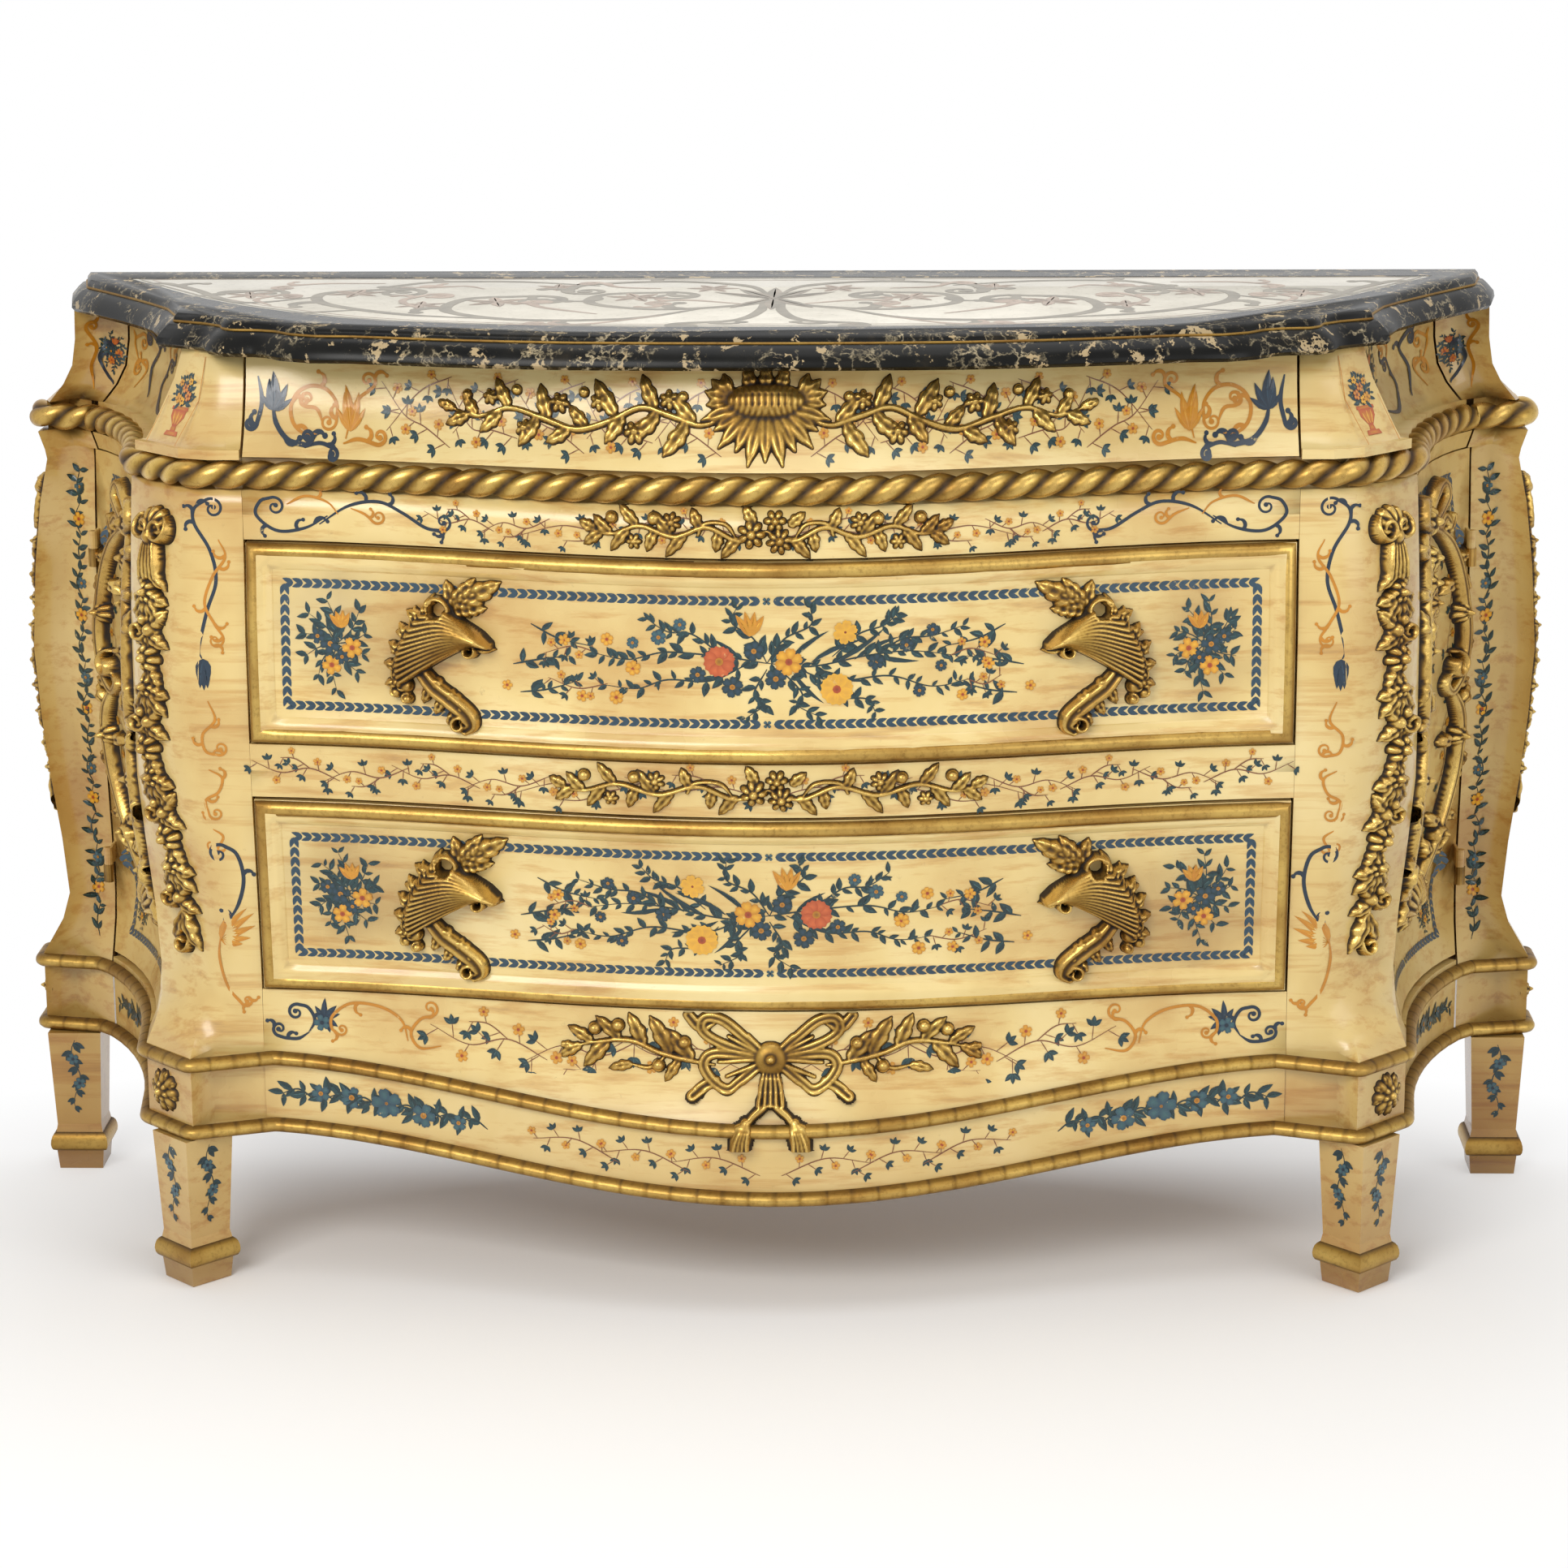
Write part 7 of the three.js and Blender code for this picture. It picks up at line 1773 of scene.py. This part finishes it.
# Side bands of the base
side_base_skin = side_skin(["right_side_apron"], 166, 208)
long = side_base_skin.length() - 12
p = Paint()
for k in range(9):
    a = long * (0.14 + 0.09 * k)
    p.branch([(a - 14, 184), (a, 190), (a + 16, 186)], 4, 12)
for k, radius in enumerate((6, 8, 10, 8, 10, 8, 6)):
    p.flower(long * (0.2 + 0.1 * k), 187 + 3 * (-1) ** k, radius, 5, LAUREL, LEAF_PALE, OCHRE, k * 20)
painted(p, "right_side_base_flowers", side_base_skin)


# Legs: a hanging vine on each seen face and a gilt ring at each foot
def vine(paint, top, foot):
    """A stem that sways as it hangs, with two leaves to one side at each step."""
    path = curve([(4 * math.sin(t * 9), top - (top - foot) * t) for t in np.linspace(0, 1, 9)])
    paint.stroke(path, 1.1, LEAF, 0.4)
    for k in range(9):
        at = path[int((k + 0.4) / 9 * (len(path) - 1))]
        side = 1 if k % 2 else -1
        for lean in (30, 62):
            paint.leaf(*at, -90 + side * lean, 13 - 0.6 * k, 6.4 - 0.3 * k, LEAF, LAUREL)
        if k in (2, 5):
            paint.flower(*at, 6.4, 5, LAUREL, LEAF_PALE, BLUE)


for leg, face, view, along in (
        ("front", "outer", POST_VIEW, POST_ALONG), ("front", "inner", (CANT, CANT, 0), (CANT, -CANT, 0)),
        ("back", "front", (0, 1, 0), (1, 0, 0)), ("back", "side", (-1, 0, 0), (0, 1, 0))):
    x, y = LEG_PLACES[leg]
    skin = Skin([f"right_{leg}_leg"], (-16, 16), (52, 146), view, along, (x * MM, y * MM, 0), 4)
    p = Paint()
    vine(p, 140, 62)
    painted(p, f"right_{leg}_leg_{face}_vine", skin)


# Height up the ring, how far out it swells, and its tone of painted shade and highlight
RING_PROFILE = [(0, 0, 0.3), (0.08, 0.62, 0.5), (0.22, 0.9, 0.66), (0.4, 1, 0.74), (0.6, 0.93, 0.7),
                (0.8, 0.7, 0.6), (0.92, 0.38, 0.45), (1, 0, 0.3)]


def foot_ring(leg, turn):
    """The swollen square ring above a foot, gilt all round."""
    x, y = LEG_PLACES[leg]
    points = []
    for up, out, _ in RING_PROFILE:
        half = FOOT_HALF + (RING_HALF - FOOT_HALF) * out + 0.35
        for k in range(4):
            angle = turn + k * math.pi / 2
            points.append(((x + half * math.sqrt(2) * math.cos(angle)) * MM,
                           (y + half * math.sqrt(2) * math.sin(angle)) * MM,
                           (FOOT_BLOCK + FOOT_RING * up) * MM))
    piece = mesh_object(f"right_{leg}_foot_ring", points, bands(len(RING_PROFILE), 4))
    carving_shade_tone(piece, np.repeat([tone for _, _, tone in RING_PROFILE], 4))
    smooth_below(piece, 45)
    finish_sides(piece, "case", "gilding", CARVED_GILT)


foot_ring("front", 0)
foot_ring("back", math.pi / 4)


# Scrolls laid into the pale stone of the top
TOP = cad_box[1][2]


class FlatSkin:
    """The stone top, drawn as seen from above. Strokes lie in its last half millimetre."""

    def at(self, a, b, h):
        a, b, h = (np.asarray(v, float) for v in (a, b, h))
        return np.stack([a * MM, b * MM, TOP - 0.0004 + 0.3 * h * MM], -1)


inlay = bpy.data.objects["scagliola_inlay_finished"]
for v in inlay.data.vertices:
    if v.co.z > TOP - 0.001:
        v.co.z = TOP - 0.0005

p = Paint()
for points, width, coil, leaves in (
        ([(6, 40), (40, -10), (110, -30), (170, 10), (160, 70), (100, 84)], 12, 26,
         ((0.2, 60, 46), (0.45, -70, 44), (0.7, 30, 40))),
        ([(60, -20), (130, -90), (230, -96), (300, -40), (290, 40), (230, 60)], 13, 30,
         ((0.2, -110, 40), (0.4, -30, 44), (0.7, 20, 46))),
        ([(250, -90), (340, -60), (420, 10), (430, 80), (370, 110)], 12, 28,
         ((0.3, -40, 44), (0.6, 10, 40))),
        ([(380, -30), (460, -50), (530, -10), (550, 60), (500, 100)], 11, 24,
         ((0.25, 60, 36), (0.55, -20, 40))),
        ([(430, 60), (500, 20), (560, 110), (590, 150)], 10, -18, ((0.4, 120, 34), (0.6, -10, 30))),
        ([(6, 70), (30, 130), (100, 160), (180, 140), (200, 100)], 11, -22,
         ((0.3, 100, 40), (0.6, 60, 40))),
        ([(170, 130), (250, 160), (330, 160), (370, 130)], 10, -16, ((0.3, 60, 34), (0.6, -60, 34))),
        ([(10, 30), (10, -40), (30, -100), (80, -120)], 11, -16, ((0.4, 200, 34), (0.7, -30, 36)))):
    scroll(p, points, width, STONE_GREY, coil, leaves, 1.2)
for points, width, coil in (
        ([(20, 0), (80, 30), (110, 20)], 8, -14), ([(160, -60), (210, -20), (230, 10)], 8, 14),
        ([(330, -20), (350, 30), (330, 70)], 8, 14), ([(470, 0), (490, 40), (470, 70)], 7, 12),
        ([(110, 110), (150, 120), (170, 150)], 7, -12), ([(280, 110), (300, 130), (330, 120)], 7, 10),
        ([(380, 150), (440, 150), (480, 130)], 7, -12), ([(100, -70), (160, -120), (210, -128)], 7, 10)):
    scroll(p, points, width, STONE_ROSE, coil, ((0.3, 50, 26), (0.6, -50, 26)), 1.2)
for x, y, size in ((130, 50, 30), (260, 20, 32), (400, 80, 28), (500, 70, 26), (210, 120, 24),
                   (60, 110, 26), (330, 0, 26)):
    for turn in range(0, 360, 60):
        p.leaf(x, y, turn + x, size, size * 0.4, STONE_ROSE, STONE_GREY)
p.both()
for turn in (90, 62, 118, 38, 142, -90, -58, -122):
    p.leaf(0, 40, turn, 74, 16, STONE_GREY, STONE_ROSE)
painted(p, "top_scrolls", FlatSkin(), material=STONE_SCROLLS, slot="inlay")

# Two lines that follow the edge of the inlaid field
top_tree = tree_of(["scagliola_inlay"])
for name, inset, width, tone in (
        ("top_border_line", 8, 4, STONE_GREY), ("top_inner_line", 20, 2, STONE_ROSE)):
    outline = []
    for angle in np.linspace(0, 2 * math.pi, 361):
        out = Vector((math.cos(angle), math.sin(angle), 0))
        hit = top_tree.ray_cast(Vector((0, 0.06, TOP - 0.002)) + out * FAR, -out)[0]
        if hit is not None:
            outline.append((hit.x / MM - out.x * inset, hit.y / MM - out.y * inset))
    p = Paint()
    p.stroke(outline, width, tone, 1, 1)
    painted(p, name, FlatSkin(), material=STONE_SCROLLS, slot="inlay")


# Studio: white surround, pale floor and soft lights
def seen_white(tree):
    """Gives 1 on rays that show the surround, straight or by way of metal and glass."""
    paths = tree.nodes.new("ShaderNodeLightPath")
    share = paths.outputs["Is Camera Ray"]
    for other in ("Is Glossy Ray", "Is Transmission Ray"):
        share = node(tree, "ShaderNodeMath", {0: share, 1: paths.outputs[other]},
                     operation="MAXIMUM").outputs[0]
    return share


def soft_light(name, place, target, size, power, colour=(1, 1, 1)):
    """A lamp with a face of the given size, turned to its target."""
    light = bpy.data.lights.new(name, "AREA")
    light.shape = "RECTANGLE"
    light.size, light.size_y = size
    light.energy = power
    light.color = colour
    lamp = bpy.data.objects.new(name, light)
    bpy.context.collection.objects.link(lamp)
    lamp.location = place
    lamp.rotation_euler = (Vector(target) - Vector(place)).to_track_quat("-Z", "Y").to_euler()


soft_light("window_light", (-1.6, -3.5, 2.9), (0, 0, 0.5), (2.4, 1.6), 104, (1.0, 0.98, 0.95))
soft_light("fill_light", (3.0, -2.8, 1.8), (0, 0, 0.5), (2.2, 2.2), 30)
soft_light("top_light", (0.2, 0.1, 3.4), (0, 0, 0.9), (3.0, 2.0), 38)

# The surround lights the chest with less than it shows to the camera
SURROUND_LIGHT = 0.48
SURROUND_SHOWN = 1.0
world = bpy.data.worlds.new("studio")
bpy.context.scene.world = world
world.use_nodes = True
sky = world.node_tree
level = sky.nodes.new("ShaderNodeMix")
sky.links.new(seen_white(sky), level.inputs[0])
level.inputs[2].default_value = SURROUND_LIGHT
level.inputs[3].default_value = SURROUND_SHOWN
sky.links.new(level.outputs[0], sky.nodes["Background"].inputs["Strength"])
sky.nodes["Background"].inputs["Color"].default_value = (1, 1, 1, 1)

# Floor, just below the feet and ending a little behind the chest
FLOOR_SIZE = 10
FLOOR_PLACE = (0, -2.8, -0.0005)
deselect()
bpy.ops.mesh.primitive_plane_add(size=FLOOR_SIZE, location=FLOOR_PLACE)
floor = bpy.context.active_object
floor.name = "studio_floor"
material, tree, shader = new_material("studio_floor")
shader.inputs["Base Color"].default_value = (0.92, 0.92, 0.92, 1)
shader.inputs["Roughness"].default_value = 0.9
# Away from the shadow the camera sees the floor as white as the surround
place = object_place(tree)
reach = node(tree, "ShaderNodeMapping", {"Vector": place}, in_Location=(0, -2.55, 0),
             in_Scale=(0.62, 1.0, 1.0))
distance = node(tree, "ShaderNodeVectorMath", {0: reach.outputs[0]}, operation="LENGTH").outputs["Value"]
far = ramp(tree, distance, [(0.42, 0.0), (0.85, 1.0)])
share = node(tree, "ShaderNodeMath", {0: far, 1: seen_white(tree)}, operation="MULTIPLY").outputs[0]
glow = node(tree, "ShaderNodeEmission", in_Strength=1.0)
mixed = tree.nodes.new("ShaderNodeMixShader")
tree.links.new(share, mixed.inputs[0])
tree.links.new(shader.outputs[0], mixed.inputs[1])
tree.links.new(glow.outputs[0], mixed.inputs[2])
tree.links.new(mixed.outputs[0], tree.nodes["Material Output"].inputs["Surface"])
floor.data.materials.append(material)

# Camera, where the photograph was taken from, in metres, degrees and millimetres of lens
PLACE = (0.124, -3.9166, 1.472)
LENS = 96.67
SENSOR = 36
YAW, PITCH, ROLL = math.radians(-1.694), math.radians(14.522), math.radians(0.349)
ahead = Vector((math.sin(YAW) * math.cos(PITCH), math.cos(YAW) * math.cos(PITCH), -math.sin(PITCH)))
right = Vector((math.cos(YAW), -math.sin(YAW), 0))
down = ahead.cross(right)
across = math.cos(ROLL) * right + math.sin(ROLL) * down
below = -math.sin(ROLL) * right + math.cos(ROLL) * down
lens = bpy.data.cameras.new("camera")
lens.lens = LENS
lens.sensor_width = SENSOR
camera = bpy.data.objects.new("camera", lens)
bpy.context.collection.objects.link(camera)
turn = Matrix((across, -below, -ahead)).transposed()
camera.matrix_world = Matrix.Translation(PLACE) @ turn.to_4x4()
bpy.context.scene.camera = camera
bpy.context.scene.view_settings.view_transform = "Standard"
